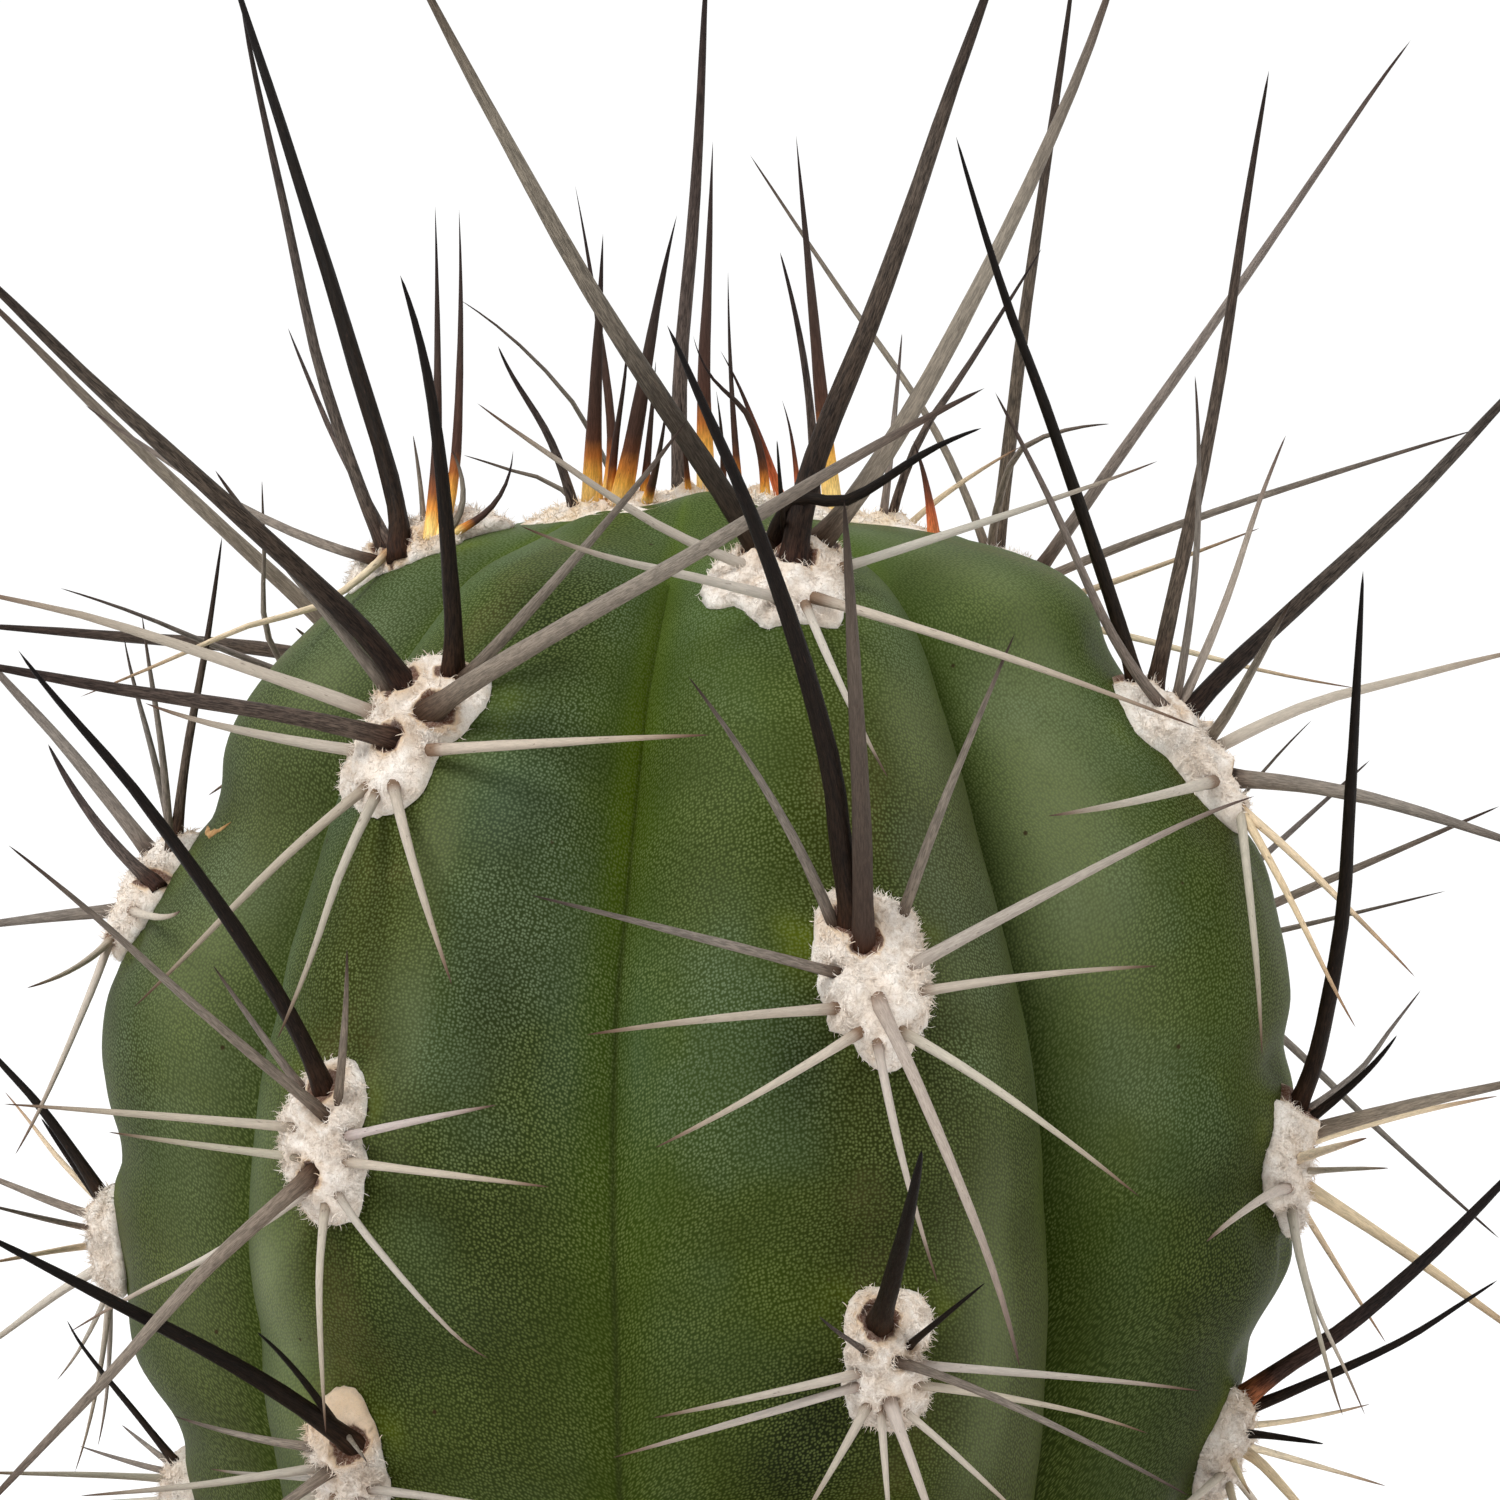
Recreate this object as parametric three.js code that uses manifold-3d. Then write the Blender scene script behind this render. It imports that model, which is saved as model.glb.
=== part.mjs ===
// Potted toothpick cactus: a young ribbed column in a plain terracotta pot.
// Millimetres, +Z up. The origin is the middle of the pot's underside.
// Azimuths are in degrees from the -Y side, positive towards +X.
import * as THREE from "three";
import { mergeVertices } from "three/addons/utils/BufferGeometryUtils.js";
import Module from "manifold-3d";

// ---- driving dimensions ----
const POT_HEIGHT = 108;
const POT_RIM_RADIUS = 64; // outside of the rim band
const POT_RIM_BAND = 25; // height of the rim band
const POT_MOUTH_RADIUS = 57.5; // inside of the rim
const POT_NECK_RADIUS = 59.5; // outside, just under the rim band
const POT_FOOT_RADIUS = 43; // outside, at the base
const POT_WALL = 6;
const POT_FLOOR = 7;
const DRAIN_RADIUS = 6.5;
const SOIL_TOP = 94;
const GRIT_TOP = 97.6;
const STEM_TOP = 208; // the growing tip
const STEM_DEPTH = 128; // length of the stem, with the part in the soil
const STEM_FOOT = 24; // crest radius at the buried end
const RIBS = 7;
const RIB_SHARPNESS = 2.6; // exponent of a rib's cross-section
const GAP = 0.35; // clearance between pieces that touch
const SPINE_SWELL = 1.12; // a 3 or 4 sided section stands for a round one

// ---- the stem's profile: [depth below the tip, radius] ----
const CREST_LEFT = [[0, 0], [0.5, 8.5], [1.2, 13.2], [2.4, 17.4], [5, 21], [9.5, 25.6], [14, 28.2], [18.7, 29.6], [23.5, 32.6], [29.5, 34.8], [33, 35.2], [40.2, 35], [46.7, 34.1], [50.3, 33.2], [53.3, 32.1], [56.2, 31], [59.2, 30.3], [66, 29.3], [75, 28.8], [90, 28.5], [108, 28], [128, 24]];
const CREST_RIGHT = [[0, 0], [0.5, 9.5], [1.2, 15], [2.2, 19.4], [3.3, 22], [5, 24], [7, 25.2], [9.5, 26.1], [14, 29.6], [19.6, 33.5], [22.5, 34.6], [25.3, 35.4], [30, 35.9], [34, 35.9], [38, 35.4], [42.7, 35.6], [45.6, 35], [49.4, 33.8], [52, 32.6], [55, 31.4], [58.5, 30.5], [66, 29.5], [75, 29], [90, 28.6], [108, 28], [128, 24]];
const VALLEY = [[0, 0], [0.4, 6.5], [1, 9.5], [2.5, 12.8], [5, 15.8], [9, 18.4], [13, 20.2], [18, 22.3], [24, 24.3], [30, 26.2], [40, 28], [50, 27.9], [59, 27.3], [66, 26.8], [75, 26.4], [90, 26.2], [108, 25.8], [128, 22]];
// each rib: share of the right-hand profile, where between its crest and the next
// the fold lies, then [depth, azimuth of the crest]
const RIB = [
  { name: "G", right: 0, fold: 0.5, azimuth: [[0, -131], [128, -134]] },
  { name: "D", right: 0, fold: 0.577, azimuth: [[0, -88], [128, -86]] },
  { name: "B", right: 0.25, fold: 0.523, azimuth: [[0, -33], [12, -34.5], [33, -35], [52, -35.6], [75, -35], [128, -35]] },
  { name: "A", right: 0.5, fold: 0.5, azimuth: [[0, 20], [3, 19.5], [9, 17], [24, 16.5], [45, 17.8], [70, 17.5], [128, 17]] },
  { name: "C", right: 1, fold: 0.5, azimuth: [[0, 72], [128, 71]] },
  { name: "E", right: 0.6, fold: 0.5, azimuth: [[0, 125], [128, 123]] },
  { name: "F", right: 0.3, fold: 0.5, azimuth: [[0, 181], [128, 177]] },
];
// the fold in front, after the third rib, is partly filled out: [depth, share]
const SHALLOW_FOLD = 2;
const SHALLOW = [
  [0, 0], [3, 0.1], [9, 0.24], [18, 0.42], [26, 0.55], [40, 0.6], [60, 0.5], [80, 0.3],
  [STEM_DEPTH, 0.3],
];
// the flesh stands up round the tip in front: [x, y, reach x, reach y, height]
const MOUNDS = [
  [0.9, -5, 3.5, 3.8, 1.75],
  [-5.4, -5, 3.4, 3.4, 0.75],
];
// depth of each areole's centre on its rib
const AREOLE_DEPTH = {
  G: [12, 34, 53, 69, 84, 98.5],
  D: [2.7, 22.8, 43.5, 60, 75, 90],
  B: [11.2, 33, 51.5, 67, 82, 96.5],
  A: [3, 23.2, 44, 60.5, 76, 91],
  C: [13.4, 36.8, 54, 70, 85, 99.5],
  E: [6.9, 28.5, 47.5, 63.5, 78.5, 93],
  F: [8.5, 30, 50, 66, 81, 95.5],
};

// ---- areoles: centre on the crest, outward direction, direction up the rib,
// pad [half width, half height, thickness], and spines as
// [sides, base radius, then the points of its centre line]
const AREOLES = [
  {
    name: "areole_A1", at: [6.68, -18.85, 205], out: [0.1743, -0.4536, 0.874], up: [-0.3135, 0.8159, 0.4859], pad: [3.5, 4.4, 2],
    spines: [
      [4, 0.93, 3.9, -18.14, 206.77, -5.24, -20.64, 221, -16.38, -24.71, 241.79],
      [4, 0.98, 5.53, -19.38, 206.45, 6.9, -17.84, 212.56, 17.76, -10.3, 241.99],
      [4, 0.85, 6.95, -16.06, 207.41, 10.85, -14.89, 212.61, 15.75, -13.06, 221.05, 21.4, -10.54, 232.76, 24.69, -8.6, 241.92],
      [4, 0.56, 4.33, -17.23, 207.26, 5.76, -18.88, 210.03, 8.51, -21.14, 210.21, 15.77, -26.47, 214.52],
      [4, 0.25, 5.05, -16.62, 207.55, 4.56, -28.96, 214.02],
      [3, 0.39, 3.78, -19.31, 206.06, -2.5, -20.6, 209.03, -11.98, -22.74, 215.68],
      [3, 0.39, 4.81, -21.49, 204.76, -9.28, -30.51, 209.46],
      [3, 0.36, 8.42, -18.4, 206.23, 26.18, -15.22, 211.99],
      [3, 0.36, 7.07, -21.87, 204.69, 26.84, -38.58, 199.37],
      [3, 0.33, 6.3, -22.38, 204.2, 10.41, -38.33, 196.67],
    ],
  },
  {
    name: "areole_A2", at: [9.59, -32.31, 184.8], out: [0.2487, -0.8627, 0.4403], up: [-0.122, 0.4231, 0.8978], pad: [3.3, 4.8, 2.1],
    spines: [
      [4, 0.92, 8.7, -32.3, 188, 6.81, -38.06, 199.41, 3.9, -43.12, 209.1, -1.1, -49.66, 221.1],
      [4, 0.81, 9.25, -32.99, 186.86, 7.97, -43.73, 211.81],
      [4, 0.51, 9.95, -34.19, 184.2, 14.88, -50.72, 174.52, 16.6, -59.02, 169.43],
      [3, 0.41, 7.65, -32.3, 187.85, 4.51, -33.36, 194.49, -0.22, -34.74, 201.74],
      [3, 0.41, 11.22, -31.27, 187.85, 17.52, -28.98, 203.51],
      [3, 0.4, 7.88, -33.73, 185.5, -8.38, -43.65, 191.16],
      [3, 0.46, 11.49, -32.81, 185.55, 30.43, -31.74, 194.91],
      [3, 0.35, 12.34, -32.7, 184.34, 25.15, -34.03, 185.96],
      [3, 0.35, 7.53, -34.34, 183.69, -5.45, -44.87, 183.97],
      [3, 0.35, 8.75, -34.9, 182.33, -1.84, -46.43, 178.28],
      [3, 0.32, 9.99, -34.92, 181.74, 12.9, -46.2, 171.04],
      [3, 0.35, 11.38, -34.24, 182.38, 23.7, -41.65, 174.78],
    ],
  },
  {
    name: "areole_A3", at: [10.68, -33.39, 164], out: [0.3039, -0.9487, -0.0873], up: [0.0266, -0.0831, 0.9962], pad: [2.5, 3.9, 1.8],
    spines: [
      [4, 0.81, 10.08, -34.8, 166.52, 11.81, -53.94, 179.55],
      [4, 0.24, 9.3, -34.84, 165.04, 6.7, -46.43, 169.39],
      [4, 0.27, 11.69, -34.48, 165.19, 15.5, -42.45, 170.32],
      [3, 0.35, 9, -34.72, 163.75, -2, -44.31, 163.49],
      [3, 0.35, 8.96, -34.61, 163.01, -4.15, -44.85, 161.47],
      [3, 0.35, 12.12, -34.18, 164.08, 27.51, -35.32, 162.9],
      [3, 0.3, 12.08, -34.06, 162.97, 24.75, -34.85, 160.42],
      [4, 0.38, 10.98, -34.74, 164.44, 26.33, -44.38, 159.26],
      [3, 0.33, 9.45, -34.49, 161.88, 5.78, -38.63, 156.43],
      [3, 0.3, 10.22, -34.41, 161.5, 10.78, -36.73, 154.35],
      [4, 0.46, 10.65, -34.53, 162.22, 13.73, -41.96, 154.43],
      [3, 0.3, 11.33, -34.17, 161.67, 18.32, -34.89, 155.38],
    ],
  },
  {
    name: "areole_A4", at: [9.13, -28.75, 147.5], out: [0.3005, -0.9478, -0.1065], up: [0.0322, -0.1016, 0.9943], pad: [2.5, 3.5, 1.6],
    spines: [
      [4, 0.71, 10.15, -29.66, 147.41, 26.65, -38.74, 141.43, 36.19, -44.15, 136.93],
      [4, 0.54, 8.82, -30.09, 147.42, -1.74, -51.08, 139.24],
      [4, 0.48, 9.54, -29.99, 148.85, 16.8, -52.54, 151.51],
      [3, 0.38, 10.44, -29.57, 149.05, 18.72, -33.87, 156.05],
      [3, 0.33, 8.75, -30.15, 149.27, 7.28, -41.03, 156.29],
      [3, 0.43, 10.82, -29.31, 148.17, 18.69, -30.7, 150.95, 24.47, -32.06, 152.12],
      [3, 0.37, 8.11, -30.19, 148.29, 1.27, -36.78, 152.15, -3.31, -40.49, 153.9],
      [3, 0.38, 10.89, -29.19, 147.36, 23.2, -28.6, 146.83],
      [3, 0.37, 7.94, -30.11, 147.28, -2.1, -39.19, 146.04],
      [3, 0.36, 10.37, -29.22, 145.79, 21.33, -30.13, 134.22],
      [3, 0.34, 8.54, -29.8, 145.6, 1.92, -35.67, 133.41],
      [3, 0.35, 9.44, -29.5, 145.21, 11.04, -32.43, 132.12],
      [3, 0.24, 9.38, -30, 149.56, 10.41, -35.22, 155.45],
    ],
  },
  {
    name: "areole_A5", at: [8.67, -27.6, 132], out: [0.2992, -0.9538, 0.0266], up: [-0.008, 0.0254, 0.9996], pad: [2.5, 3.6, 1.6],
    spines: [
      [4, 0.64, 9.69, -28.51, 132.04, 23.24, -40.47, 127.85, 32.89, -49.34, 125.89],
      [4, 0.53, 8.52, -28.91, 131.7, 7.79, -42.42, 126.3, 6.59, -52.36, 123.46],
      [4, 0.49, 8.62, -28.78, 133.38, 13.47, -49.58, 136.49],
      [3, 0.37, 8.64, -28.63, 134.21, 7.92, -36.63, 148.05],
      [3, 0.38, 9.61, -28.32, 134.04, 14.87, -31.49, 142.76],
      [3, 0.39, 10.42, -28.04, 132.51, 23.29, -28.48, 135.34],
      [3, 0.42, 7.59, -28.92, 132.95, -2.74, -37.59, 138.75],
      [3, 0.34, 10.42, -28.06, 131.53, 21.75, -29.76, 129.29],
      [3, 0.38, 7.5, -28.98, 131.57, 1.07, -34.63, 130.43, -2.94, -37.62, 129.09],
      [3, 0.35, 10.19, -28.19, 130.71, 16.97, -28, 125.69, 21.07, -26.84, 122.93],
      [3, 0.37, 8.4, -28.81, 129.98, 5.77, -33.07, 122.36, 4.59, -35.05, 117.39],
      [3, 0.33, 9.28, -28.55, 129.83, 12.68, -33.05, 119.97],
    ],
  },
  {
    name: "areole_A6", at: [8.51, -27.29, 117], out: [0.2969, -0.9544, 0.0309], up: [-0.0092, 0.0295, 0.9995], pad: [2.5, 3.6, 1.6],
    spines: [
      [4, 0.63, 8.59, -28.42, 118.49, 9.59, -44.58, 129.21, 9.83, -53.63, 136.55],
      [4, 0.49, 9.5, -28.16, 117.95, 23.5, -36.83, 123.95, 32.3, -41.43, 127.4],
      [4, 0.47, 9.04, -28.42, 116.41, 15.82, -38.46, 101.47],
      [3, 0.36, 8.47, -28.32, 119.23, 7.82, -32.94, 128.28],
      [3, 0.37, 9.84, -27.87, 118.65, 15.8, -31.13, 124.17, 19.8, -32.34, 127.38],
      [3, 0.43, 10.23, -27.74, 117.7, 22.79, -28.32, 121.49],
      [3, 0.42, 7.4, -28.62, 117.91, -2.8, -37.13, 123.29],
      [3, 0.39, 10.29, -27.75, 116.69, 17.71, -27.67, 115.81, 22.04, -26.82, 114.99],
      [3, 0.37, 7.32, -28.67, 116.57, -4.79, -36.28, 113.82],
      [3, 0.39, 10, -27.9, 115.64, 21.31, -30.6, 107.92],
      [3, 0.38, 7.9, -28.59, 115.25, 0.99, -34.75, 104.46],
      [3, 0.35, 9.66, -28.05, 115.16, 15.59, -29.98, 107.65],
    ],
  },
  {
    name: "areole_B1", at: [-15.22, -22.23, 196.8], out: [-0.4611, -0.6741, 0.577], up: [0.3258, 0.4762, 0.8167], pad: [3.9, 5, 2],
    spines: [
      [4, 0.89, -16.04, -20.95, 199.6, -19.99, -21.08, 204.34, -42.42, -22.01, 225.63],
      [4, 0.5, -16.93, -20.12, 199.18, -26.68, -20.69, 211.84],
      [4, 0.53, -13.48, -21.46, 200.63, -14.32, -24.77, 215.57, -15.96, -26.47, 222.86],
      [4, 0.83, -14.63, -23.13, 198.55, 14.94, -51.11, 217.99],
      [3, 0.5, -12.94, -22.08, 200.19, -0.31, -28.94, 215.1],
      [3, 0.5, -17.73, -20.23, 198.1, -33.22, -15.31, 202.78, -42.77, -12.44, 204.66],
      [4, 0.72, -16.6, -23.18, 197.03, -41.28, -31.61, 202.56],
      [3, 0.42, -18.5, -21.37, 196.15, -31.05, -17.58, 198.47],
      [3, 0.41, -14.21, -24.64, 196.63, 0.99, -38.96, 199.04],
      [3, 0.39, -18.24, -23.46, 194.34, -30.11, -34.73, 183.78],
      [3, 0.36, -17.63, -24.34, 194.02, -22.05, -38.71, 182.69],
      [3, 0.39, -16.57, -24.9, 194.51, -12.59, -41.46, 186.07],
    ],
  },
  {
    name: "areole_B2", at: [-20.32, -29.02, 175], out: [-0.5709, -0.8165, 0.086], up: [0.0493, 0.0705, 0.9963], pad: [2.6, 4.2, 1.8],
    spines: [
      [4, 0.71, -20.22, -29.81, 178.47, -22.5, -33.01, 184.24, -28.5, -39.54, 195.01, -34.68, -45.5, 204.18],
      [4, 0.46, -19.97, -30.37, 177.09, -36.03, -40.1, 193.33],
      [3, 0.33, -21.41, -28.96, 178.27, -26.34, -28.67, 185.2],
      [3, 0.33, -19.46, -30.34, 177.67, -18.46, -36.29, 187.27],
      [3, 0.33, -18.93, -30.75, 176.06, -10.17, -43.38, 180.01],
      [3, 0.33, -19.02, -30.88, 174.66, -7.41, -44.83, 175.92],
      [3, 0.36, -21.62, -29.48, 176.3, -38.39, -25.39, 176.91],
      [3, 0.33, -21.42, -29.9, 174.71, -32.42, -26.78, 175.58],
      [4, 0.6, -20.79, -30.38, 173.91, -26.89, -36.97, 169.12, -37.99, -50.26, 158.43],
      [3, 0.33, -20.9, -30.31, 173.1, -34.44, -28.74, 164.74],
      [3, 0.3, -20.12, -30.59, 172.28, -19.61, -38.88, 161.31],
      [3, 0.3, -19.45, -30.8, 172.87, -13.12, -40.8, 167.77, -10.62, -44.09, 166.6],
    ],
  },
  {
    name: "areole_B3", at: [-19.12, -26.72, 156.5], out: [-0.5588, -0.7771, -0.2896], up: [-0.1691, -0.2351, 0.9571], pad: [2.3, 3.8, 1.7],
    spines: [
      [4, 0.77, -18.78, -28.67, 158.36, -24.8, -33.9, 163.92, -37.85, -44.54, 173.68],
      [4, 0.36, -19.74, -28.39, 159.21, -23.07, -41.04, 167.39],
      [3, 0.33, -20.7, -27.5, 157.93, -29.04, -25.83, 159.34],
      [3, 0.36, -20.49, -27.42, 156.85, -34.65, -23.19, 154.14],
      [3, 0.25, -20.96, -26.25, 155.91, -27.17, -24.72, 156.06],
      [4, 0.47, -19.78, -28.04, 157.01, -30.53, -30.91, 149.49],
      [3, 0.33, -17.91, -28.27, 155.76, -8.05, -42.12, 157.89],
      [4, 0.22, -19.17, -28.6, 158.88, -17.25, -41.51, 160.46],
      [3, 0.31, -20, -27.14, 155.1, -21.02, -27.07, 146.87],
      [3, 0.31, -18.57, -27.98, 155.15, -12.75, -38.93, 151.73],
      [3, 0.31, -20.73, -26.33, 155.36, -29.14, -22.48, 149.4],
    ],
  },
  {
    name: "areole_B4", at: [-16.91, -23.97, 141], out: [-0.5768, -0.8166, -0.0227], up: [-0.0131, -0.0185, 0.9997], pad: [2.5, 3.6, 1.6],
    spines: [
      [4, 0.71, -18.16, -24.51, 141.79, -35.64, -33.62, 145.42, -46.46, -38.7, 146.71],
      [4, 0.55, -17.03, -25.32, 140.95, -16.56, -39.17, 136.1, -14.96, -47.51, 133.77],
      [4, 0.5, -17.46, -25.02, 142.47, -30.37, -46.2, 149.81],
      [3, 0.38, -18.23, -24.32, 142.83, -28.6, -27.22, 152.71],
      [3, 0.37, -16.77, -25.35, 142.79, -15.44, -30.27, 147.72, -14.4, -32.66, 151.09],
      [3, 0.37, -16.22, -25.64, 141.4, -12.91, -34.54, 142.43, -10.22, -39.46, 143.69],
      [3, 0.42, -18.69, -23.91, 141.67, -32.81, -21.12, 145.77],
      [3, 0.38, -16.2, -25.63, 140.61, -9.43, -35.88, 138.63],
      [3, 0.4, -18.62, -23.92, 140.05, -29.71, -22.13, 135.36],
      [3, 0.37, -16.46, -25.45, 139.59, -11.35, -35.81, 131.46],
      [3, 0.33, -18.22, -24.23, 139.17, -26.63, -22.84, 128.57],
      [3, 0.35, -17.63, -24.67, 138.75, -20.92, -27.2, 128.3],
    ],
  },
  {
    name: "areole_B5", at: [-16.49, -23.55, 126], out: [-0.5734, -0.8185, 0.0359], up: [0.0206, 0.0294, 0.9994], pad: [2.4, 3.7, 1.6],
    spines: [
      [4, 0.7, -17.71, -24.07, 126.65, -28.05, -26.44, 127.19, -37.15, -27.88, 128.35, -48.77, -28.64, 130.96],
      [4, 0.47, -16.85, -24.78, 125.59, -19.4, -36.99, 117.92, -20.59, -46.28, 113.26],
      [4, 0.47, -17.28, -24.33, 127.54, -30.02, -40.56, 132.08],
      [3, 0.38, -16.37, -24.78, 127.94, -15.44, -35.33, 138.61],
      [3, 0.38, -17.49, -24.01, 128.14, -23.69, -25.92, 138],
      [3, 0.42, -15.9, -25.11, 126.83, -11.26, -32.76, 129.54, -8.45, -37.04, 131.84],
      [3, 0.39, -18.19, -23.51, 126.64, -30.67, -17.52, 130.49],
      [3, 0.38, -15.87, -25.18, 125.64, -8.92, -35.87, 123.7],
      [3, 0.38, -18.23, -23.49, 126.22, -32.23, -20.83, 127.48],
      [3, 0.36, -16.25, -25.01, 124.42, -11.83, -32.18, 116.74],
      [3, 0.36, -17.81, -23.94, 124.19, -27.28, -23.19, 112.94],
      [3, 0.34, -17.08, -24.5, 123.76, -19.49, -28.63, 113.89],
    ],
  },
  {
    name: "areole_B6", at: [-16.31, -23.3, 111.5], out: [-0.5736, -0.8186, 0.0282], up: [0.0162, 0.0231, 0.9996], pad: [2.4, 3.7, 1.6],
    spines: [
      [4, 0.59, -16.64, -24.42, 112.92, -17.04, -39.49, 125.15, -17.51, -47.48, 133.62],
      [4, 0.45, -17.37, -23.92, 112.75, -30.27, -29.09, 119.45, -37.32, -32.3, 124.54],
      [4, 0.46, -17.3, -24.1, 111.02, -25.88, -29.78, 105.5, -30.57, -32.95, 101.36],
      [3, 0.38, -16.22, -24.54, 113.46, -13.99, -33.12, 124.11],
      [3, 0.38, -17.38, -23.73, 113.6, -22.3, -26.18, 120.13, -25.49, -26.79, 124.09],
      [3, 0.39, -15.84, -24.79, 112.72, -12.12, -29.77, 116.82, -9.63, -33.89, 119.08],
      [3, 0.42, -17.99, -23.28, 112.27, -29.95, -19.52, 116.46],
      [3, 0.35, -15.67, -24.93, 111.46, -8.22, -35.3, 111.2],
      [3, 0.35, -17.93, -23.41, 110.35, -27.67, -19.73, 104.38],
      [3, 0.36, -15.84, -24.87, 110.45, -8.42, -32.18, 105.07],
      [3, 0.36, -17.73, -23.6, 109.83, -22.98, -23.86, 104.84, -26.33, -23.38, 102.09],
      [3, 0.36, -16.95, -24.2, 109.23, -19.77, -28.23, 102.07],
    ],
  },
  {
    name: "areole_C1", at: [27.74, -9.07, 194.6], out: [0.7178, -0.2324, 0.6563], up: [-0.6244, 0.2021, 0.7545], pad: [3, 5.4, 2.1],
    spines: [
      [4, 0.64, 25.41, -8.32, 198.85, 14.5, -20.33, 230.33],
      [4, 0.46, 27.41, -9.58, 196.94, 24.14, -12.58, 201.38, 16.68, -21.47, 216.22],
      [4, 0.67, 26.57, -7.26, 198.11, 30.16, -4.94, 214.47, 33.39, -2.16, 233.99],
      [4, 0.35, 27.76, -7.44, 197.02, 28.88, -8.93, 206.82, 28.57, -10.74, 216.63],
      [4, 0.38, 27.95, -7.5, 196.83, 34.6, -2.17, 212.68],
      [4, 0.81, 28.31, -7.62, 196.45, 41.86, -0.23, 208.43, 52.7, 6.52, 218.95],
      [4, 0.47, 29.54, -7.6, 194.98, 33.53, -18.61, 204.4],
      [3, 0.46, 29.82, -8.11, 194.64, 36.19, -3.81, 196.96, 52.17, 7.05, 199.58],
      [4, 0.7, 30.84, -8.64, 193.15, 40.14, -13.22, 192.11, 49, -18.1, 189.6],
      [3, 0.4, 29.56, -11.71, 193.26, 19.28, -30.78, 193.7],
      [3, 0.35, 31.43, -10.26, 191.58, 31.13, -29.66, 180.37],
      [3, 0.32, 31.43, -10.26, 191.58, 36.69, -25.54, 181.2],
      [3, 0.35, 31.43, -10.26, 191.58, 40.7, -18.79, 183.02],
    ],
  },
  {
    name: "areole_C2", at: [33.77, -11.16, 171.2], out: [0.9499, -0.3121, -0.013], up: [0.0123, -0.004, 0.9999], pad: [2.7, 4.1, 1.8],
    spines: [
      [4, 0.7, 34.88, -10.94, 174.32, 36.71, -17.16, 186.37, 36.59, -27.37, 206.81],
      [4, 0.41, 35.14, -10.74, 173.14, 40.19, -14.59, 179.02],
      [3, 0.29, 35.06, -10.56, 173.73, 38.91, -6.68, 175.68, 43.11, -0.85, 179.49],
      [4, 0.64, 35.21, -10.61, 172.56, 51, -4.28, 175.18],
      [3, 0.35, 35.25, -10.48, 171.97, 48.19, 2.17, 172.56],
      [3, 0.41, 34.78, -12.22, 171.38, 37.18, -27.37, 175.35],
      [3, 0.26, 35.18, -10.9, 170.4, 38.44, -27.14, 173.62],
      [3, 0.38, 34.14, -13.03, 169.82, 28.08, -30.61, 170.16],
      [4, 0.55, 35.14, -10.74, 169.62, 50.66, -9.47, 158.68],
      [3, 0.32, 34.39, -12.38, 168.64, 36.37, -24.06, 158.93],
      [3, 0.26, 34.6, -12.02, 168.64, 35.26, -16.68, 164.36, 37.7, -23.2, 158.79],
      [3, 0.26, 34.94, -10.96, 168.64, 40.83, -5.02, 158.97],
    ],
  },
  {
    name: "areole_C3", at: [30.18, -10.05, 154], out: [0.907, -0.3013, -0.2942], up: [0.2792, -0.0928, 0.9557], pad: [2.4, 4, 1.8],
    spines: [
      [4, 0.79, 32.06, -10.03, 156.85, 41.92, -12.55, 165.25, 49.14, -14.67, 173.51],
      [4, 0.44, 32.06, -9.9, 156.07, 40.77, -11.4, 160.33, 46.45, -12.48, 164.31],
      [3, 0.26, 31.91, -9.98, 155.1, 40.62, 1.45, 153.8],
      [4, 0.35, 31.75, -10.32, 154.72, 36.1, -16.27, 155.5],
      [3, 0.29, 31.65, -9.89, 153.99, 41.72, 2.07, 148.58],
      [4, 0.44, 31.6, -9.88, 153.8, 37.24, -20.47, 149.17],
      [3, 0.32, 30.68, -11.13, 152.55, 24.75, -28.2, 152.86],
      [3, 0.32, 31, -9.94, 152.17, 31.63, -25.07, 147.48],
      [3, 0.29, 31.17, -9.86, 152.53, 37.54, -0.47, 142.17],
      [3, 0.26, 31.32, -10.3, 153.24, 31.14, -24.74, 154.63],
    ],
  },
  {
    name: "areole_C4", at: [27.77, -9.32, 138], out: [0.9483, -0.3175, 0.0032], up: [-0.003, 0.001, 1], pad: [2.4, 3.7, 1.6],
    spines: [
      [4, 0.73, 28.64, -10.36, 138.54, 35.06, -27.21, 139.59, 40.65, -38.8, 140.52],
      [4, 0.53, 29.1, -9.01, 138.44, 42.95, -4.75, 139.07, 51.08, -1.73, 138.33],
      [4, 0.51, 28.84, -9.71, 139.56, 47.09, -16.11, 146.09],
      [3, 0.34, 28.78, -9.53, 140.3, 36.47, -11.25, 150.43],
      [3, 0.38, 28.47, -10.41, 139.92, 28.9, -18.22, 150.8],
      [3, 0.38, 29.14, -8.24, 138.4, 34.82, -0.74, 140.35, 39.48, 4.26, 141.04],
      [3, 0.4, 28.26, -10.9, 138.95, 29.1, -20.19, 142.3, 29.56, -25.46, 145.01],
      [3, 0.38, 29.14, -8.29, 137.3, 39.64, 0.91, 133.47],
      [3, 0.39, 28.22, -11, 137.64, 28.76, -18.56, 136.46, 28.33, -23.1, 135.8],
      [3, 0.34, 29.09, -8.5, 136.64, 33.47, -2.3, 131.87, 35.36, 1.31, 128.33],
      [3, 0.34, 28.48, -10.42, 136.09, 31.37, -15.82, 129.11, 32.31, -19.51, 125.04],
      [3, 0.33, 28.7, -9.84, 135.72, 33.27, -13.01, 124.3],
    ],
  },
  {
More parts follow.
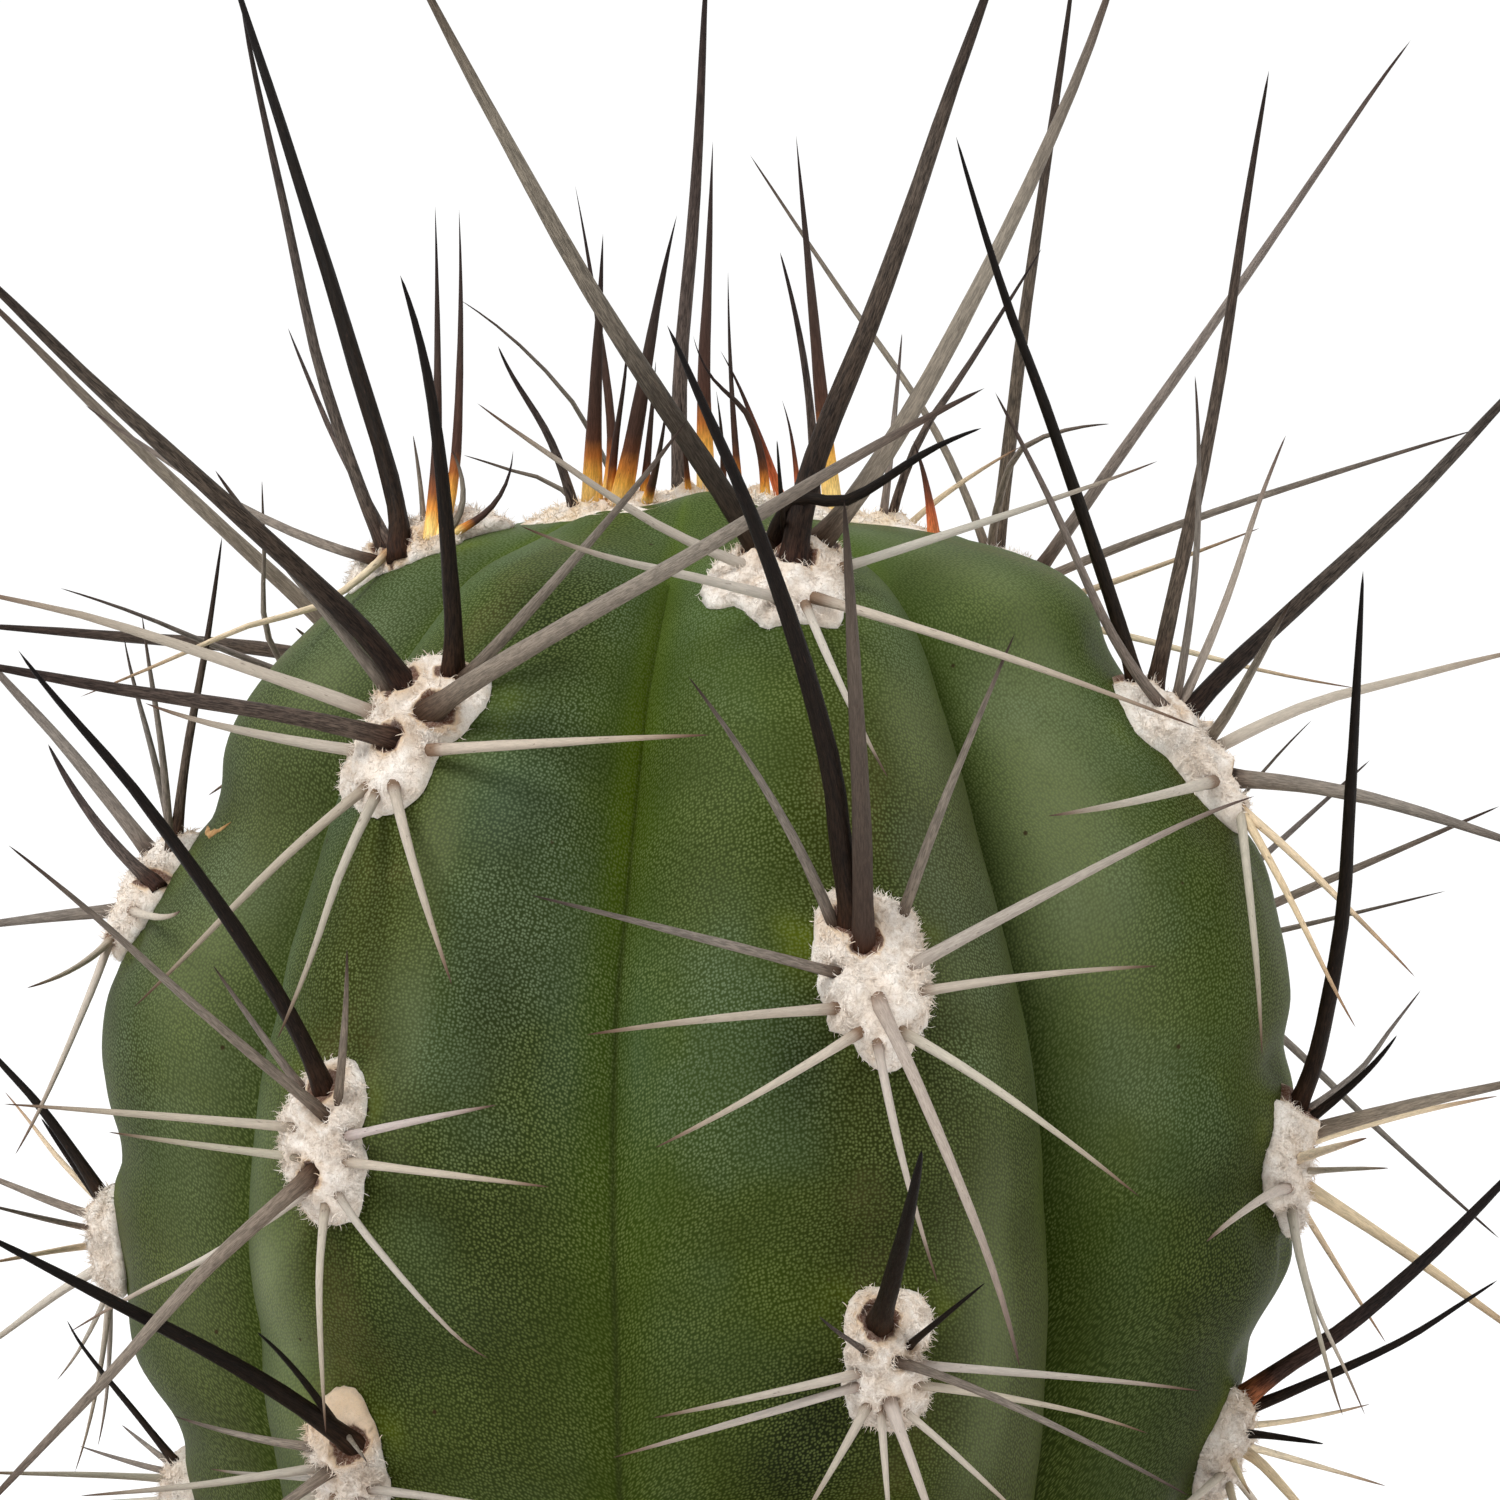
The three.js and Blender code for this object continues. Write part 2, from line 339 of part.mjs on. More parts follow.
    name: "areole_C5", at: [27.28, -9.21, 123], out: [0.9472, -0.3192, 0.0313], up: [-0.0296, 0.01, 0.9995], pad: [2.5, 3.7, 1.6],
    spines: [
      [4, 0.7, 28.61, -8.87, 123.4, 37.28, -3.3, 123.9, 46.28, 1.75, 123.66, 59.48, 8.17, 122.26],
      [4, 0.47, 28.21, -10.18, 122.83, 39, -21.99, 118.35, 47.41, -29.54, 114.73],
      [4, 0.44, 28.31, -9.58, 124.61, 49.46, -16.79, 129.05],
      [3, 0.37, 28.34, -9.05, 125.23, 33.48, -6.99, 136.2],
      [3, 0.37, 27.98, -10.13, 125.15, 29.57, -15.8, 136.03],
      [3, 0.38, 28.64, -8.1, 123.71, 35.58, 3.06, 127.76],
      [3, 0.39, 27.69, -10.91, 123.81, 29.79, -20.46, 126.88, 30.21, -26.25, 128.94],
      [3, 0.36, 28.68, -8.04, 123.02, 36.7, 2.44, 123.07],
      [3, 0.39, 27.68, -11, 123.04, 26.84, -18.93, 123.45, 26.87, -24.64, 123.2],
      [3, 0.35, 28.61, -8.57, 121.3, 34.77, -2.21, 112.42],
      [3, 0.38, 27.96, -10.49, 121.24, 28.48, -15.1, 115.74, 27.93, -18.02, 112.59],
      [3, 0.3, 28.35, -9.51, 120.72, 30.7, -9.78, 113.53, 31.3, -9.97, 109.04],
    ],
  },
  {
    name: "areole_C6", at: [26.9, -9.14, 108.5], out: [0.9468, -0.3212, 0.0213], up: [-0.0202, 0.0068, 0.9998], pad: [2.4, 3.5, 1.6],
    spines: [
      [4, 0.59, 28.13, -9.01, 109.66, 42.22, -5.17, 118.37, 52.71, -1.97, 123.61],
      [4, 0.46, 27.82, -9.93, 109.77, 38.18, -24.95, 123.59],
      [4, 0.42, 28.23, -8.9, 108.54, 35.51, -3.57, 106.09, 40.65, -0.1, 103.59],
      [3, 0.34, 28.03, -8.86, 110.48, 32.93, -6.78, 117.09, 35.18, -5.69, 121.52],
      [3, 0.39, 27.71, -9.82, 110.62, 32.77, -14.1, 119.84],
      [3, 0.4, 28.23, -8.19, 109.41, 36.41, 2.52, 115.24],
      [3, 0.37, 27.35, -10.8, 109.04, 29.44, -18.68, 111.21, 30.28, -23.63, 111.95],
      [3, 0.38, 28.28, -8.08, 108.28, 35.61, -0.07, 107.24],
      [3, 0.38, 27.39, -10.78, 107.83, 28.63, -22.19, 104.42],
      [3, 0.33, 28.26, -8.23, 107.52, 35.03, 0, 102.46],
      [3, 0.35, 27.48, -10.59, 107.24, 28.65, -16.68, 103.67, 28.8, -20.12, 101.1],
      [3, 0.33, 27.7, -10.09, 106.56, 31.31, -13.99, 101.4],
    ],
  },
  {
    name: "areole_D0", at: [-16.35, -0.58, 206], out: [-0.3093, -0.0053, 0.951], up: [0.9504, 0.0337, 0.3093], pad: [3.8, 5.2, 1.6],
    spines: [
      [4, 0.82, -17.49, -3.62, 206.03, -23.77, 8.97, 226.21, -29.5, 18.77, 242],
      [4, 0.59, -18.32, -2.31, 205.77, -25.18, 9.92, 226.19, -28.43, 17.51, 239.53],
      [3, 0.35, -17.76, -3.84, 205.94, -21.82, 5.35, 211.93, -25.27, 14.07, 218.28],
      [3, 0.38, -19.18, -3.53, 205.48, -35.37, 11.4, 212.17, -37.76, 13.79, 213.57],
      [4, 0.55, -15.65, -4.01, 206.63, -15.5, 1.09, 226.07],
      [4, 0.55, -15.03, -3.88, 206.83, -14.07, 0.69, 225.91],
      [3, 0.33, -14.17, -3.58, 207.11, -10.83, -2.12, 211.79],
      [3, 0.26, -16.05, -2.57, 206.51, -16.77, -1.01, 212.61],
      [3, 0.29, -18.29, -3.86, 205.77, -25.87, -8.34, 202.04, -35.09, -14.3, 198.47],
      [3, 0.3, -14.78, -3.81, 206.91, -14.4, -2.56, 211.82],
    ],
  },
  {
    name: "areole_D1", at: [-32.25, -1.33, 185.2], out: [-0.8401, -0.0226, 0.542], up: [0.5418, 0.0146, 0.8404], pad: [3.1, 4.4, 1.9],
    spines: [
      [4, 0.72, -32.32, 0.1, 187.22, -45.8, 12.64, 200.1],
      [4, 0.56, -32.17, -3.87, 186.44, -35.78, -0.07, 189.41, -39.2, 4.5, 193.65],
      [4, 0.57, -34.19, 0.21, 184.17, -45.76, 3.54, 182.47],
      [4, 0.45, -30.95, -1.29, 188.86, -28.25, 0.71, 206.45],
      [3, 0.33, -31.28, 0.13, 188.3, -32.79, -11.93, 201.68],
      [3, 0.35, -31.2, -2.73, 188.3, -31.67, -12.63, 203.01],
      [3, 0.32, -33.31, -3.9, 184.68, -30.99, -11.59, 185.43, -28.89, -20.74, 187.07],
      [3, 0.3, -34.9, -2.19, 182.67, -38.21, -15.37, 181.87],
      [3, 0.33, -34.9, -2.19, 182.67, -38.96, -15.96, 172.29],
    ],
  },
  {
    name: "areole_D2", at: [-34.67, -1.62, 164.5], out: [-0.9963, -0.0381, -0.0772], up: [-0.0772, -0.0029, 0.997], pad: [2.5, 3.5, 1.7],
    spines: [
      [4, 0.51, -35.7, -0.51, 166.94, -43.98, 3.1, 176.56],
      [4, 0.39, -35.62, 0.01, 166.28, -39.64, 2.08, 171.23],
      [3, 0.27, -35.62, 0.01, 166.28, -43.21, 13.12, 170.91],
      [4, 0.39, -35.64, 0.14, 165.44, -45.91, 7.44, 167.67],
      [3, 0.27, -35.9, -0.64, 164.91, -41.51, -14.24, 169.23],
      [3, 0.3, -35.57, 0.14, 163.93, -41.28, -14.27, 165.55],
      [4, 0.45, -35.59, -0.5, 162.76, -45.49, 5.18, 155.2],
      [3, 0.27, -35.3, -1.01, 161.6, -38.4, 6.55, 148.38],
      [3, 0.24, -35.3, -1.01, 161.6, -37.1, 7.71, 149.74],
      [3, 0.24, -35.3, -1.01, 161.6, -39.86, 10.13, 153.34],
    ],
  },
  {
    name: "areole_D3", at: [-30.17, -1.55, 148], out: [-0.991, -0.0471, -0.1252], up: [-0.125, -0.0059, 0.9921], pad: [2.3, 3.4, 1.6],
    spines: [
      [4, 0.36, -31.33, -1.6, 150.8, -38.21, 1.83, 158.89],
      [3, 0.27, -31.37, -1.61, 150.63, -36.06, 11.92, 150.08],
      [3, 0.27, -31.42, -1.73, 150.3, -38.73, 12.18, 148.68],
      [4, 0.33, -31.48, -1.26, 149.8, -42.38, -9.53, 152.24],
      [4, 0.45, -31.42, -0.92, 148.32, -44.13, 1.28, 146.89],
      [3, 0.38, -31.18, -0.17, 147.74, -39.04, 3.82, 146.48],
      [3, 0.35, -31.03, -3, 147.61, -33.23, -10.92, 146.27],
      [3, 0.41, -31.14, -2.97, 148.46, -34.13, -10.8, 150.52, -34.97, -15.79, 151.6],
      [3, 0.4, -31.06, -0.41, 146.71, -35.13, 4.64, 142.99, -36.87, 7.79, 140.3],
      [3, 0.36, -31.01, -2.98, 147.42, -37.18, -14.14, 144.13],
      [3, 0.35, -31.1, -0.28, 147.05, -32.76, 10.89, 142.06],
      [3, 0.36, -30.95, -2.78, 146.72, -33.28, -14.82, 138.41],
      [3, 0.35, -31.03, -0.56, 146.43, -34.33, 9.09, 136.67],
    ],
  },
  {
    name: "areole_D4", at: [-28.82, -1.6, 133], out: [-0.9984, -0.0523, 0.0228], up: [0.0228, 0.0012, 0.9997], pad: [2.5, 3.6, 1.6],
    spines: [
      [4, 0.63, -30, -0.93, 133.55, -47.51, 5.08, 135.02, -57.78, 9.42, 135.16],
      [4, 0.49, -29.95, -2.37, 133.18, -41.32, -15.33, 131.07, -49.84, -23.88, 128.15],
      [4, 0.43, -29.94, -1.49, 134.52, -44.24, -0.52, 139.5, -52.64, -0.85, 143.02],
      [3, 0.34, -29.83, -0.97, 135.04, -37.82, 4, 146.09],
      [3, 0.36, -29.74, -2.48, 134.9, -35.47, -8.5, 143.68],
      [3, 0.41, -29.69, -3.12, 133.54, -32.89, -15.58, 136.53],
      [3, 0.39, -29.85, -0.14, 133.25, -36.44, 12.26, 134.7],
      [3, 0.37, -29.71, -3.12, 132.49, -32.33, -10.48, 131.2, -34.65, -15.42, 129.7],
      [3, 0.37, -29.88, -0.22, 132.26, -33.89, 6.92, 129.25, -35.53, 11.74, 127.97],
      [3, 0.36, -29.79, -2.74, 131.46, -33.92, -12.96, 121.9],
      [3, 0.37, -29.92, -0.89, 131.07, -35.33, 5.09, 120.36],
      [3, 0.32, -29.9, -1.73, 130.78, -32.74, -2.46, 124.21, -33.88, -2.51, 120.04],
    ],
  },
  {
    name: "areole_D5", at: [-28.51, -1.7, 118], out: [-0.9978, -0.0569, 0.0341], up: [0.034, 0.0019, 0.9994], pad: [2.5, 3.5, 1.6],
    spines: [
      [4, 0.67, -29.63, -1.42, 119.41, -49.55, 3.51, 131.15, -60.7, 6.6, 139.36],
      [4, 0.49, -29.59, -2.22, 119.3, -40.64, -9.01, 128.35, -46.8, -13.92, 133.66],
      [4, 0.41, -29.75, -1.7, 117.41, -37.42, -1.75, 107.45, -41.71, -0.88, 101.29],
      [3, 0.36, -29.5, -1.28, 120.12, -37.1, 1.98, 131.78],
      [3, 0.36, -29.45, -2.11, 120.17, -33.67, -4.73, 130.21],
      [3, 0.4, -29.38, -3.05, 119.2, -31.95, -13.46, 125.77],
      [3, 0.41, -29.53, -0.32, 118.83, -33.63, 11.13, 123.52],
      [3, 0.38, -29.4, -3.25, 117.61, -31.62, -11.84, 115.6, -31.97, -17.27, 115.02],
      [3, 0.39, -29.56, -0.23, 117.77, -34.9, 10.84, 116.53],
      [3, 0.36, -29.5, -2.82, 116.45, -34.66, -12.08, 107.28],
      [3, 0.35, -29.63, -0.9, 116.22, -36.43, 6.2, 105.46],
      [3, 0.32, -29.61, -1.97, 115.86, -32.15, -3.31, 108.79, -33.03, -3.76, 104.31],
    ],
  },
  {
    name: "areole_E1", at: [20.03, 13.97, 201.1], out: [0.6437, 0.4454, 0.6223], up: [-0.5117, -0.3541, 0.7828], pad: [3.5, 4.6, 1.9],
    spines: [
      [4, 0.71, 18.22, 16.21, 202.33, 23.7, 27.22, 241.57],
      [3, 0.37, 17.95, 14.93, 203.82, 19.17, 10.38, 210.32, 20.69, 8.78, 211.79, 24.72, 5.39, 212.89],
      [4, 0.58, 20.67, 11.8, 203.34, 42.39, 4.42, 235.77],
      [4, 0.43, 19.89, 15.62, 202.04, 33.57, 14.48, 207.54, 47.6, 13.24, 212.06],
      [3, 0.31, 20.52, 16.27, 200.77, 33.78, 5.36, 206.63],
      [3, 0.31, 20.44, 16.65, 200.33, 40.16, 10.67, 196.41],
      [4, 0.37, 17.95, 14.93, 203.82, 14.03, 21.39, 212.66, 3.1, 34.36, 228.59],
      [3, 0.36, 19.56, 16.27, 201.55, 16.56, 25.18, 202.71],
      [3, 0.37, 19, 15.71, 202.57, 13.78, 21.15, 205.44],
      [3, 0.42, 20.19, 16.47, 200.8, 19.25, 27.38, 199.51],
      [3, 0.38, 20.04, 16.45, 200.96, 20.72, 28.96, 202.41],
      [3, 0.38, 22.3, 13.02, 201.07, 24.5, 11.19, 200.6],
      [3, 0.34, 20.91, 16.42, 200.18, 23.6, 25.3, 197.96, 24.47, 30.7, 196.24],
    ],
  },
  {
    name: "areole_E2", at: [29.15, 20.07, 179.5], out: [0.8066, 0.5516, 0.2125], up: [-0.1754, -0.12, 0.9772], pad: [3.2, 4.5, 1.9],
    spines: [
      [4, 0.48, 29.22, 22.31, 178.25, 50.39, 20.39, 187.92],
      [3, 0.29, 29.24, 22.32, 178.03, 45.93, 10.9, 183.83],
      [4, 0.41, 28.92, 22.5, 178.22, 42.48, 23.4, 190.49],
      [4, 0.44, 30.31, 21.07, 178.95, 52.39, 32.74, 157.72],
      [3, 0.25, 28.79, 21.62, 181.82, 37.96, 14.95, 193.97],
      [3, 0.37, 29.47, 20.58, 182.46, 28.98, 21.45, 189.35, 28.19, 21.28, 193.47],
      [3, 0.38, 28.96, 21.47, 181.85, 24.31, 28.91, 192.91],
      [3, 0.43, 28.79, 21.92, 181.07, 27.94, 29.38, 186.23, 27.73, 35.18, 189.19],
      [3, 0.42, 30.14, 19.66, 182.17, 31.64, 16.2, 189.51],
      [3, 0.39, 29.05, 22.31, 178.97, 25.28, 37.51, 175.85],
      [3, 0.38, 31.11, 19.99, 177.54, 36.18, 16.96, 170.63],
      [3, 0.33, 29.79, 21.93, 177.53, 30.02, 28.03, 172.04, 30.96, 32.19, 168],
      [3, 0.36, 30.27, 21.46, 177.11, 31.98, 25.93, 167.41],
    ],
  },
  {
    name: "areole_E3", at: [28.36, 19.31, 160.5], out: [0.808, 0.5477, -0.2172], up: [0.1798, 0.1219, 0.9761], pad: [2.5, 3.7, 1.6],
    spines: [
      [4, 0.75, 29.26, 20.48, 161.52, 31.67, 29.34, 166.75, 34.09, 35.13, 170.95],
      [4, 0.57, 29.12, 20.58, 161.26, 33.96, 34.06, 164.75, 37.5, 43.86, 166.33],
      [4, 0.52, 29.03, 20.23, 159.76, 31.06, 32.54, 142.85],
      [3, 0.37, 29.61, 20.16, 162.49, 34.47, 23.42, 172.14],
      [3, 0.33, 28.87, 20.93, 161.88, 28.82, 33.37, 171.39],
      [3, 0.39, 28.37, 21.13, 160.69, 24.06, 34.47, 162.37],
      [3, 0.41, 30.05, 18.64, 160.67, 36.26, 11.79, 161.99],
      [3, 0.35, 28.26, 21.08, 160.17, 25.52, 33.64, 158.45],
      [3, 0.36, 29.77, 18.58, 159.42, 33.92, 12.69, 156.22],
      [3, 0.36, 28.24, 20.65, 158.87, 25.48, 31.37, 149.23],
      [3, 0.34, 29.06, 19.23, 158.16, 30.09, 17.21, 151.24, 30.03, 15.66, 147.15],
      [3, 0.33, 28.75, 19.67, 158.06, 29.33, 20.24, 149.91, 28.83, 20.51, 145.03],
    ],
  },
  {
    name: "areole_E4", at: [24.65, 16.63, 144.5], out: [0.8279, 0.5573, -0.0626], up: [0.0519, 0.035, 0.998], pad: [2.5, 3.7, 1.6],
    spines: [
      [4, 0.68, 26.03, 16.69, 144.58, 41.83, 17.44, 142, 52.94, 18.7, 139.55],
      [4, 0.56, 25.38, 17.74, 145.68, 31.57, 27.38, 150.64, 34.24, 33.78, 153.47],
      [4, 0.47, 25.86, 16.94, 143.95, 37.87, 18.06, 134.92, 44.53, 18.01, 128.81],
      [3, 0.38, 26.05, 16.59, 146.38, 30.65, 14.85, 152.1, 32.72, 13.72, 155.96],
      [3, 0.39, 24.83, 18.27, 145.76, 23.23, 27.47, 151.56],
      [3, 0.38, 24.68, 18.4, 145.21, 23.71, 27.04, 147.3, 22.89, 31.98, 149.22],
      [3, 0.37, 26.31, 15.91, 144.72, 31.5, 10.58, 145.4, 33.97, 6.92, 146.11],
      [3, 0.35, 24.6, 18.34, 143.63, 22.51, 25.49, 141.11, 20.52, 29.31, 139.18],
      [3, 0.36, 26.29, 15.89, 144.27, 37.76, 6.87, 142.92],
      [3, 0.37, 24.79, 18.03, 142.81, 24.17, 29.06, 132.82],
      [3, 0.33, 26.05, 16.17, 142.94, 31.24, 12.94, 138.45, 33.52, 10.71, 135.19],
      [3, 0.35, 25.36, 17.19, 142.14, 29.37, 20.42, 131.44],
    ],
  },
  {
    name: "areole_E5", at: [24, 16.05, 129.5], out: [0.8314, 0.5549, 0.0289], up: [-0.0241, -0.0161, 0.9996], pad: [2.5, 3.5, 1.6],
    spines: [
      [4, 0.71, 24.55, 17.28, 130.25, 29.49, 31.45, 133.78, 31.4, 40.36, 135.36],
      [4, 0.48, 25.21, 16.25, 130.74, 35.46, 16.31, 138.07, 43.26, 15.96, 142.56],
      [4, 0.49, 25.3, 16.27, 129.22, 44.65, 16.22, 119.1],
      [3, 0.38, 24.44, 17.14, 131.5, 27.32, 25.89, 143.87],
      [3, 0.35, 25.13, 16.11, 131.55, 32.6, 16.13, 142.01],
      [3, 0.42, 23.94, 17.85, 129.94, 22.44, 27.42, 131.98, 20.6, 33, 132.9],
      [3, 0.42, 25.66, 15.29, 129.7, 36.53, 5.98, 130.9],
      [3, 0.35, 24, 17.83, 128.83, 19.92, 30.36, 124.66],
      [3, 0.38, 25.64, 15.36, 128.87, 37.22, 7.75, 124.99],
      [3, 0.38, 24.29, 17.52, 127.93, 23.91, 26.61, 119.69],
      [3, 0.35, 25.35, 15.96, 127.68, 29.83, 13.66, 121.42, 33.07, 12.86, 116.75],
      [3, 0.34, 24.72, 16.96, 127.41, 27.54, 22.29, 115.59],
      [3, 0.25, 25.11, 16.14, 131.57, 32.25, 18.41, 137.33],
    ],
  },
  {
    name: "areole_E6", at: [23.79, 15.78, 115], out: [0.8336, 0.5517, 0.0267], up: [-0.0223, -0.0148, 0.9996], pad: [2.4, 3.4, 1.6],
    spines: [
      [4, 0.62, 24.81, 16.25, 116.44, 48.66, 25.99, 138.12],
      [4, 0.51, 24.44, 16.83, 116.14, 25.63, 27.93, 123.8, 27.3, 35.62, 129.41],
      [4, 0.41, 24.99, 16.19, 114.52, 34.71, 17.17, 106.97, 39.5, 17.8, 101.33],
      [3, 0.35, 24.98, 15.75, 116.92, 32.36, 14.99, 126.26],
      [3, 0.34, 24.21, 16.91, 116.89, 25.69, 23.8, 125.97],
      [3, 0.42, 23.84, 17.43, 115.86, 20.87, 30.79, 121.49],
      [3, 0.37, 25.41, 15.08, 115.18, 37.87, 4.92, 116.42],
      [3, 0.35, 23.8, 17.53, 114.7, 21.96, 25.05, 113.29, 20.04, 29.35, 112.94],
      [3, 0.36, 25.41, 15.09, 114.76, 36.82, 9.68, 113.59],
      [3, 0.35, 24.09, 17.22, 113.52, 23.76, 22.28, 108.81, 22.82, 25.32, 106.13],
      [3, 0.33, 25.22, 15.51, 113.48, 30.48, 13.35, 108.38, 33.19, 11.41, 105.24],
      [3, 0.34, 24.57, 16.59, 112.94, 26.44, 19.45, 106.25, 27.14, 20.6, 101.94],
    ],
  },
  {
    name: "areole_F1", at: [-0.32, 25.12, 199.5], out: [-0.0182, 0.7659, 0.6427], up: [0.0153, -0.6425, 0.7661], pad: [3.6, 4.8, 1.9],
    spines: [
      [4, 0.79, -1.2, 23.25, 203.04, -1.31, 25.56, 214.32, 0.42, 31.18, 241.65],
      [3, 0.32, -2.89, 24.6, 201.21, -7.12, 22.28, 211.76, -10.61, 21.02, 216.22, -14.97, 19.67, 219.79],
      [3, 0.32, -3.27, 24.92, 200.59, -8.94, 24.57, 207.71, -15.05, 23.96, 209.85],
      [4, 0.6, -0.98, 26.53, 199.91, -7.36, 38.96, 199.12],
      [4, 0.56, 0.34, 26.51, 199.97, 10.34, 48.29, 201.78],
      [3, 0.34, 1.88, 25.67, 200.46, 12.26, 25.82, 202.28],
      [3, 0.35, -2.32, 26.78, 199.07, -6.28, 34.44, 202.86],
      [3, 0.41, -2.57, 25.9, 200.05, -9.14, 29.4, 202.37, -13.45, 30.67, 203.69],
      [3, 0.39, 1.87, 25.65, 200.48, 13.7, 28.39, 204.9],
      [3, 0.38, -2.53, 26.22, 199.68, -17.88, 31.31, 200.17],
      [3, 0.39, 1.82, 26.38, 199.62, 8.55, 31.21, 200.89, 13.13, 33.19, 201.54],
      [3, 0.35, -1.84, 27.37, 198.48, -12.05, 38.85, 193.31],
      [3, 0.33, 1.34, 27.2, 198.73, 10.48, 36.61, 196.27],
    ],
  },
  {
    name: "areole_F2", at: [-0.04, 35.25, 178], out: [-0.0102, 0.9801, 0.1983], up: [0.0021, -0.1983, 0.9801], pad: [2.6, 3.7, 1.6],
    spines: [
      [4, 0.82, -0.36, 36.08, 179.65, -4.4, 51.85, 192.08, -7.35, 60.5, 200.31],
      [4, 0.53, 0.44, 36.12, 179.49, 10.04, 55.1, 195.52],
      [4, 0.5, 0.25, 36.55, 177.68, 4.08, 47.74, 169.55, 7.24, 53.65, 164.14],
      [3, 0.33, -0.73, 35.84, 180.21, -4.79, 39.38, 188.94, -7.06, 40.49, 194.56],
      [3, 0.38, 0.95, 35.89, 179.93, 10.84, 40.4, 193.4],
      [3, 0.42, -1.57, 36.04, 178.85, -9.81, 40.32, 182.14, -15.03, 42.02, 184.34],
      [3, 0.38, 1.52, 36.12, 178.57, 12.27, 37.75, 181.12, 19.86, 39.75, 182.55],
      [3, 0.39, -1.64, 36.19, 178.06, -18.12, 41.38, 178.14],
      [3, 0.37, 1.5, 36.3, 177.69, 17.35, 42, 175.11],
      [3, 0.38, -1.15, 36.54, 176.58, -7.12, 40.78, 171.66, -10.35, 42.83, 168],
      [3, 0.37, 0.83, 36.62, 176.35, 9.37, 44.78, 164.87],
      [3, 0.36, 0.01, 36.72, 175.98, 0.37, 45, 166.17],
    ],
  },
  {
    name: "areole_F3", at: [0.33, 33.42, 158], out: [0.0042, 0.9651, -0.2619], up: [0.0011, 0.2619, 0.9651], pad: [2.4, 3.6, 1.6],
    spines: [
      [4, 0.77, 0.17, 34.92, 159.14, -3.42, 50.71, 168.06, -4.89, 59.64, 174.47],
      [4, 0.58, 0.83, 34.85, 158.87, 6.52, 49.12, 161.67, 11.03, 57.13, 163.48],
      [4, 0.52, 0.78, 34.47, 157.29, 8.73, 41.9, 145.82, 13.42, 45.36, 138.33],
      [3, 0.38, -0.41, 34.92, 159.61, -4.89, 42.9, 164.55, -7.18, 47.24, 168.41],
      [3, 0.35, 1.29, 34.84, 159.39, 6.16, 38.91, 163.54, 8.95, 42.38, 166.64],
      [3, 0.42, -0.99, 34.63, 158.7, -8.78, 38.03, 161.21, -13.98, 40.68, 163.67],
      [3, 0.38, 1.71, 34.56, 158.51, 16.13, 41.69, 162.17],
      [3, 0.36, -1.12, 34.46, 158.1, -14.07, 36.72, 159.75],
      [3, 0.35, 1.78, 34.24, 157.33, 15.84, 38.24, 153.42],
      [3, 0.39, -0.85, 34.03, 156.44, -7.22, 34.8, 151.74, -10.8, 34.62, 148.58],
      [3, 0.37, 1.44, 33.99, 156.32, 12.61, 37.05, 145.45],
      [3, 0.31, 0.24, 33.84, 155.56, -0.45, 34.02, 143.68],
    ],
  },
  {
    name: "areole_F4", at: [0.55, 29.41, 142], out: [0.0156, 0.9994, -0.0316], up: [0.0005, 0.0316, 0.9995], pad: [2.4, 3.7, 1.6],
    spines: [
      [4, 0.65, 0.1, 30.61, 143.26, -9.14, 42.4, 155.08, -16.2, 51.59, 162.28],
      [4, 0.55, 0.97, 30.6, 143.32, 4.09, 45.03, 148.23, 7.11, 53.44, 150.97],
      [4, 0.49, 0.39, 30.61, 141.33, -2.64, 42.7, 130.96, -3.33, 49.89, 124.44],
      [3, 0.38, -0.01, 30.52, 144.09, -4.39, 37.46, 154.55],
      [3, 0.37, 0.99, 30.51, 144.17, 3.68, 39.86, 152.36],
      [3, 0.41, -0.83, 30.43, 142.75, -13.31, 33.28, 147.22],
      [3, 0.41, 2.03, 30.36, 142.17, 15.91, 35.3, 143.22],
      [3, 0.35, -0.92, 30.4, 141.94, -15.17, 35.34, 141.58],
      [3, 0.37, 1.97, 30.34, 141.3, 9.69, 34.6, 138.45, 14.78, 36.44, 137.2],
      [3, 0.35, -0.31, 30.38, 140.12, -7.87, 36.16, 129.54],
      [3, 0.36, 1.43, 30.35, 140.1, 6.58, 32.86, 133.49, 9.36, 33.73, 129.1],
      [3, 0.36, 0.34, 30.38, 139.69, -0.63, 32.79, 131.55, -1.61, 33.51, 126.57],
    ],
  },
  {
    name: "areole_F5", at: [0.77, 28.76, 127], out: [0.024, 0.9991, 0.0347], up: [-0.0008, -0.0347, 0.9994], pad: [2.5, 3.7, 1.6],
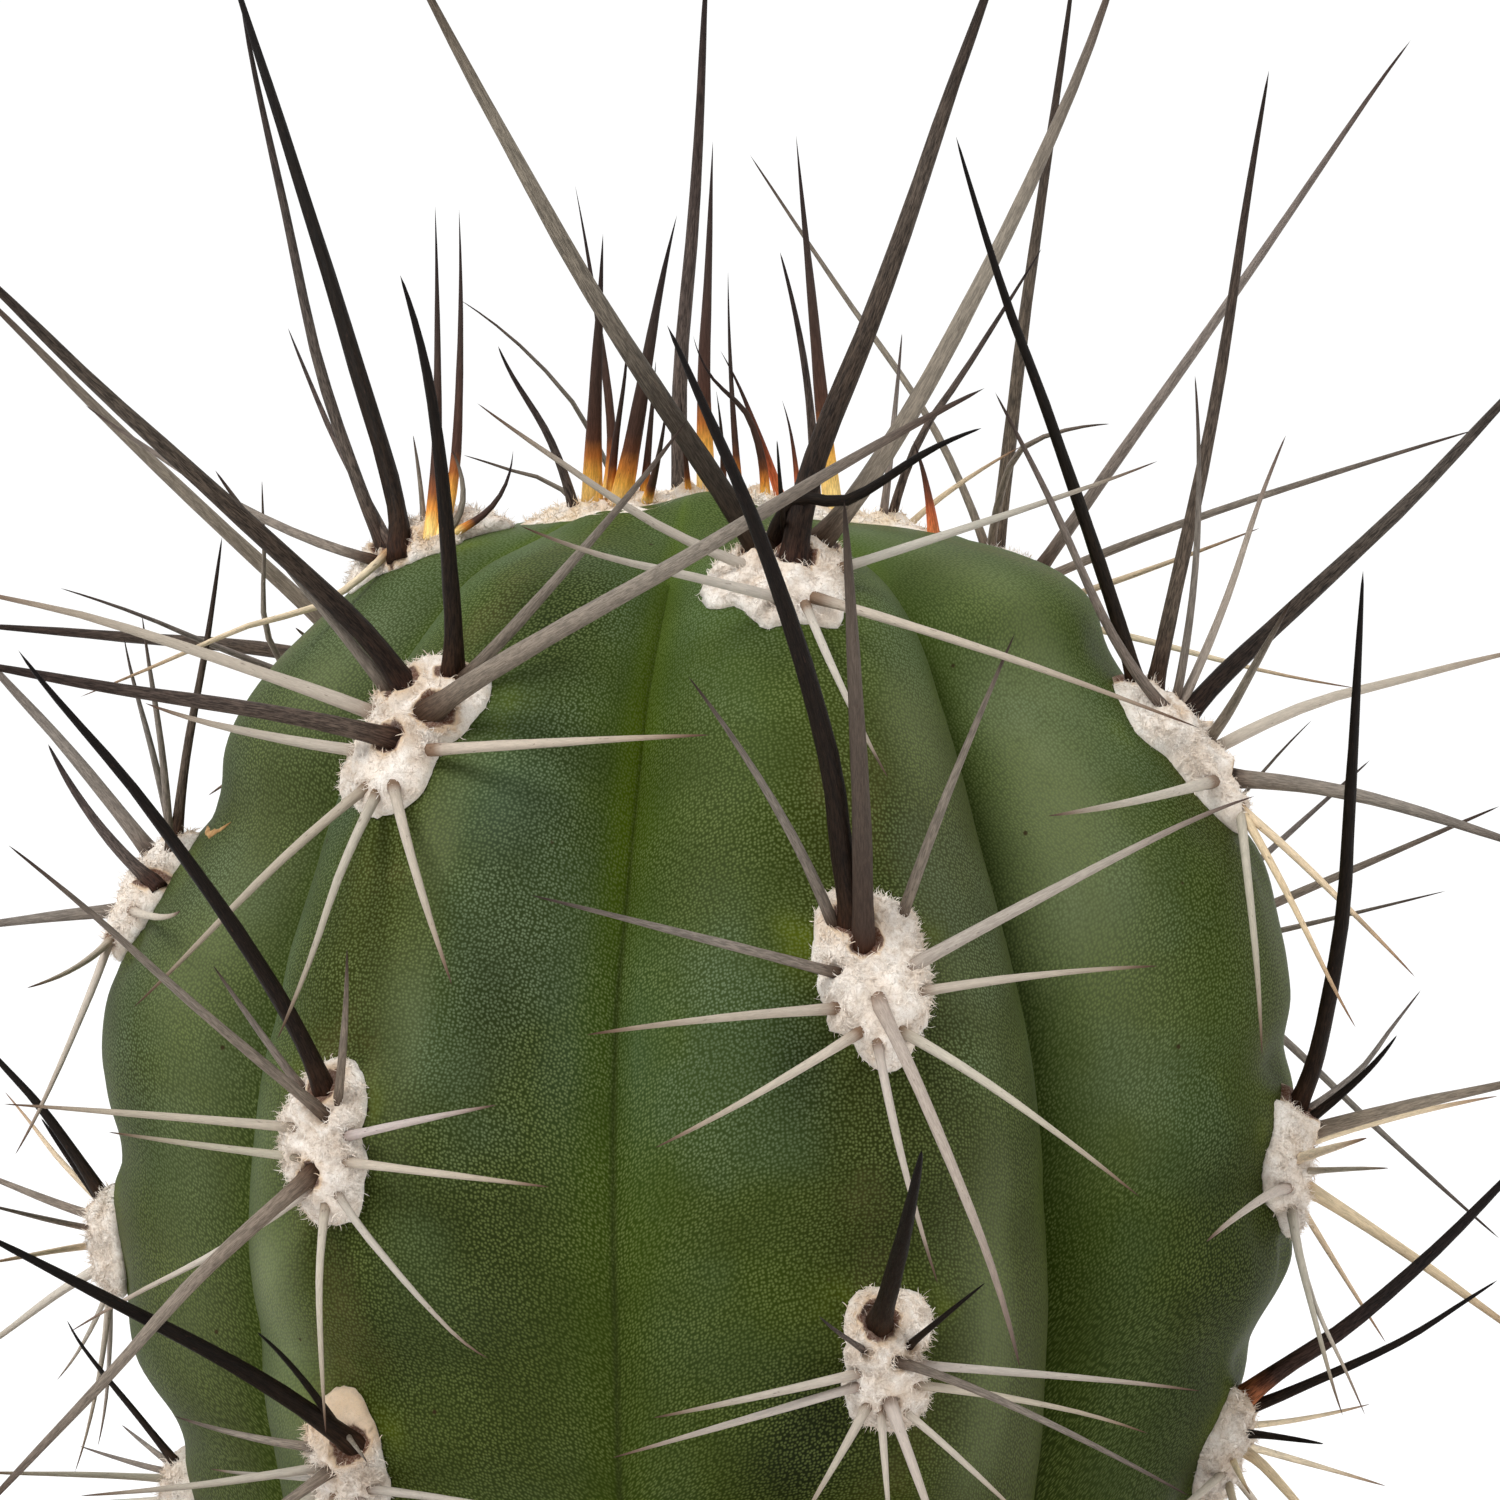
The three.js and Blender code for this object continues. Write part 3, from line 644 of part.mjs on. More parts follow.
    spines: [
      [4, 0.68, 1.08, 29.85, 128.49, 7.92, 45.96, 145.49, 12.78, 54.7, 156.19],
      [4, 0.5, 0.76, 29.86, 128.58, 0.93, 48.68, 135.29],
      [4, 0.43, 0.2, 29.97, 126.8, -8.82, 37.34, 120.7, -13.92, 41.01, 115.91],
      [3, 0.38, 1.3, 29.7, 129.18, 4.33, 33.95, 137.19, 5.94, 35.62, 142.44],
      [3, 0.36, -0.52, 29.73, 128.27, -8.56, 34.84, 133.72],
      [3, 0.43, -0.71, 29.73, 127.62, -9.05, 33.69, 129.64, -14.23, 35.15, 131.46],
      [3, 0.41, 2.27, 29.66, 127.76, 15.19, 34.04, 132.28],
      [3, 0.38, -0.76, 29.75, 126.94, -11.29, 36.8, 126.73],
      [3, 0.36, 2.34, 29.68, 126.82, 15.77, 33.48, 125.68],
      [3, 0.33, -0.23, 29.85, 125.32, -5.69, 33.64, 119.74, -8.65, 35.08, 115.69],
      [3, 0.38, 2.01, 29.77, 125.61, 13.32, 34.19, 116.72],
      [3, 0.35, 0.78, 29.88, 124.77, 0.74, 33.61, 114.68],
    ],
  },
  {
    name: "areole_F6", at: [0.99, 28.45, 112.5], out: [0.0322, 0.9991, 0.0285], up: [-0.0009, -0.0285, 0.9996], pad: [2.5, 3.5, 1.6],
    spines: [
      [4, 0.6, 0.72, 29.57, 113.93, -5.46, 42.23, 127.35, -8.33, 49.41, 136.12],
      [4, 0.47, 1.36, 29.55, 113.91, 7.71, 47.93, 126.04],
      [4, 0.42, 0.42, 29.66, 112.33, -5.06, 39.46, 107.49, -9.47, 46.61, 105.12],
      [3, 0.36, 0.54, 29.44, 114.62, -2.82, 34.37, 125.77],
      [3, 0.35, 1.85, 29.39, 114.39, 5.76, 33.7, 120.15, 8.04, 35.65, 124.04],
      [3, 0.42, -0.42, 29.44, 113.37, -7.86, 32.78, 117.08, -13.3, 35.59, 118.96],
      [3, 0.39, 2.43, 29.35, 113.42, 10, 31.34, 116.45, 15.02, 33.32, 119.05],
      [3, 0.39, -0.52, 29.46, 112.21, -11.39, 34.78, 110.74],
      [3, 0.37, 2.53, 29.37, 112.04, 13.87, 32.5, 109.59],
      [3, 0.37, -0.25, 29.51, 111.27, -10.66, 34.78, 104.03],
      [3, 0.34, 2, 29.47, 110.82, 9.34, 35.67, 102.18],
      [3, 0.35, 0.43, 29.56, 110.5, -2.86, 34.09, 102.24],
    ],
  },
  {
    name: "areole_G1", at: [-20.51, 18.01, 196], out: [-0.6458, 0.5567, 0.5226], up: [0.3958, -0.3412, 0.8526], pad: [3.6, 4.9, 1.9],
    spines: [
      [4, 0.75, -20.58, 19.77, 196.46, -45.7, 16.6, 221.63],
      [4, 0.75, -20.58, 19.77, 196.46, -27.1, 20.92, 197.75, -47.04, 24.1, 199.1],
      [3, 0.35, -21.09, 20.7, 194.33, -38.84, 8.57, 202.73],
      [3, 0.31, -23.38, 16.83, 194.94, -26.59, 14.61, 198.91, -26.65, 10.4, 209.18],
      [4, 0.53, -21.52, 19.29, 196.02, -30.5, 32.4, 189.54],
      [3, 0.36, -22.53, 16.8, 196.69, -26.83, 12.33, 197.4],
      [3, 0.35, -19.43, 19.9, 197.25, -14.74, 28.74, 201.96],
      [3, 0.39, -23.08, 18.27, 194.63, -30.71, 16.45, 189.06],
      [3, 0.41, -19.34, 19.66, 197.64, -13.25, 25.69, 201.98, -8.94, 28.86, 204.13],
      [3, 0.36, -21.99, 16.61, 197.62, -24.83, 12.19, 199.98],
      [3, 0.35, -19.78, 20.32, 196.34, -15.14, 32.5, 198.03],
      [3, 0.33, -22.9, 18.99, 194.19, -29.89, 20.14, 186.88],
      [3, 0.36, -21.21, 20.5, 194.58, -22.24, 32.95, 187.68],
    ],
  },
  {
    name: "areole_G2", at: [-26.28, 23.5, 174], out: [-0.7471, 0.6598, 0.0802], up: [0.0601, -0.0531, 0.9968], pad: [2.4, 3.6, 1.6],
    spines: [
      [4, 0.79, -26.76, 24.54, 175.33, -23.39, 35.07, 188.28, -21.29, 43.3, 197.01],
      [4, 0.54, -26.7, 24.63, 175.17, -26.87, 41.72, 185.95],
      [4, 0.51, -27.33, 24.21, 173.49, -31.63, 23.57, 158.73],
      [3, 0.37, -26.74, 24.28, 176.24, -33.92, 31.82, 181.74],
      [3, 0.34, -26.5, 24.55, 176.07, -29.33, 34.02, 187.81],
      [3, 0.38, -27.6, 23.32, 175.71, -33.03, 18.41, 183.9],
      [3, 0.37, -26.06, 25.09, 175.04, -23.65, 34.02, 179.64, -21.09, 39.03, 182.23],
      [3, 0.35, -27.99, 23.08, 173.5, -36.45, 15.7, 170.6],
      [3, 0.38, -26.09, 25.24, 173.45, -20.98, 34.12, 170.72, -17.05, 38.75, 168.8],
      [3, 0.37, -27.6, 23.79, 172.11, -35.3, 23.17, 161.11],
      [3, 0.39, -26.54, 24.93, 172.33, -26.19, 34.38, 163.15],
      [3, 0.33, -27.12, 24.38, 171.89, -30.2, 28.19, 160.35],
    ],
  },
  {
    name: "areole_G3", at: [-23.89, 21.69, 155], out: [-0.7092, 0.6402, -0.2952], up: [-0.2191, 0.1978, 0.9554], pad: [2.5, 3.6, 1.6],
    spines: [
      [4, 0.72, -24.75, 22.99, 155.97, -39.32, 43.01, 157.45],
      [4, 0.56, -24.7, 23.02, 155.93, -31.55, 36.04, 160.53, -34.58, 44.42, 163.01],
      [4, 0.53, -24.71, 22.24, 154.04, -30.65, 23.65, 138.07, -33.57, 24.24, 128.26],
      [3, 0.33, -25.32, 22.56, 156.8, -31.66, 25.62, 164, -34.84, 27.12, 168.92],
      [3, 0.37, -24.66, 23.22, 156.68, -27.32, 29.86, 161.62, -28.66, 33.29, 165.33],
      [3, 0.41, -25.73, 21.62, 155.95, -36.22, 20.74, 159.35],
      [3, 0.41, -23.59, 23.52, 154.99, -19.41, 38.42, 154.73],
      [3, 0.38, -25.11, 21.13, 153.38, -28.93, 16.46, 148.01, -31.08, 12.96, 145.43],
      [3, 0.37, -23.42, 23.28, 154.05, -16.86, 35.11, 148.61],
      [3, 0.36, -24.91, 21.24, 153.06, -33.08, 15.81, 140.57],
      [3, 0.35, -23.77, 22.38, 152.7, -22.15, 25.09, 144, -20.2, 26.32, 138.94],
      [3, 0.35, -24.41, 21.64, 152.61, -25.85, 19.7, 142.81],
    ],
  },
  {
    name: "areole_G4", at: [-21.44, 19.73, 139], out: [-0.737, 0.6759, -0.0037], up: [-0.0027, 0.0025, 1], pad: [2.5, 3.6, 1.6],
    spines: [
      [4, 0.72, -22.14, 20.68, 140.43, -29.72, 32.95, 149.97, -34.64, 39.43, 156.43],
      [4, 0.5, -21.95, 20.88, 140.19, -26.55, 34.43, 147.91, -28.69, 42.87, 152.31],
      [4, 0.48, -22.29, 20.6, 138.36, -33.06, 32.51, 120.9],
      [3, 0.38, -22.08, 20.59, 141.18, -26.21, 26.23, 151.38],
      [3, 0.37, -21.58, 21.09, 140.76, -19.54, 28.42, 149.84],
      [3, 0.39, -23.14, 19.31, 139.61, -30.58, 14.98, 141.99, -34.53, 11.68, 143.47],
      [3, 0.37, -21.21, 21.42, 139.83, -15.9, 35.44, 145.54],
      [3, 0.37, -23.16, 19.28, 138.54, -34.83, 14.31, 136.1],
      [3, 0.37, -21.13, 21.49, 138.67, -16.47, 32.56, 136.99],
      [3, 0.33, -23, 19.48, 137.71, -30.02, 17.52, 132.83, -34.12, 15.48, 130.21],
      [3, 0.38, -21.47, 21.17, 137.39, -20.61, 27.95, 131.79, -19.57, 31.47, 127.96],
      [3, 0.32, -22.35, 20.27, 136.81, -25.54, 21.41, 129.63, -26.66, 21.9, 125.02],
      [3, 0.28, -22.31, 20.34, 141.19, -26.07, 23.22, 145.64],
    ],
  },
  {
    name: "areole_G5", at: [-20.98, 19.54, 124], out: [-0.7321, 0.6802, 0.0382], up: [0.028, -0.026, 0.9993], pad: [2.6, 3.5, 1.6],
    spines: [
      [4, 0.69, -22.33, 19.75, 124.62, -38.15, 14.13, 126.55, -49.3, 10.18, 128.93],
      [4, 0.45, -21.46, 20.64, 125.29, -27.38, 34.61, 135.24, -29.58, 43.75, 140.75],
      [4, 0.44, -21.53, 20.74, 123.67, -24.17, 31.36, 117.22, -25.32, 37.48, 112.82],
      [3, 0.33, -22.2, 19.62, 125.93, -30.51, 19.65, 136.32],
      [3, 0.33, -21.14, 20.77, 125.93, -22.63, 28.64, 134.6],
      [3, 0.42, -22.58, 19.18, 125.2, -29.7, 16.73, 129.12, -33.33, 14.77, 132.11],
      [3, 0.43, -20.62, 21.3, 124.68, -17.49, 29.79, 127.86, -15.78, 36.25, 129.39],
      [3, 0.34, -22.76, 19.04, 123.65, -35.04, 15.3, 121.88],
      [3, 0.37, -20.62, 21.36, 123.61, -15.68, 31.67, 121.53],
      [3, 0.34, -22.54, 19.41, 122.53, -31.27, 16.78, 115.08],
      [3, 0.34, -21.21, 20.89, 122.19, -19.86, 29.42, 110.53],
      [3, 0.34, -22.01, 20.08, 121.91, -24.74, 21.61, 116.6, -26.33, 21.75, 113.26],
    ],
  },
  {
    name: "areole_G6", at: [-20.65, 19.47, 109.5], out: [-0.7281, 0.6849, 0.0275], up: [0.02, -0.0188, 0.9996], pad: [2.4, 3.6, 1.6],
    spines: [
      [4, 0.61, -21.29, 20.4, 111, -28.07, 33, 122.4, -32.57, 39.9, 129.68],
      [4, 0.47, -21.89, 19.79, 110.55, -36.63, 23.23, 116.08, -45.68, 24.62, 119.19],
      [4, 0.41, -21.01, 20.78, 109.8, -24.68, 35.82, 108.79],
      [3, 0.36, -21.28, 20.22, 111.78, -24.29, 24.23, 122.72],
      [3, 0.33, -21.75, 19.72, 111.61, -28.03, 20.39, 121],
      [3, 0.39, -22.28, 19.12, 110.42, -32.63, 14.04, 115.19],
      [3, 0.41, -20.39, 21.13, 110.33, -15.96, 27.85, 113.92, -13.17, 33.22, 115.67],
      [3, 0.37, -22.36, 19.08, 109.04, -32.34, 13.58, 106.73],
      [3, 0.35, -20.36, 21.2, 109.11, -15, 33.75, 106.82],
      [3, 0.38, -22.11, 19.45, 107.87, -30.2, 19.22, 101.87],
      [3, 0.34, -20.58, 21.04, 108.19, -19.5, 27.01, 104.88, -18.52, 30.16, 102.36],
      [3, 0.34, -20.78, 20.87, 107.77, -20.99, 26.83, 102.64],
      [3, 0.28, -21.39, 20.12, 111.78, -25.27, 23.6, 118.42],
    ],
  },
];

// ---- crown: the young felt round the growing tip and its new spines ----
const CROWN_SPINES = [
  [4, 0.41, -7.2, -2.4, 208.09, -11.54, -5.46, 218.05],
  [4, 0.82, -6.2, -2, 208.26, -5.4, -6.44, 224.62],
  [4, 0.48, -5.5, 1.5, 208.38, -5.98, 4.14, 219.17, -7.38, 6.24, 227.16],
  [4, 0.44, -5.2, -1.6, 208.41, -4.01, -4.46, 218.94],
  [4, 0.88, -4.6, -2.2, 208.45, -1.12, -6.44, 225.66],
  [4, 0.41, -3.2, -1.8, 208.59, -2.37, -5.24, 217.23],
  [4, 0.41, -2.9, -3.4, 209.03, -1.63, -8.6, 215.37],
  [4, 0.75, 0.5, 0.6, 208.74, 0.9, 3.13, 229.87],
  [4, 0.41, 4, 0, 208.57, 0.74, 0.02, 216.09, -0.26, 0.05, 218.45],
  [4, 0.41, 5, 1.5, 208.44, 1.32, 1.95, 217.48],
  [4, 0.34, 2.5, 0.5, 208.68, 1.79, 3.47, 222.17],
  [4, 0.76, 8, 0.5, 208.01, 5.82, 1.45, 230.18],
  [4, 0.45, 7, 2, 208.14, 6.43, 2.36, 215.98, 4.88, 2.65, 223.26],
  [3, 0.33, 11, 2, 207.31, 12.18, 4.2, 218.39],
  [3, 0.36, 11.5, 3.5, 207.09, 15.82, 5.42, 215.82, 20.67, 7.3, 223.37],
  [4, 0.48, 14, 0.5, 206.49, 12.76, 0.59, 212.22],
  [3, 0.27, 12.5, 4, 206.77, 19.28, 4.48, 211.56],
  [3, 0.26, -0.5, 0.2, 208.75, -0.99, -4.02, 215.3],
  [3, 0.26, 1.5, 0.6, 208.72, 1.12, -4.23, 215.43],
  [3, 0.27, 6, 0, 208.34, 4.99, -0.36, 214.64],
];
// [azimuth, how far the felt reaches from the axis]
const CROWN_REACH = [
  [-180, 11], [-131, 12], [-88, 10], [-70, 9.8], [-55, 8.6], [-42, 7.6], [-30, 7.4],
  [-20, 6.2], [-8, 4], [5, 2.6], [25, 2.4], [42, 3.4], [60, 5], [74, 8], [86, 13],
  [95, 15.6], [110, 15.2], [125, 13.5], [150, 11.5], [180, 11],
];
const CROWN_THICK = 1.5;

// ---- curves ----
// Monotone cubic through the points of a profile.
function profile(table) {
  const x = table.map((p) => p[0]),
    y = table.map((p) => p[1]),
    n = x.length,
    h = [],
    m = [];
  for (let i = 0; i < n - 1; i++) {
    h.push(x[i + 1] - x[i]);
    m.push((y[i + 1] - y[i]) / h[i]);
  }
  const end = (h0, h1, m0, m1) => {
    const d = ((2 * h0 + h1) * m0 - h0 * m1) / (h0 + h1);
    if (Math.sign(d) !== Math.sign(m0)) return 0;
    if (Math.sign(m0) !== Math.sign(m1) && Math.abs(d) > 3 * Math.abs(m0))
      return 3 * m0;
    return d;
  };
  const d = [end(h[0], h[1], m[0], m[1])];
  for (let i = 1; i < n - 1; i++) {
    if (m[i - 1] * m[i] <= 0) d.push(0);
    else {
      const a = 2 * h[i] + h[i - 1],
        b = h[i] + 2 * h[i - 1];
      d.push((a + b) / (a / m[i - 1] + b / m[i]));
    }
  }
  d.push(end(h[n - 2], h[n - 3], m[n - 2], m[n - 3]));
  return (v) => {
    v = Math.min(Math.max(v, x[0]), x[n - 1]);
    let i = 0;
    while (i < n - 2 && v > x[i + 1]) i++;
    const t = (v - x[i]) / h[i],
      t2 = t * t,
      t3 = t2 * t;
    return (
      y[i] * (2 * t3 - 3 * t2 + 1) +
      h[i] * d[i] * (t3 - 2 * t2 + t) +
      y[i + 1] * (3 * t2 - 2 * t3) +
      h[i] * d[i + 1] * (t3 - t2)
    );
  };
}
const crestLeft = profile(CREST_LEFT),
  crestRight = profile(CREST_RIGHT),
  valley = profile(VALLEY),
  shallow = profile(SHALLOW);

function along(table, s) {
  if (s <= table[0][0]) return table[0][1];
  for (let i = 1; i < table.length; i++)
    if (s <= table[i][0]) {
      const [a, b] = [table[i - 1], table[i]];
      return a[1] + ((b[1] - a[1]) * (s - a[0])) / (b[0] - a[0]);
    }
  return table[table.length - 1][1];
}

const crestRadius = (r, s) =>
  r.right * crestRight(s) + (1 - r.right) * crestLeft(s);

// The crest swells under each areole and is creased above it.
function swell(name, s) {
  let v = 0;
  for (const c of AREOLE_DEPTH[name]) {
    if (c < 3) continue;
    v +=
      0.55 * Math.exp(-(((s - c - 6) / 4) ** 2)) -
      0.75 * Math.exp(-(((s - c + 6.2) / 2.2) ** 2));
  }
  return v * Math.min(1, Math.max(0, (s - 1) / 6));
}

// The stem's radius at an azimuth and a depth below the tip.
function stemRadius(azimuth, s) {
  const az = RIB.map((r) => along(r.azimuth, s));
  let t = azimuth;
  while (t < az[0]) t += 360;
  while (t >= az[0] + 360) t -= 360;
  let i = 0;
  while (i < RIBS - 1 && t > az[i + 1]) i++;
  const a0 = az[i],
    a1 = i === RIBS - 1 ? az[0] + 360 : az[i + 1],
    fold = a0 + (a1 - a0) * RIB[i].fold;
  let phi = (t - a0) / (fold - a0),
    rib = RIB[i];
  if (t > fold) {
    phi = (a1 - t) / (a1 - fold);
    rib = RIB[(i + 1) % RIBS];
  }
  phi = Math.min(1, Math.max(0, phi));
  const crest = crestRadius(rib, s);
  let low = valley(s);
  if (i === SHALLOW_FOLD)
    low += shallow(s) * ((crestLeft(s) + crestRight(s)) / 2 - low);
  return Math.max(
    0,
    low +
      (crest - low) * (1 - phi ** RIB_SHARPNESS) +
      swell(rib.name, s) * (1 - phi * phi) ** 1.5,
  );
}

// How far the flesh is raised at a place near the tip.
function mound(x, y) {
  return MOUNDS.reduce(
    (sum, [a, b, u, v, h]) =>
      sum + h * Math.exp(-(((x - a) / u) ** 2) - ((y - b) / v) ** 2),
    0,
  );
}

function stemPoint(azimuth, s, out = 0) {
  const r = stemRadius(azimuth, s) + out,
    a = THREE.MathUtils.degToRad(azimuth),
    x = r * Math.sin(a),
    y = -r * Math.cos(a);
  return new THREE.Vector3(x, y, STEM_TOP - s + mound(x, y));
}

function outsideStem(p) {
  const s = STEM_TOP - p.z + mound(p.x, p.y);
  if (s < 0) return true;
  return (
    Math.hypot(p.x, p.y) >
    stemRadius(THREE.MathUtils.radToDeg(Math.atan2(p.x, -p.y)), s)
  );
}

// The place on the stem under a point, along a direction that points outward.
function ontoStem(p, out) {
  let hi = 4,
    lo = -9;
  for (let i = 0; i < 26; i++) {
    const mid = (hi + lo) / 2;
    if (outsideStem(p.clone().addScaledVector(out, mid))) hi = mid;
    else lo = mid;
  }
  return p.clone().addScaledVector(out, (hi + lo) / 2);
}

// ---- solids ----
const wasm = await Module();
wasm.setup();

function geometryOf(points, faces) {
  const g = new THREE.BufferGeometry();
  g.setAttribute(
    "position",
    new THREE.Float32BufferAttribute(
      points.flatMap((p) => [p.x, p.y, p.z]),
      3,
    ),
  );
  g.setIndex(faces.flat());
  return g;
}

function solidOf(geometry) {
  const g = geometry.clone();
  g.deleteAttribute("normal");
  g.deleteAttribute("uv");
  const m = mergeVertices(g, 1e-3);
  return new wasm.Manifold(
    new wasm.Mesh({
      numProp: 3,
      vertProperties: new Float32Array(m.attributes.position.array),
      triVerts: new Uint32Array(m.index.array),
    }),
  );
}

function fromSolid(solid) {
  const m = solid.getMesh(),
    g = new THREE.BufferGeometry(),
    v = new Float32Array(m.numVert * 3);
  for (let i = 0; i < m.numVert; i++)
    v.set(m.vertProperties.subarray(i * m.numProp, i * m.numProp + 3), i * 3);
  g.setAttribute("position", new THREE.BufferAttribute(v, 3));
  g.setIndex(new THREE.BufferAttribute(new Uint32Array(m.triVerts), 1));
  return g;
}

// A body of rings from top to bottom, each a list of points, closed at both ends by a fan.
function loft(rings, top, bottom) {
  const points = [top],
    faces = [],
    n = rings[0].length;
  rings.forEach((ring) => points.push(...ring));
  points.push(bottom);
  const at = (r, i) => 1 + r * n + (i % n);
  for (let i = 0; i < n; i++) faces.push([0, at(0, i), at(0, i + 1)]);
  for (let r = 0; r < rings.length - 1; r++)
    for (let i = 0; i < n; i++)
      faces.push(
        [at(r, i), at(r + 1, i), at(r + 1, i + 1)],
        [at(r, i), at(r + 1, i + 1), at(r, i + 1)],
      );
  const last = rings.length - 1;
  for (let i = 0; i < n; i++)
    faces.push([points.length - 1, at(last, i + 1), at(last, i)]);
  return geometryOf(points, faces);
}

// The ribbed stem between two depths, grown outward by a clearance.
const SECTOR = [0, 0.4, 0.75, 1, 1.25, 1.6]; // crest to fold to the next crest
function stemGeometry(depths, out = 0, below = 0) {
  const rings = depths.map((s) => {
    const az = RIB.map((r) => along(r.azimuth, s)),
      ring = [];
    for (let i = 0; i < RIBS; i++) {
      const a0 = az[i],
        a1 = i === RIBS - 1 ? az[0] + 360 : az[i + 1],
        fold = a0 + (a1 - a0) * RIB[i].fold;
      for (const f of SECTOR)
        ring.push(
          stemPoint(f <= 1 ? a0 + (fold - a0) * f : fold + (a1 - fold) * (f - 1), s, out),
        );
    }
    return ring;
  });
  const first = depths[0],
    last = depths[depths.length - 1];
  return loft(
    rings,
    new THREE.Vector3(0, 0, first < 1 ? STEM_TOP + mound(0, 0) : STEM_TOP - first),
    new THREE.Vector3(0, 0, STEM_TOP - last - below),
  );
}

// A tapered spine of flat sides along a centre line that ends in a point.
function spineGeometry(sides, radius, line) {
  const rings = [],
    total = line.slice(1).reduce((t, p, i) => t + p.distanceTo(line[i]), 0);
  let done = 0,
    side = null;
  for (let i = 0; i < line.length - 1; i++) {
    const dir = line[i + 1].clone().sub(line[i]).normalize();
    if (i > 0) {
      done += line[i].distanceTo(line[i - 1]);
      dir.add(line[i].clone().sub(line[i - 1]).normalize()).normalize();
    }
    if (!side) {
      side = new THREE.Vector3(0, 0, 1).cross(dir);
      if (side.length() < 0.2) side = new THREE.Vector3(1, 0, 0).cross(dir);
    }
    side.addScaledVector(dir, -side.dot(dir)).normalize();
    const other = dir.clone().cross(side),
      f = done / total,
      shaft = sides > 3 ? 0.74 : 0.88,
      r = radius * SPINE_SWELL * (i === 0 ? shaft + 0.08 : shaft * (1 - f) ** 0.52),
      ring = [];
    for (let j = 0; j < sides; j++) {
      const a = (2 * Math.PI * j) / sides;
      ring.push(
        line[i]
          .clone()
          .addScaledVector(side, r * Math.cos(a))
          .addScaledVector(other, r * Math.sin(a)),
      );
    }
    rings.push(ring);
  }
  // faces turn outward when the rings run from the tip to the base
  rings.reverse();
  const points = [line[line.length - 1], ...rings.flat()],
    faces = [],
    n = sides,
    at = (r, i) => 1 + r * n + (i % n);
  for (let i = 0; i < n; i++) faces.push([0, at(0, i), at(0, i + 1)]);
  for (let r = 0; r < rings.length - 1; r++)
    for (let i = 0; i < n; i++)
      faces.push(
        [at(r, i), at(r + 1, i), at(r + 1, i + 1)],
        [at(r, i), at(r + 1, i + 1), at(r, i + 1)],
      );
  const last = rings.length - 1;
  for (let i = 1; i < n - 1; i++) faces.push([at(last, 0), at(last, i + 1), at(last, i)]);
  return geometryOf(points, faces);
}

// Spines joined to their felt: each is rooted a little nearer the felt's core.
function withSpines(solid, spines, core) {
  for (const [sides, radius, ...xyz] of spines) {
    const line = [];
    for (let i = 0; i < xyz.length; i += 3)
      line.push(new THREE.Vector3(xyz[i], xyz[i + 1], xyz[i + 2]));
    if (core) line[0].lerp(core, 0.4);
    else {
      // in the crown a foot stays just inside the felt
      const skin = ontoStem(line[0], new THREE.Vector3(0, 0, 1));
      line[0].z = Math.max(line[0].z, skin.z + GAP + 0.1);
    }
    solid = solid.add(solidOf(spineGeometry(sides, radius, line)));
  }
  return solid;
}

// A felt pad: an oval cushion whose underside follows the stem.
function padGeometry(at, out, up, [halfWidth, halfHeight, thick]) {
  const right = up.clone().cross(out).normalize(),
    n = 8,
    place = (x, y, lift) =>
      ontoStem(
        at.clone().addScaledVector(right, x).addScaledVector(up, y),
        out,
      ).addScaledVector(out, lift),
    ring = (share, lift) => {
      const list = [];
      for (let j = 0; j < n; j++) {
        const a = (2 * Math.PI * j) / n;
        list.push(
          place(halfWidth * share * Math.cos(a), halfHeight * share * Math.sin(a), lift),
        );
      }
      return list;
    };
  const rings = [ring(0.82, thick * 0.75), ring(1, GAP + 0.12)];
  return loft(rings, place(0, 0, thick), place(0, 0, GAP + 0.3));
}

// ---- the group ----
const root = new THREE.Group();
function add(name, geometry, color, roughness) {
  const mesh = new THREE.Mesh(
    geometry,
    new THREE.MeshStandardMaterial({ color, roughness, metalness: 0 }),
  );
  mesh.name = name;
  root.add(mesh);
  return mesh;
}

// stem
const STEM_DEPTHS = [
  0.1, 0.22, 0.4, 1.2, 2.4, 4, 6.5, 9.5, 13, 17, 21, 25.5, 30, 35, 40, 45, 50, 55, 61, 68, 76,
  85, 94, 103, 113, STEM_DEPTH - 2, STEM_DEPTH,
];
add("stem", stemGeometry(STEM_DEPTHS), "#47603a", 0.55);

// areoles: felt pad and spines grown together
for (const a of AREOLES) {
  const at = new THREE.Vector3(...a.at),
    out = new THREE.Vector3(...a.out).normalize(),
    up = new THREE.Vector3(...a.up);
  add(
    a.name,
    fromSolid(
      withSpines(
        solidOf(padGeometry(at, out, up, a.pad)),
        a.spines,
        at.clone().addScaledVector(out, 0.5 * a.pad[2]),
      ),
    ),
    "#d9d2c3",
    0.9,
  );
}

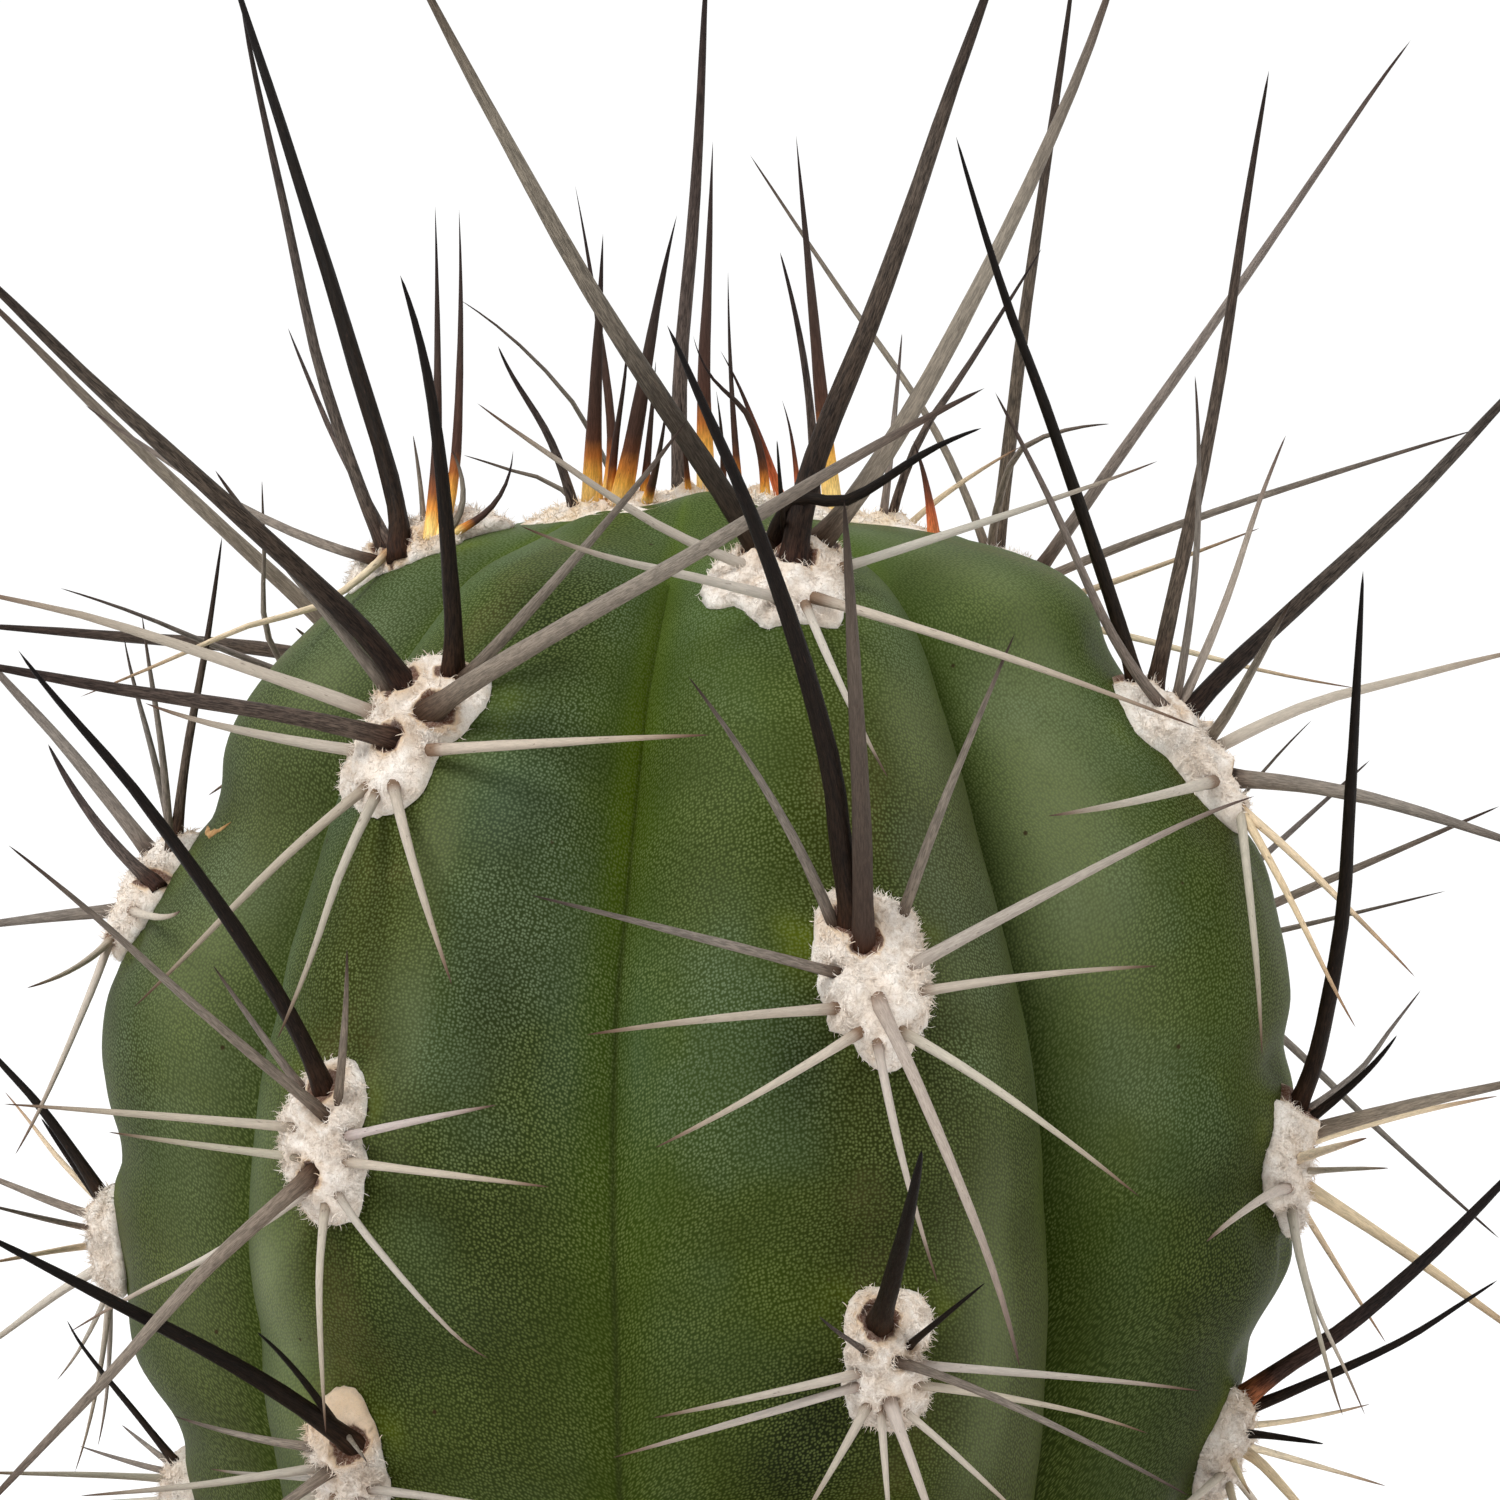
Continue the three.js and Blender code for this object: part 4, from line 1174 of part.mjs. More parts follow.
// crown: a low dome of felt over the tip, cut to the stem's shape underneath
{
  const n = 24,
    ring = (share, drop) => {
      const list = [];
      for (let j = 0; j < n; j++) {
        const azimuth = (360 * j) / n - 180,
          r = along(CROWN_REACH, azimuth) * share,
          a = THREE.MathUtils.degToRad(azimuth);
        list.push(
          new THREE.Vector3(
            r * Math.sin(a),
            -r * Math.cos(a),
            STEM_TOP + CROWN_THICK - 0.0115 * r * r - drop,
          ),
        );
      }
      return list;
    },
    dome = loft(
      [ring(0.5, 0), ring(0.82, 0), ring(0.95, 0.25), ring(1, 0.9), ring(1, 5)],
      new THREE.Vector3(0, 0, STEM_TOP + CROWN_THICK),
      new THREE.Vector3(0, 0, STEM_TOP - 5),
    ),
    under = stemGeometry([0.1, 0.22, 0.4, 1.2, 2.4, 4, 6.5, 12], GAP);
  under.translate(0, 0, GAP);
  add(
    "crown",
    fromSolid(withSpines(solidOf(dome).subtract(solidOf(under)), CROWN_SPINES)),
    "#dccb9c",
    0.9,
  );
}

// pot: a turned profile, up the outside, over the rim and down the inside
const rimFoot = POT_HEIGHT - POT_RIM_BAND;
const innerFoot = POT_FOOT_RADIUS - POT_WALL + 0.5;
const potProfile = [
  [DRAIN_RADIUS, 0],
  [POT_FOOT_RADIUS - 1.2, 0],
  [POT_FOOT_RADIUS, 1.2],
  [POT_NECK_RADIUS, rimFoot],
  [POT_RIM_RADIUS - 1.2, rimFoot + 0.6],
  [POT_RIM_RADIUS - 0.2, rimFoot + 2],
  [POT_RIM_RADIUS, POT_HEIGHT - 3],
  [POT_RIM_RADIUS - 1.4, POT_HEIGHT - 0.8],
  [POT_RIM_RADIUS - 3.2, POT_HEIGHT],
  [POT_MOUTH_RADIUS + 1.4, POT_HEIGHT - 0.5],
  [POT_MOUTH_RADIUS, POT_HEIGHT - 2.2],
  [POT_MOUTH_RADIUS - 1.2, rimFoot - 2],
  [innerFoot + 2, POT_FLOOR + 3],
  [innerFoot - 2, POT_FLOOR],
  [DRAIN_RADIUS + 0.8, POT_FLOOR],
  [DRAIN_RADIUS, POT_FLOOR - 0.8],
  [DRAIN_RADIUS, 0],
].map(([r, z]) => new THREE.Vector2(r, z));
const zUp = (g) => g.rotateX(Math.PI / 2);
add(
  "pot",
  zUp(new THREE.LatheGeometry(potProfile, 36)),
  "#b5694a",
  0.9,
);

// the pot's inside at a height
function potInside(z) {
  const pts = [
    [innerFoot - 2, POT_FLOOR],
    [innerFoot + 2, POT_FLOOR + 3],
    [POT_MOUTH_RADIUS - 1.2, rimFoot - 2],
    [POT_MOUTH_RADIUS, POT_HEIGHT - 2.2],
  ];
  for (let i = 1; i < pts.length; i++)
    if (z <= pts[i][1]) {
      const [a, b] = [pts[i - 1], pts[i]];
      return a[0] + ((b[0] - a[0]) * (z - a[1])) / (b[1] - a[1]);
    }
  return POT_MOUTH_RADIUS;
}
// the flats of the turned sides lie inside the circle they stand for
const INSIDE_GAP = 0.6;
const plug = stemGeometry(
  [STEM_TOP - GRIT_TOP - 6, 110, 118, 126, STEM_DEPTH + GAP],
  GAP,
);
const soilProfile = [
  [0, POT_FLOOR + GAP],
  [innerFoot - 2 - INSIDE_GAP, POT_FLOOR + GAP],
  [potInside(POT_FLOOR + 3) - INSIDE_GAP, POT_FLOOR + 3 + GAP],
  [potInside(rimFoot - 2) - INSIDE_GAP, rimFoot - 2],
  [potInside(SOIL_TOP) - INSIDE_GAP, SOIL_TOP],
  [0, SOIL_TOP],
].map(([r, z]) => new THREE.Vector2(r, z));
add(
  "soil",
  fromSolid(
    solidOf(zUp(new THREE.LatheGeometry(soilProfile, 36))).subtract(solidOf(plug)),
  ),
  "#3b2c22",
  1,
);
const gritProfile = [
  [0, SOIL_TOP + GAP],
  [potInside(SOIL_TOP) - INSIDE_GAP, SOIL_TOP + GAP],
  [potInside(GRIT_TOP) - INSIDE_GAP - 0.8, GRIT_TOP - 1],
  [potInside(GRIT_TOP) - 4, GRIT_TOP],
  [30, GRIT_TOP],
  [0, GRIT_TOP],
].map(([r, z]) => new THREE.Vector2(r, z));
add(
  "top_dressing",
  fromSolid(
    solidOf(zUp(new THREE.LatheGeometry(gritProfile, 36))).subtract(solidOf(plug)),
  ),
  "#8d8478",
  1,
);

export default root;
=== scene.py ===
# Potted toothpick cactus: the looks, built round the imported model.
# Lengths are worked out in millimetres and turned to metres when a mesh is made.
import math

import bpy
import numpy as np
from mathutils import Matrix, Vector


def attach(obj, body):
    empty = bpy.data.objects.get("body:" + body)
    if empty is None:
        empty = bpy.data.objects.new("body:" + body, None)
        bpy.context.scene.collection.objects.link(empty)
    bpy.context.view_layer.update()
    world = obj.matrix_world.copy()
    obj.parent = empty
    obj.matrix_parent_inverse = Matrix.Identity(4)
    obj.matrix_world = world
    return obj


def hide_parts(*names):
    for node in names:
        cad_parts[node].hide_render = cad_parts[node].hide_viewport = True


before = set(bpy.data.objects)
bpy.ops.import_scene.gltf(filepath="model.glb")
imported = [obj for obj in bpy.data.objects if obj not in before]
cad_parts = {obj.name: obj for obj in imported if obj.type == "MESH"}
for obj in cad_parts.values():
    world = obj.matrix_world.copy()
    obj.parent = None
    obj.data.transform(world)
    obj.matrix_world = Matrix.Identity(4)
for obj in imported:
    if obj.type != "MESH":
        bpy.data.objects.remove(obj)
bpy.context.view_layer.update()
TAU = 2 * math.pi

# ------------------------------------------------------------------ the camera
CAM_TARGET = Vector((3.1, 0.0, 193.8))
CAM_DISTANCE = 350.0
CAM_DOWN = math.radians(6.5)
CAM_LENS = 141.18

cam_data = bpy.data.cameras.new("camera")
cam_data.lens = CAM_LENS
cam_data.sensor_width = 36.0
cam_data.clip_start = 0.01
cam_data.clip_end = 50.0
camera = bpy.data.objects.new("camera", cam_data)
bpy.context.scene.collection.objects.link(camera)
looking = Vector((0, math.cos(CAM_DOWN), -math.sin(CAM_DOWN)))
camera.location = (CAM_TARGET - looking * CAM_DISTANCE) * 0.001
camera.rotation_euler = looking.to_track_quat("-Z", "Y").to_euler()
bpy.context.scene.camera = camera
bpy.context.scene.view_settings.view_transform = "Standard"
bpy.context.scene.view_settings.look = "None"

# ------------------------------------------------------------- the stem's shape
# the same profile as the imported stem: [depth below the tip, radius]
TIP_Z = 208.0
DEPTH = 128.0
CREST_LEFT = [(0, 0), (0.5, 8.5), (1.2, 13.2), (2.4, 17.4), (5, 21), (9.5, 25.6), (14, 28.2), (18.7, 29.6), (23.5, 32.6), (29.5, 34.8), (33, 35.2), (40.2, 35), (46.7, 34.1), (50.3, 33.2), (53.3, 32.1), (56.2, 31), (59.2, 30.3), (66, 29.3), (75, 28.8), (90, 28.5), (108, 28), (128, 24)]
CREST_RIGHT = [(0, 0), (0.5, 9.5), (1.2, 15), (2.2, 19.4), (3.3, 22), (5, 24), (7, 25.2), (9.5, 26.1), (14, 29.6), (19.6, 33.5), (22.5, 34.6), (25.3, 35.4), (30, 35.9), (34, 35.9), (38, 35.4), (42.7, 35.6), (45.6, 35), (49.4, 33.8), (52, 32.6), (55, 31.4), (58.5, 30.5), (66, 29.5), (75, 29), (90, 28.6), (108, 28), (128, 24)]
VALLEY = [(0, 0), (0.4, 6.5), (1, 9.5), (2.5, 12.8), (5, 15.8), (9, 18.4), (13, 20.2), (18, 22.3), (24, 24.3), (30, 26.2), (40, 28), (50, 27.9), (59, 27.3), (66, 26.8), (75, 26.4), (90, 26.2), (108, 25.8), (128, 22)]
RIBS = [
    ("G", 0, 0.5, [(0, -131), (128, -134)]),
    ("D", 0, 0.577, [(0, -88), (128, -86)]),
    ("B", 0.25, 0.523, [(0, -33), (12, -34.5), (33, -35), (52, -35.6), (75, -35), (128, -35)]),
    ("A", 0.5, 0.5, [(0, 20), (3, 19.5), (9, 17), (24, 16.5), (45, 17.8), (70, 17.5), (128, 17)]),
    ("C", 1, 0.5, [(0, 72), (128, 71)]),
    ("E", 0.6, 0.5, [(0, 125), (128, 123)]),
    ("F", 0.3, 0.5, [(0, 181), (128, 177)]),
]
AREOLE_DEPTH = {
    "G": (12, 34, 53, 69, 84, 98.5),
    "D": (2.7, 22.8, 43.5, 60, 75, 90),
    "B": (11.2, 33, 51.5, 67, 82, 96.5),
    "A": (3, 23.2, 44, 60.5, 76, 91),
    "C": (13.4, 36.8, 54, 70, 85, 99.5),
    "E": (6.9, 28.5, 47.5, 63.5, 78.5, 93),
    "F": (8.5, 30, 50, 66, 81, 95.5),
}
SHARPNESS = 2.6
# the fold in front, after the third rib, is partly filled out: [depth, share]
SHALLOW = [(0, 0), (3, 0.1), (9, 0.24), (18, 0.42), (26, 0.55), (40, 0.6), (60, 0.5), (80, 0.3), (128, 0.3)]
# the flesh stands up round the tip in front: [x, y, reach x, reach y, height]
MOUNDS = [(0.9, -5.0, 3.5, 3.8, 1.75), (-5.4, -5.0, 3.4, 3.4, 0.75)]


def profile(table):
    """Monotone cubic through the points of a profile."""
    x, y = np.array(table, float).T
    h = np.diff(x)
    m = np.diff(y) / h
    d = np.zeros(len(x))

    def end(h0, h1, m0, m1):
        v = ((2 * h0 + h1) * m0 - h0 * m1) / (h0 + h1)
        if np.sign(v) != np.sign(m0):
            return 0.0
        if np.sign(m0) != np.sign(m1) and abs(v) > 3 * abs(m0):
            return 3 * m0
        return v

    d[0] = end(h[0], h[1], m[0], m[1])
    d[-1] = end(h[-1], h[-2], m[-1], m[-2])
    for i in range(1, len(x) - 1):
        if m[i - 1] * m[i] > 0:
            a, b = 2 * h[i] + h[i - 1], h[i] + 2 * h[i - 1]
            d[i] = (a + b) / (a / m[i - 1] + b / m[i])

    def at(v):
        v = np.clip(v, x[0], x[-1])
        i = np.clip(np.searchsorted(x, v, "right") - 1, 0, len(x) - 2)
        t = (v - x[i]) / h[i]
        t2, t3 = t * t, t * t * t
        return (
            y[i] * (2 * t3 - 3 * t2 + 1)
            + h[i] * d[i] * (t3 - 2 * t2 + t)
            + y[i + 1] * (3 * t2 - 2 * t3)
            + h[i] * d[i + 1] * (t3 - t2)
        )

    return at


crest_left, crest_right, valley = profile(CREST_LEFT), profile(CREST_RIGHT), profile(VALLEY)
shallow = profile(SHALLOW)


def swell(name, s):
    v = np.zeros_like(s)
    for c in AREOLE_DEPTH[name]:
        if c >= 3:
            v += 0.55 * np.exp(-(((s - c - 6) / 4) ** 2)) - 0.75 * np.exp(-(((s - c + 6.2) / 2.2) ** 2))
    return v * np.clip((s - 1) / 6, 0, 1)


def stem_at(azimuth, s):
    """Radius of the stem, place across the rib (0 crest, 1 valley, signed) and rib number."""
    s = np.clip(np.asarray(s, float), 0, DEPTH)
    azimuth = np.asarray(azimuth, float)
    s, azimuth = np.broadcast_arrays(s, azimuth)
    shape = s.shape
    s, azimuth = s.ravel(), azimuth.ravel()
    az = np.stack([np.interp(s, *np.array(r[3], float).T) for r in RIBS])
    t = az[0] + np.mod(azimuth - az[0], 360)
    k = (t[None] >= az).sum(0) - 1
    n = np.arange(len(s))
    a0 = az[k, n]
    a1 = np.where(k == 6, az[0] + 360, az[np.minimum(k + 1, 6), n])
    fold = a0 + (a1 - a0) * np.array([r[2] for r in RIBS])[k]
    far = t > fold
    phi = np.clip(np.where(far, (a1 - t) / (a1 - fold), (t - a0) / (fold - a0)), 0, 1)
    rib = np.where(far, (k + 1) % 7, k)
    share = np.array([r[1] for r in RIBS])[rib]
    crest = share * crest_right(s) + (1 - share) * crest_left(s)
    low = valley(s)
    low = low + np.where(k == 2, shallow(s), 0) * ((crest_left(s) + crest_right(s)) / 2 - low)
    lift = np.stack([swell(r[0], s) for r in RIBS])[rib, n]
    r = low + (crest - low) * (1 - phi**SHARPNESS) + lift * np.maximum(0, 1 - phi * phi) ** 1.5
    return (
        np.maximum(r, 0).reshape(shape),
        np.where(far, -phi, phi).reshape(shape),
        rib.reshape(shape),
    )


def mound(x, y):
    """How far the flesh is raised at a place near the tip."""
    return sum(h * np.exp(-(((x - a) / u) ** 2) - ((y - b) / v) ** 2) for a, b, u, v, h in MOUNDS)


def outside_stem(p):
    s = TIP_Z - p[:, 2] + mound(p[:, 0], p[:, 1])
    r, _, _ = stem_at(np.degrees(np.arctan2(p[:, 0], -p[:, 1])), s)
    return (s < 0) | (np.hypot(p[:, 0], p[:, 1]) > r)


def onto_stem(p, out):
    """The places on the stem under points, along directions that point outward."""
    lo, hi = np.full(len(p), -9.0), np.full(len(p), 4.0)
    for _ in range(20):
        mid = (lo + hi) / 2
        o = outside_stem(p + out * mid[:, None])
        hi = np.where(o, mid, hi)
        lo = np.where(o, lo, mid)
    return p + out * hi[:, None]


# ----------------------------------------------------------- making the meshes
def lumps(p, size, seed):
    """Smooth noise in about -1..1 from a few crossing waves; p in mm, size in mm."""
    rng = np.random.default_rng(seed)
    v = np.zeros(len(p))
    for _ in range(14):
        d = rng.normal(size=3)
        d /= np.linalg.norm(d)
        v += np.sin(p @ d * TAU / (size * rng.uniform(0.7, 1.5)) + rng.uniform(0, TAU))
    return v / 4.2


def make(name, verts, faces, materials, replaces=(), smooth=True, attributes=()):
    mesh = bpy.data.meshes.new(name)
    mesh.from_pydata((np.asarray(verts) * 0.001).tolist(), [], faces)
    for key, kind, data, *where in attributes:
        a = mesh.attributes.new(key, kind, where[0] if where else "POINT")
        data = np.asarray(data, np.float32)
        if kind == "FLOAT":
            a.data.foreach_set("value", data)
        elif kind == "FLOAT_VECTOR":
            a.data.foreach_set("vector", data.ravel())
        else:
            if data.shape[1] == 3:
                data = np.hstack([data, np.ones((len(data), 1), np.float32)])
            a.data.foreach_set("color", data.astype(np.float32).ravel())
    for m in materials:
        mesh.materials.append(m)
    mesh.polygons.foreach_set("use_smooth", np.full(len(mesh.polygons), smooth))
    mesh.update()
    o = bpy.data.objects.new(name, mesh)
    bpy.context.scene.collection.objects.link(o)
    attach(o, "root")
    for r in replaces:
        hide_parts(r)
    return o


def tubes(centres, radii, sides, wobble=None):
    """Closed tapered tubes. centres (n, k, 3); the last point of each is its tip.
    Returns vertices, faces, and for each vertex its tube, its ring and its angle."""
    n, k, _ = centres.shape
    d = np.gradient(centres, axis=1)
    d /= np.linalg.norm(d, axis=2, keepdims=True) + 1e-12
    mean = centres[:, -1] - centres[:, 0]
    mean /= np.linalg.norm(mean, axis=1, keepdims=True) + 1e-12
    up = np.where(np.abs(mean[:, 2:3]) < 0.9, [[0.0, 0.0, 1.0]], [[1.0, 0.0, 0.0]])
    u = np.cross(np.broadcast_to(up[:, None], d.shape), d)
    u /= np.linalg.norm(u, axis=2, keepdims=True) + 1e-12
    v = np.cross(d, u)
    a = np.arange(sides) * TAU / sides
    r = radii[:, : k - 1, None] * np.ones(sides)
    if wobble is not None:
        r = r * wobble
    ring = (
        centres[:, : k - 1, None]
        + u[:, : k - 1, None] * (r * np.cos(a))[..., None]
        + v[:, : k - 1, None] * (r * np.sin(a))[..., None]
    )
    per = (k - 1) * sides + 1
    verts = np.concatenate([ring.reshape(n, -1, 3), centres[:, -1:]], 1).reshape(-1, 3)
    i, j = np.meshgrid(np.arange(k - 2), np.arange(sides), indexing="ij")
    j2 = (j + 1) % sides
    quad = np.stack([i * sides + j, i * sides + j2, (i + 1) * sides + j2, (i + 1) * sides + j], -1).reshape(-1, 4)
    jj = np.arange(sides)
    tip = np.stack([(k - 2) * sides + jj, (k - 2) * sides + (jj + 1) % sides, np.full(sides, per - 1)], -1)
    cap = np.arange(sides)[::-1][None]
    base = (np.arange(n) * per)[:, None, None]
    faces = []
    for f in (quad, tip, cap):
        faces += (base + f[None]).reshape(-1, f.shape[1]).tolist()
    tube = np.repeat(np.arange(n), per)
    rings = np.tile(np.append(np.repeat(np.arange(k - 1), sides), k - 1), n)
    angle = np.tile(np.append(np.tile(a, k - 1), 0.0), n)
    return verts, faces, tube, rings, angle


def joined(parts):
    """Several (vertices, faces) as one."""
    verts, faces, at = [], [], 0
    for v, f in parts:
        verts.append(v)
        faces += [[i + at for i in q] for q in f] if at else list(f)
        at += len(v)
    return np.concatenate(verts), faces


# ------------------------------------------------------------------- materials
class Nodes:
    """Short calls for a material's node tree."""

    def __init__(self, name):
        self.mat = bpy.data.materials.new(name)
        self.mat.use_nodes = True
        self.t = self.mat.node_tree
        self.t.nodes.clear()
        self.out = self.t.nodes.new("ShaderNodeOutputMaterial")
        self.bsdf = self.t.nodes.new("ShaderNodeBsdfPrincipled")
        self.t.links.new(self.bsdf.outputs[0], self.out.inputs[0])
        self.coord = self.t.nodes.new("ShaderNodeTexCoord").outputs["Object"]

    def put(self, socket, value):
        if isinstance(value, bpy.types.NodeSocket):
            self.t.links.new(value, socket)
        elif isinstance(value, (tuple, list)) and len(value) == 3 and socket.type == "RGBA":
            socket.default_value = (*value, 1.0)
        else:
            socket.default_value = value

    def shader(self, **values):
        for k, v in values.items():
            self.put(self.bsdf.inputs[k.replace("_", " ")], v)

    def attribute(self, name, out="Fac"):
        n = self.t.nodes.new("ShaderNodeAttribute")
        n.attribute_name = name
        return n.outputs[out]

    def noise(self, scale, detail=4.0, rough=0.55, vector=None, distortion=0.0):
        n = self.t.nodes.new("ShaderNodeTexNoise")
        self.put(n.inputs["Vector"], vector or self.coord)
        n.inputs["Scale"].default_value = scale
        n.inputs["Detail"].default_value = detail
        n.inputs["Roughness"].default_value = rough
        n.inputs["Distortion"].default_value = distortion
        return n.outputs["Fac"]

    def cells(self, scale, feature="F1", out="Distance", vector=None, randomness=1.0):
        n = self.t.nodes.new("ShaderNodeTexVoronoi")
        n.feature = feature
        self.put(n.inputs["Vector"], vector or self.coord)
        n.inputs["Scale"].default_value = scale
        n.inputs["Randomness"].default_value = randomness
        return n.outputs[out]

    def scaled(self, xyz, vector=None):
        n = self.t.nodes.new("ShaderNodeVectorMath")
        n.operation = "MULTIPLY"
        self.put(n.inputs[0], vector or self.coord)
        n.inputs[1].default_value = xyz
        return n.outputs[0]

    def ramp(self, value, lo, hi, a=0.0, b=1.0, smooth=True):
        n = self.t.nodes.new("ShaderNodeMapRange")
        n.interpolation_type = "SMOOTHSTEP" if smooth else "LINEAR"
        n.clamp = True
        self.put(n.inputs["Value"], value)
        for key, v in (("From Min", lo), ("From Max", hi), ("To Min", a), ("To Max", b)):
            n.inputs[key].default_value = v
        return n.outputs[0]

    def math(self, op, a, b=0.0):
        n = self.t.nodes.new("ShaderNodeMath")
        n.operation = op
        self.put(n.inputs[0], a)
        self.put(n.inputs[1], b)
        return n.outputs[0]

    def mix(self, fac, a, b, how="MIX"):
        n = self.t.nodes.new("ShaderNodeMix")
        n.data_type = "RGBA"
        n.blend_type = how
        self.put(n.inputs[0], fac)
        self.put(n.inputs[6], a)
        self.put(n.inputs[7], b)
        return n.outputs[2]

    def bump(self, height, distance_mm, strength=1.0, normal=None):
        n = self.t.nodes.new("ShaderNodeBump")
        n.inputs["Strength"].default_value = strength
        n.inputs["Distance"].default_value = distance_mm * 0.001
        self.put(n.inputs["Height"], height)
        if normal is not None:
            self.put(n.inputs["Normal"], normal)
        return n.outputs[0]


def srgb(r, g, b):
    """A display colour of 0 to 255 as linear light."""
    return tuple((v / 255 / 12.92) if v <= 10.31 else ((v / 255 + 0.055) / 1.055) ** 2.4 for v in (r, g, b))


def skin_material():
    m = Nodes("stem_skin")
    place = m.attribute("place", "Vector")  # round the rib from its crest and down it, in mm
    across = m.attribute("across")  # 0 on the crest, 1 in the valley
    low = m.attribute("low")  # 0 at the tip, 1 at the buried end
    near = m.attribute("near")  # 1 beside an areole
    young = m.attribute("young")
    shade = m.attribute("shade")  # painted shade below 0, partly weathering; painted highlight and sheen above 0, partly bloom
    patch = m.noise(95, 3.0, 0.5)
    broad = m.noise(38, 3.0, 0.6)
    base = m.mix(m.ramp(across, 0.0, 0.45), srgb(55, 61, 17), srgb(51, 64, 18))
    base = m.mix(m.ramp(across, 0.55, 0.95), base, srgb(51, 68, 11))
    base = m.mix(m.ramp(broad, 0.35, 0.68, 0.0, 0.55), base, srgb(35, 43, 14))
    # patches of blue-grey bloom on the flanks
    bloom = m.math("MULTIPLY", m.ramp(patch, 0.4, 0.64), m.ramp(across, 0.1, 0.35))
    bloom = m.math("MULTIPLY", bloom, m.ramp(across, 0.97, 0.75))
    base = m.mix(m.math("MULTIPLY", bloom, 0.55), base, srgb(58, 74, 42))
    frost = m.math("MULTIPLY", m.attribute("frost"), m.ramp(m.noise(70, 4.0, 0.6), 0.25, 0.6, 0.6, 1.1))
    base = m.mix(m.ramp(frost, 0.0, 1.0, 0.0, 0.8, False), base, srgb(64, 82, 66))
    # greener and deeper in colour lower down
    base = m.mix(m.ramp(low, 0.22, 0.38, 0.0, 0.4), base, srgb(46, 56, 6))
    # grey wax bloom on the right-hand flanks, partly a painted sheen
    wax_sheen_mix = m.math("MULTIPLY", m.ramp(m.attribute("waxy"), 0.1, 0.8), m.ramp(across, 0.06, 0.3))
    wax_sheen_mix = m.math("MULTIPLY", wax_sheen_mix, m.ramp(m.noise(60, 3.0), 0.3, 0.6, 0.4, 1.0))
    base = m.mix(m.math("MULTIPLY", wax_sheen_mix, 0.62), base, srgb(66, 67, 44))
    # yellow-green towards the fold, most of it near the top, and beside the felt
    yellow = m.math("MULTIPLY", m.ramp(across, 0.84, 0.98), m.ramp(low, 0.2, 0.08, 0.08, 1.0))
    yellow = m.math("MULTIPLY", yellow, m.ramp(m.attribute("facing"), -0.5, 0.5, 0.4, 1.0))
    yellow = m.math("MULTIPLY", yellow, m.ramp(m.noise(45, 2.0), 0.3, 0.6, 0.3, 1.0))
    base = m.mix(m.math("MULTIPLY", yellow, 0.8), base, srgb(84, 102, 8))
    # the right-hand wall of a fold lies in its shade
    hollow = m.math("MULTIPLY", m.ramp(across, 0.9, 0.985), m.ramp(m.attribute("facing"), 0.3, -0.3))
    base = m.mix(m.math("MULTIPLY", hollow, m.ramp(low, 0.03, 0.12, 0.0, 0.12)), base, srgb(20, 24, 8))
    halo = m.math("MULTIPLY", near, m.ramp(m.noise(240, 2.0), 0.38, 0.62))
    base = m.mix(m.math("MULTIPLY", halo, 0.55), base, srgb(100, 112, 14))
    # paler and greener near the tip: young tissue, partly painted light from above
    base = m.mix(m.math("MULTIPLY", young, m.ramp(m.noise(70, 3.0), 0.3, 0.7, 0.25, 0.7)), base, srgb(76, 97, 40))
    # olive-brown weathering here and there along the crests
    worn = m.math("MULTIPLY", m.ramp(across, 0.3, 0.05), m.ramp(m.noise(120, 4.0, 0.65), 0.5, 0.68))
    base = m.mix(m.math("MULTIPLY", worn, 0.5), base, srgb(86, 80, 44))
    # painted light: pale patches are painted highlight and sheen, dark ones painted shade, with some weathering and
    # bloom
    painted_light_and_weathering = m.math("MULTIPLY", shade, m.ramp(m.noise(85, 4.0, 0.6), 0.25, 0.6, 0.55, 1.15))
    base = m.mix(m.ramp(painted_light_and_weathering, 0.0, 1.0, 0.0, 0.85, False), base, srgb(110, 119, 84))
    base = m.mix(m.ramp(painted_light_and_weathering, 0.0, -1.0, 0.0, 0.85, False), base, srgb(20, 24, 8))
    # fine pale papillae that run together into short threads
    crook = m.t.nodes.new("ShaderNodeTexNoise")
    crook.inputs["Scale"].default_value = 3.6
    crook.inputs["Detail"].default_value = 1.0
    m.put(crook.inputs["Vector"], place)
    shift = m.t.nodes.new("ShaderNodeVectorMath")
    shift.operation = "MULTIPLY_ADD"
    m.put(shift.inputs[0], crook.outputs["Color"])
    shift.inputs[1].default_value = (0.06, 0.06, 0.0)
    m.put(shift.inputs[2], place)
    cell = m.t.nodes.new("ShaderNodeTexVoronoi")
    cell.voronoi_dimensions = "2D"
    cell.inputs["Scale"].default_value = 4.8
    cell.inputs["Randomness"].default_value = 0.7
    m.put(cell.inputs["Vector"], shift.outputs[0])
    d = cell.outputs["Distance"]
    dot = m.ramp(d, 0.5, 0.12)
    shade = m.ramp(m.noise(300, 3.0), 0.3, 0.7, 0.3, 0.52)
    pale = m.mix(m.math("MAXIMUM", bloom, frost), srgb(116, 129, 76), srgb(121, 137, 104))
    pale = m.mix(m.ramp(low, 0.2, 0.34, 0.0, 0.8), pale, srgb(106, 118, 60))
    skin = m.mix(m.math("MULTIPLY", dot, shade), base, pale)
    skin = m.mix(m.math("MULTIPLY", m.ramp(d, 0.4, 0.85), 0.16), skin, srgb(24, 34, 6))
    # painted shade: the fold itself is drawn as a thin dark line
    painted_crease_shade = m.math("MULTIPLY", m.ramp(across, 0.978, 0.996), m.ramp(low, 0.02, 0.2))
    skin = m.mix(m.math("MULTIPLY", painted_crease_shade, 0.5), skin, srgb(40, 46, 16))
    # scattered specks
    speck = m.ramp(m.cells(260, "F1"), 0.05, 0.02)
    skin = m.mix(m.math("MULTIPLY", speck, 0.9), skin, srgb(48, 34, 18))
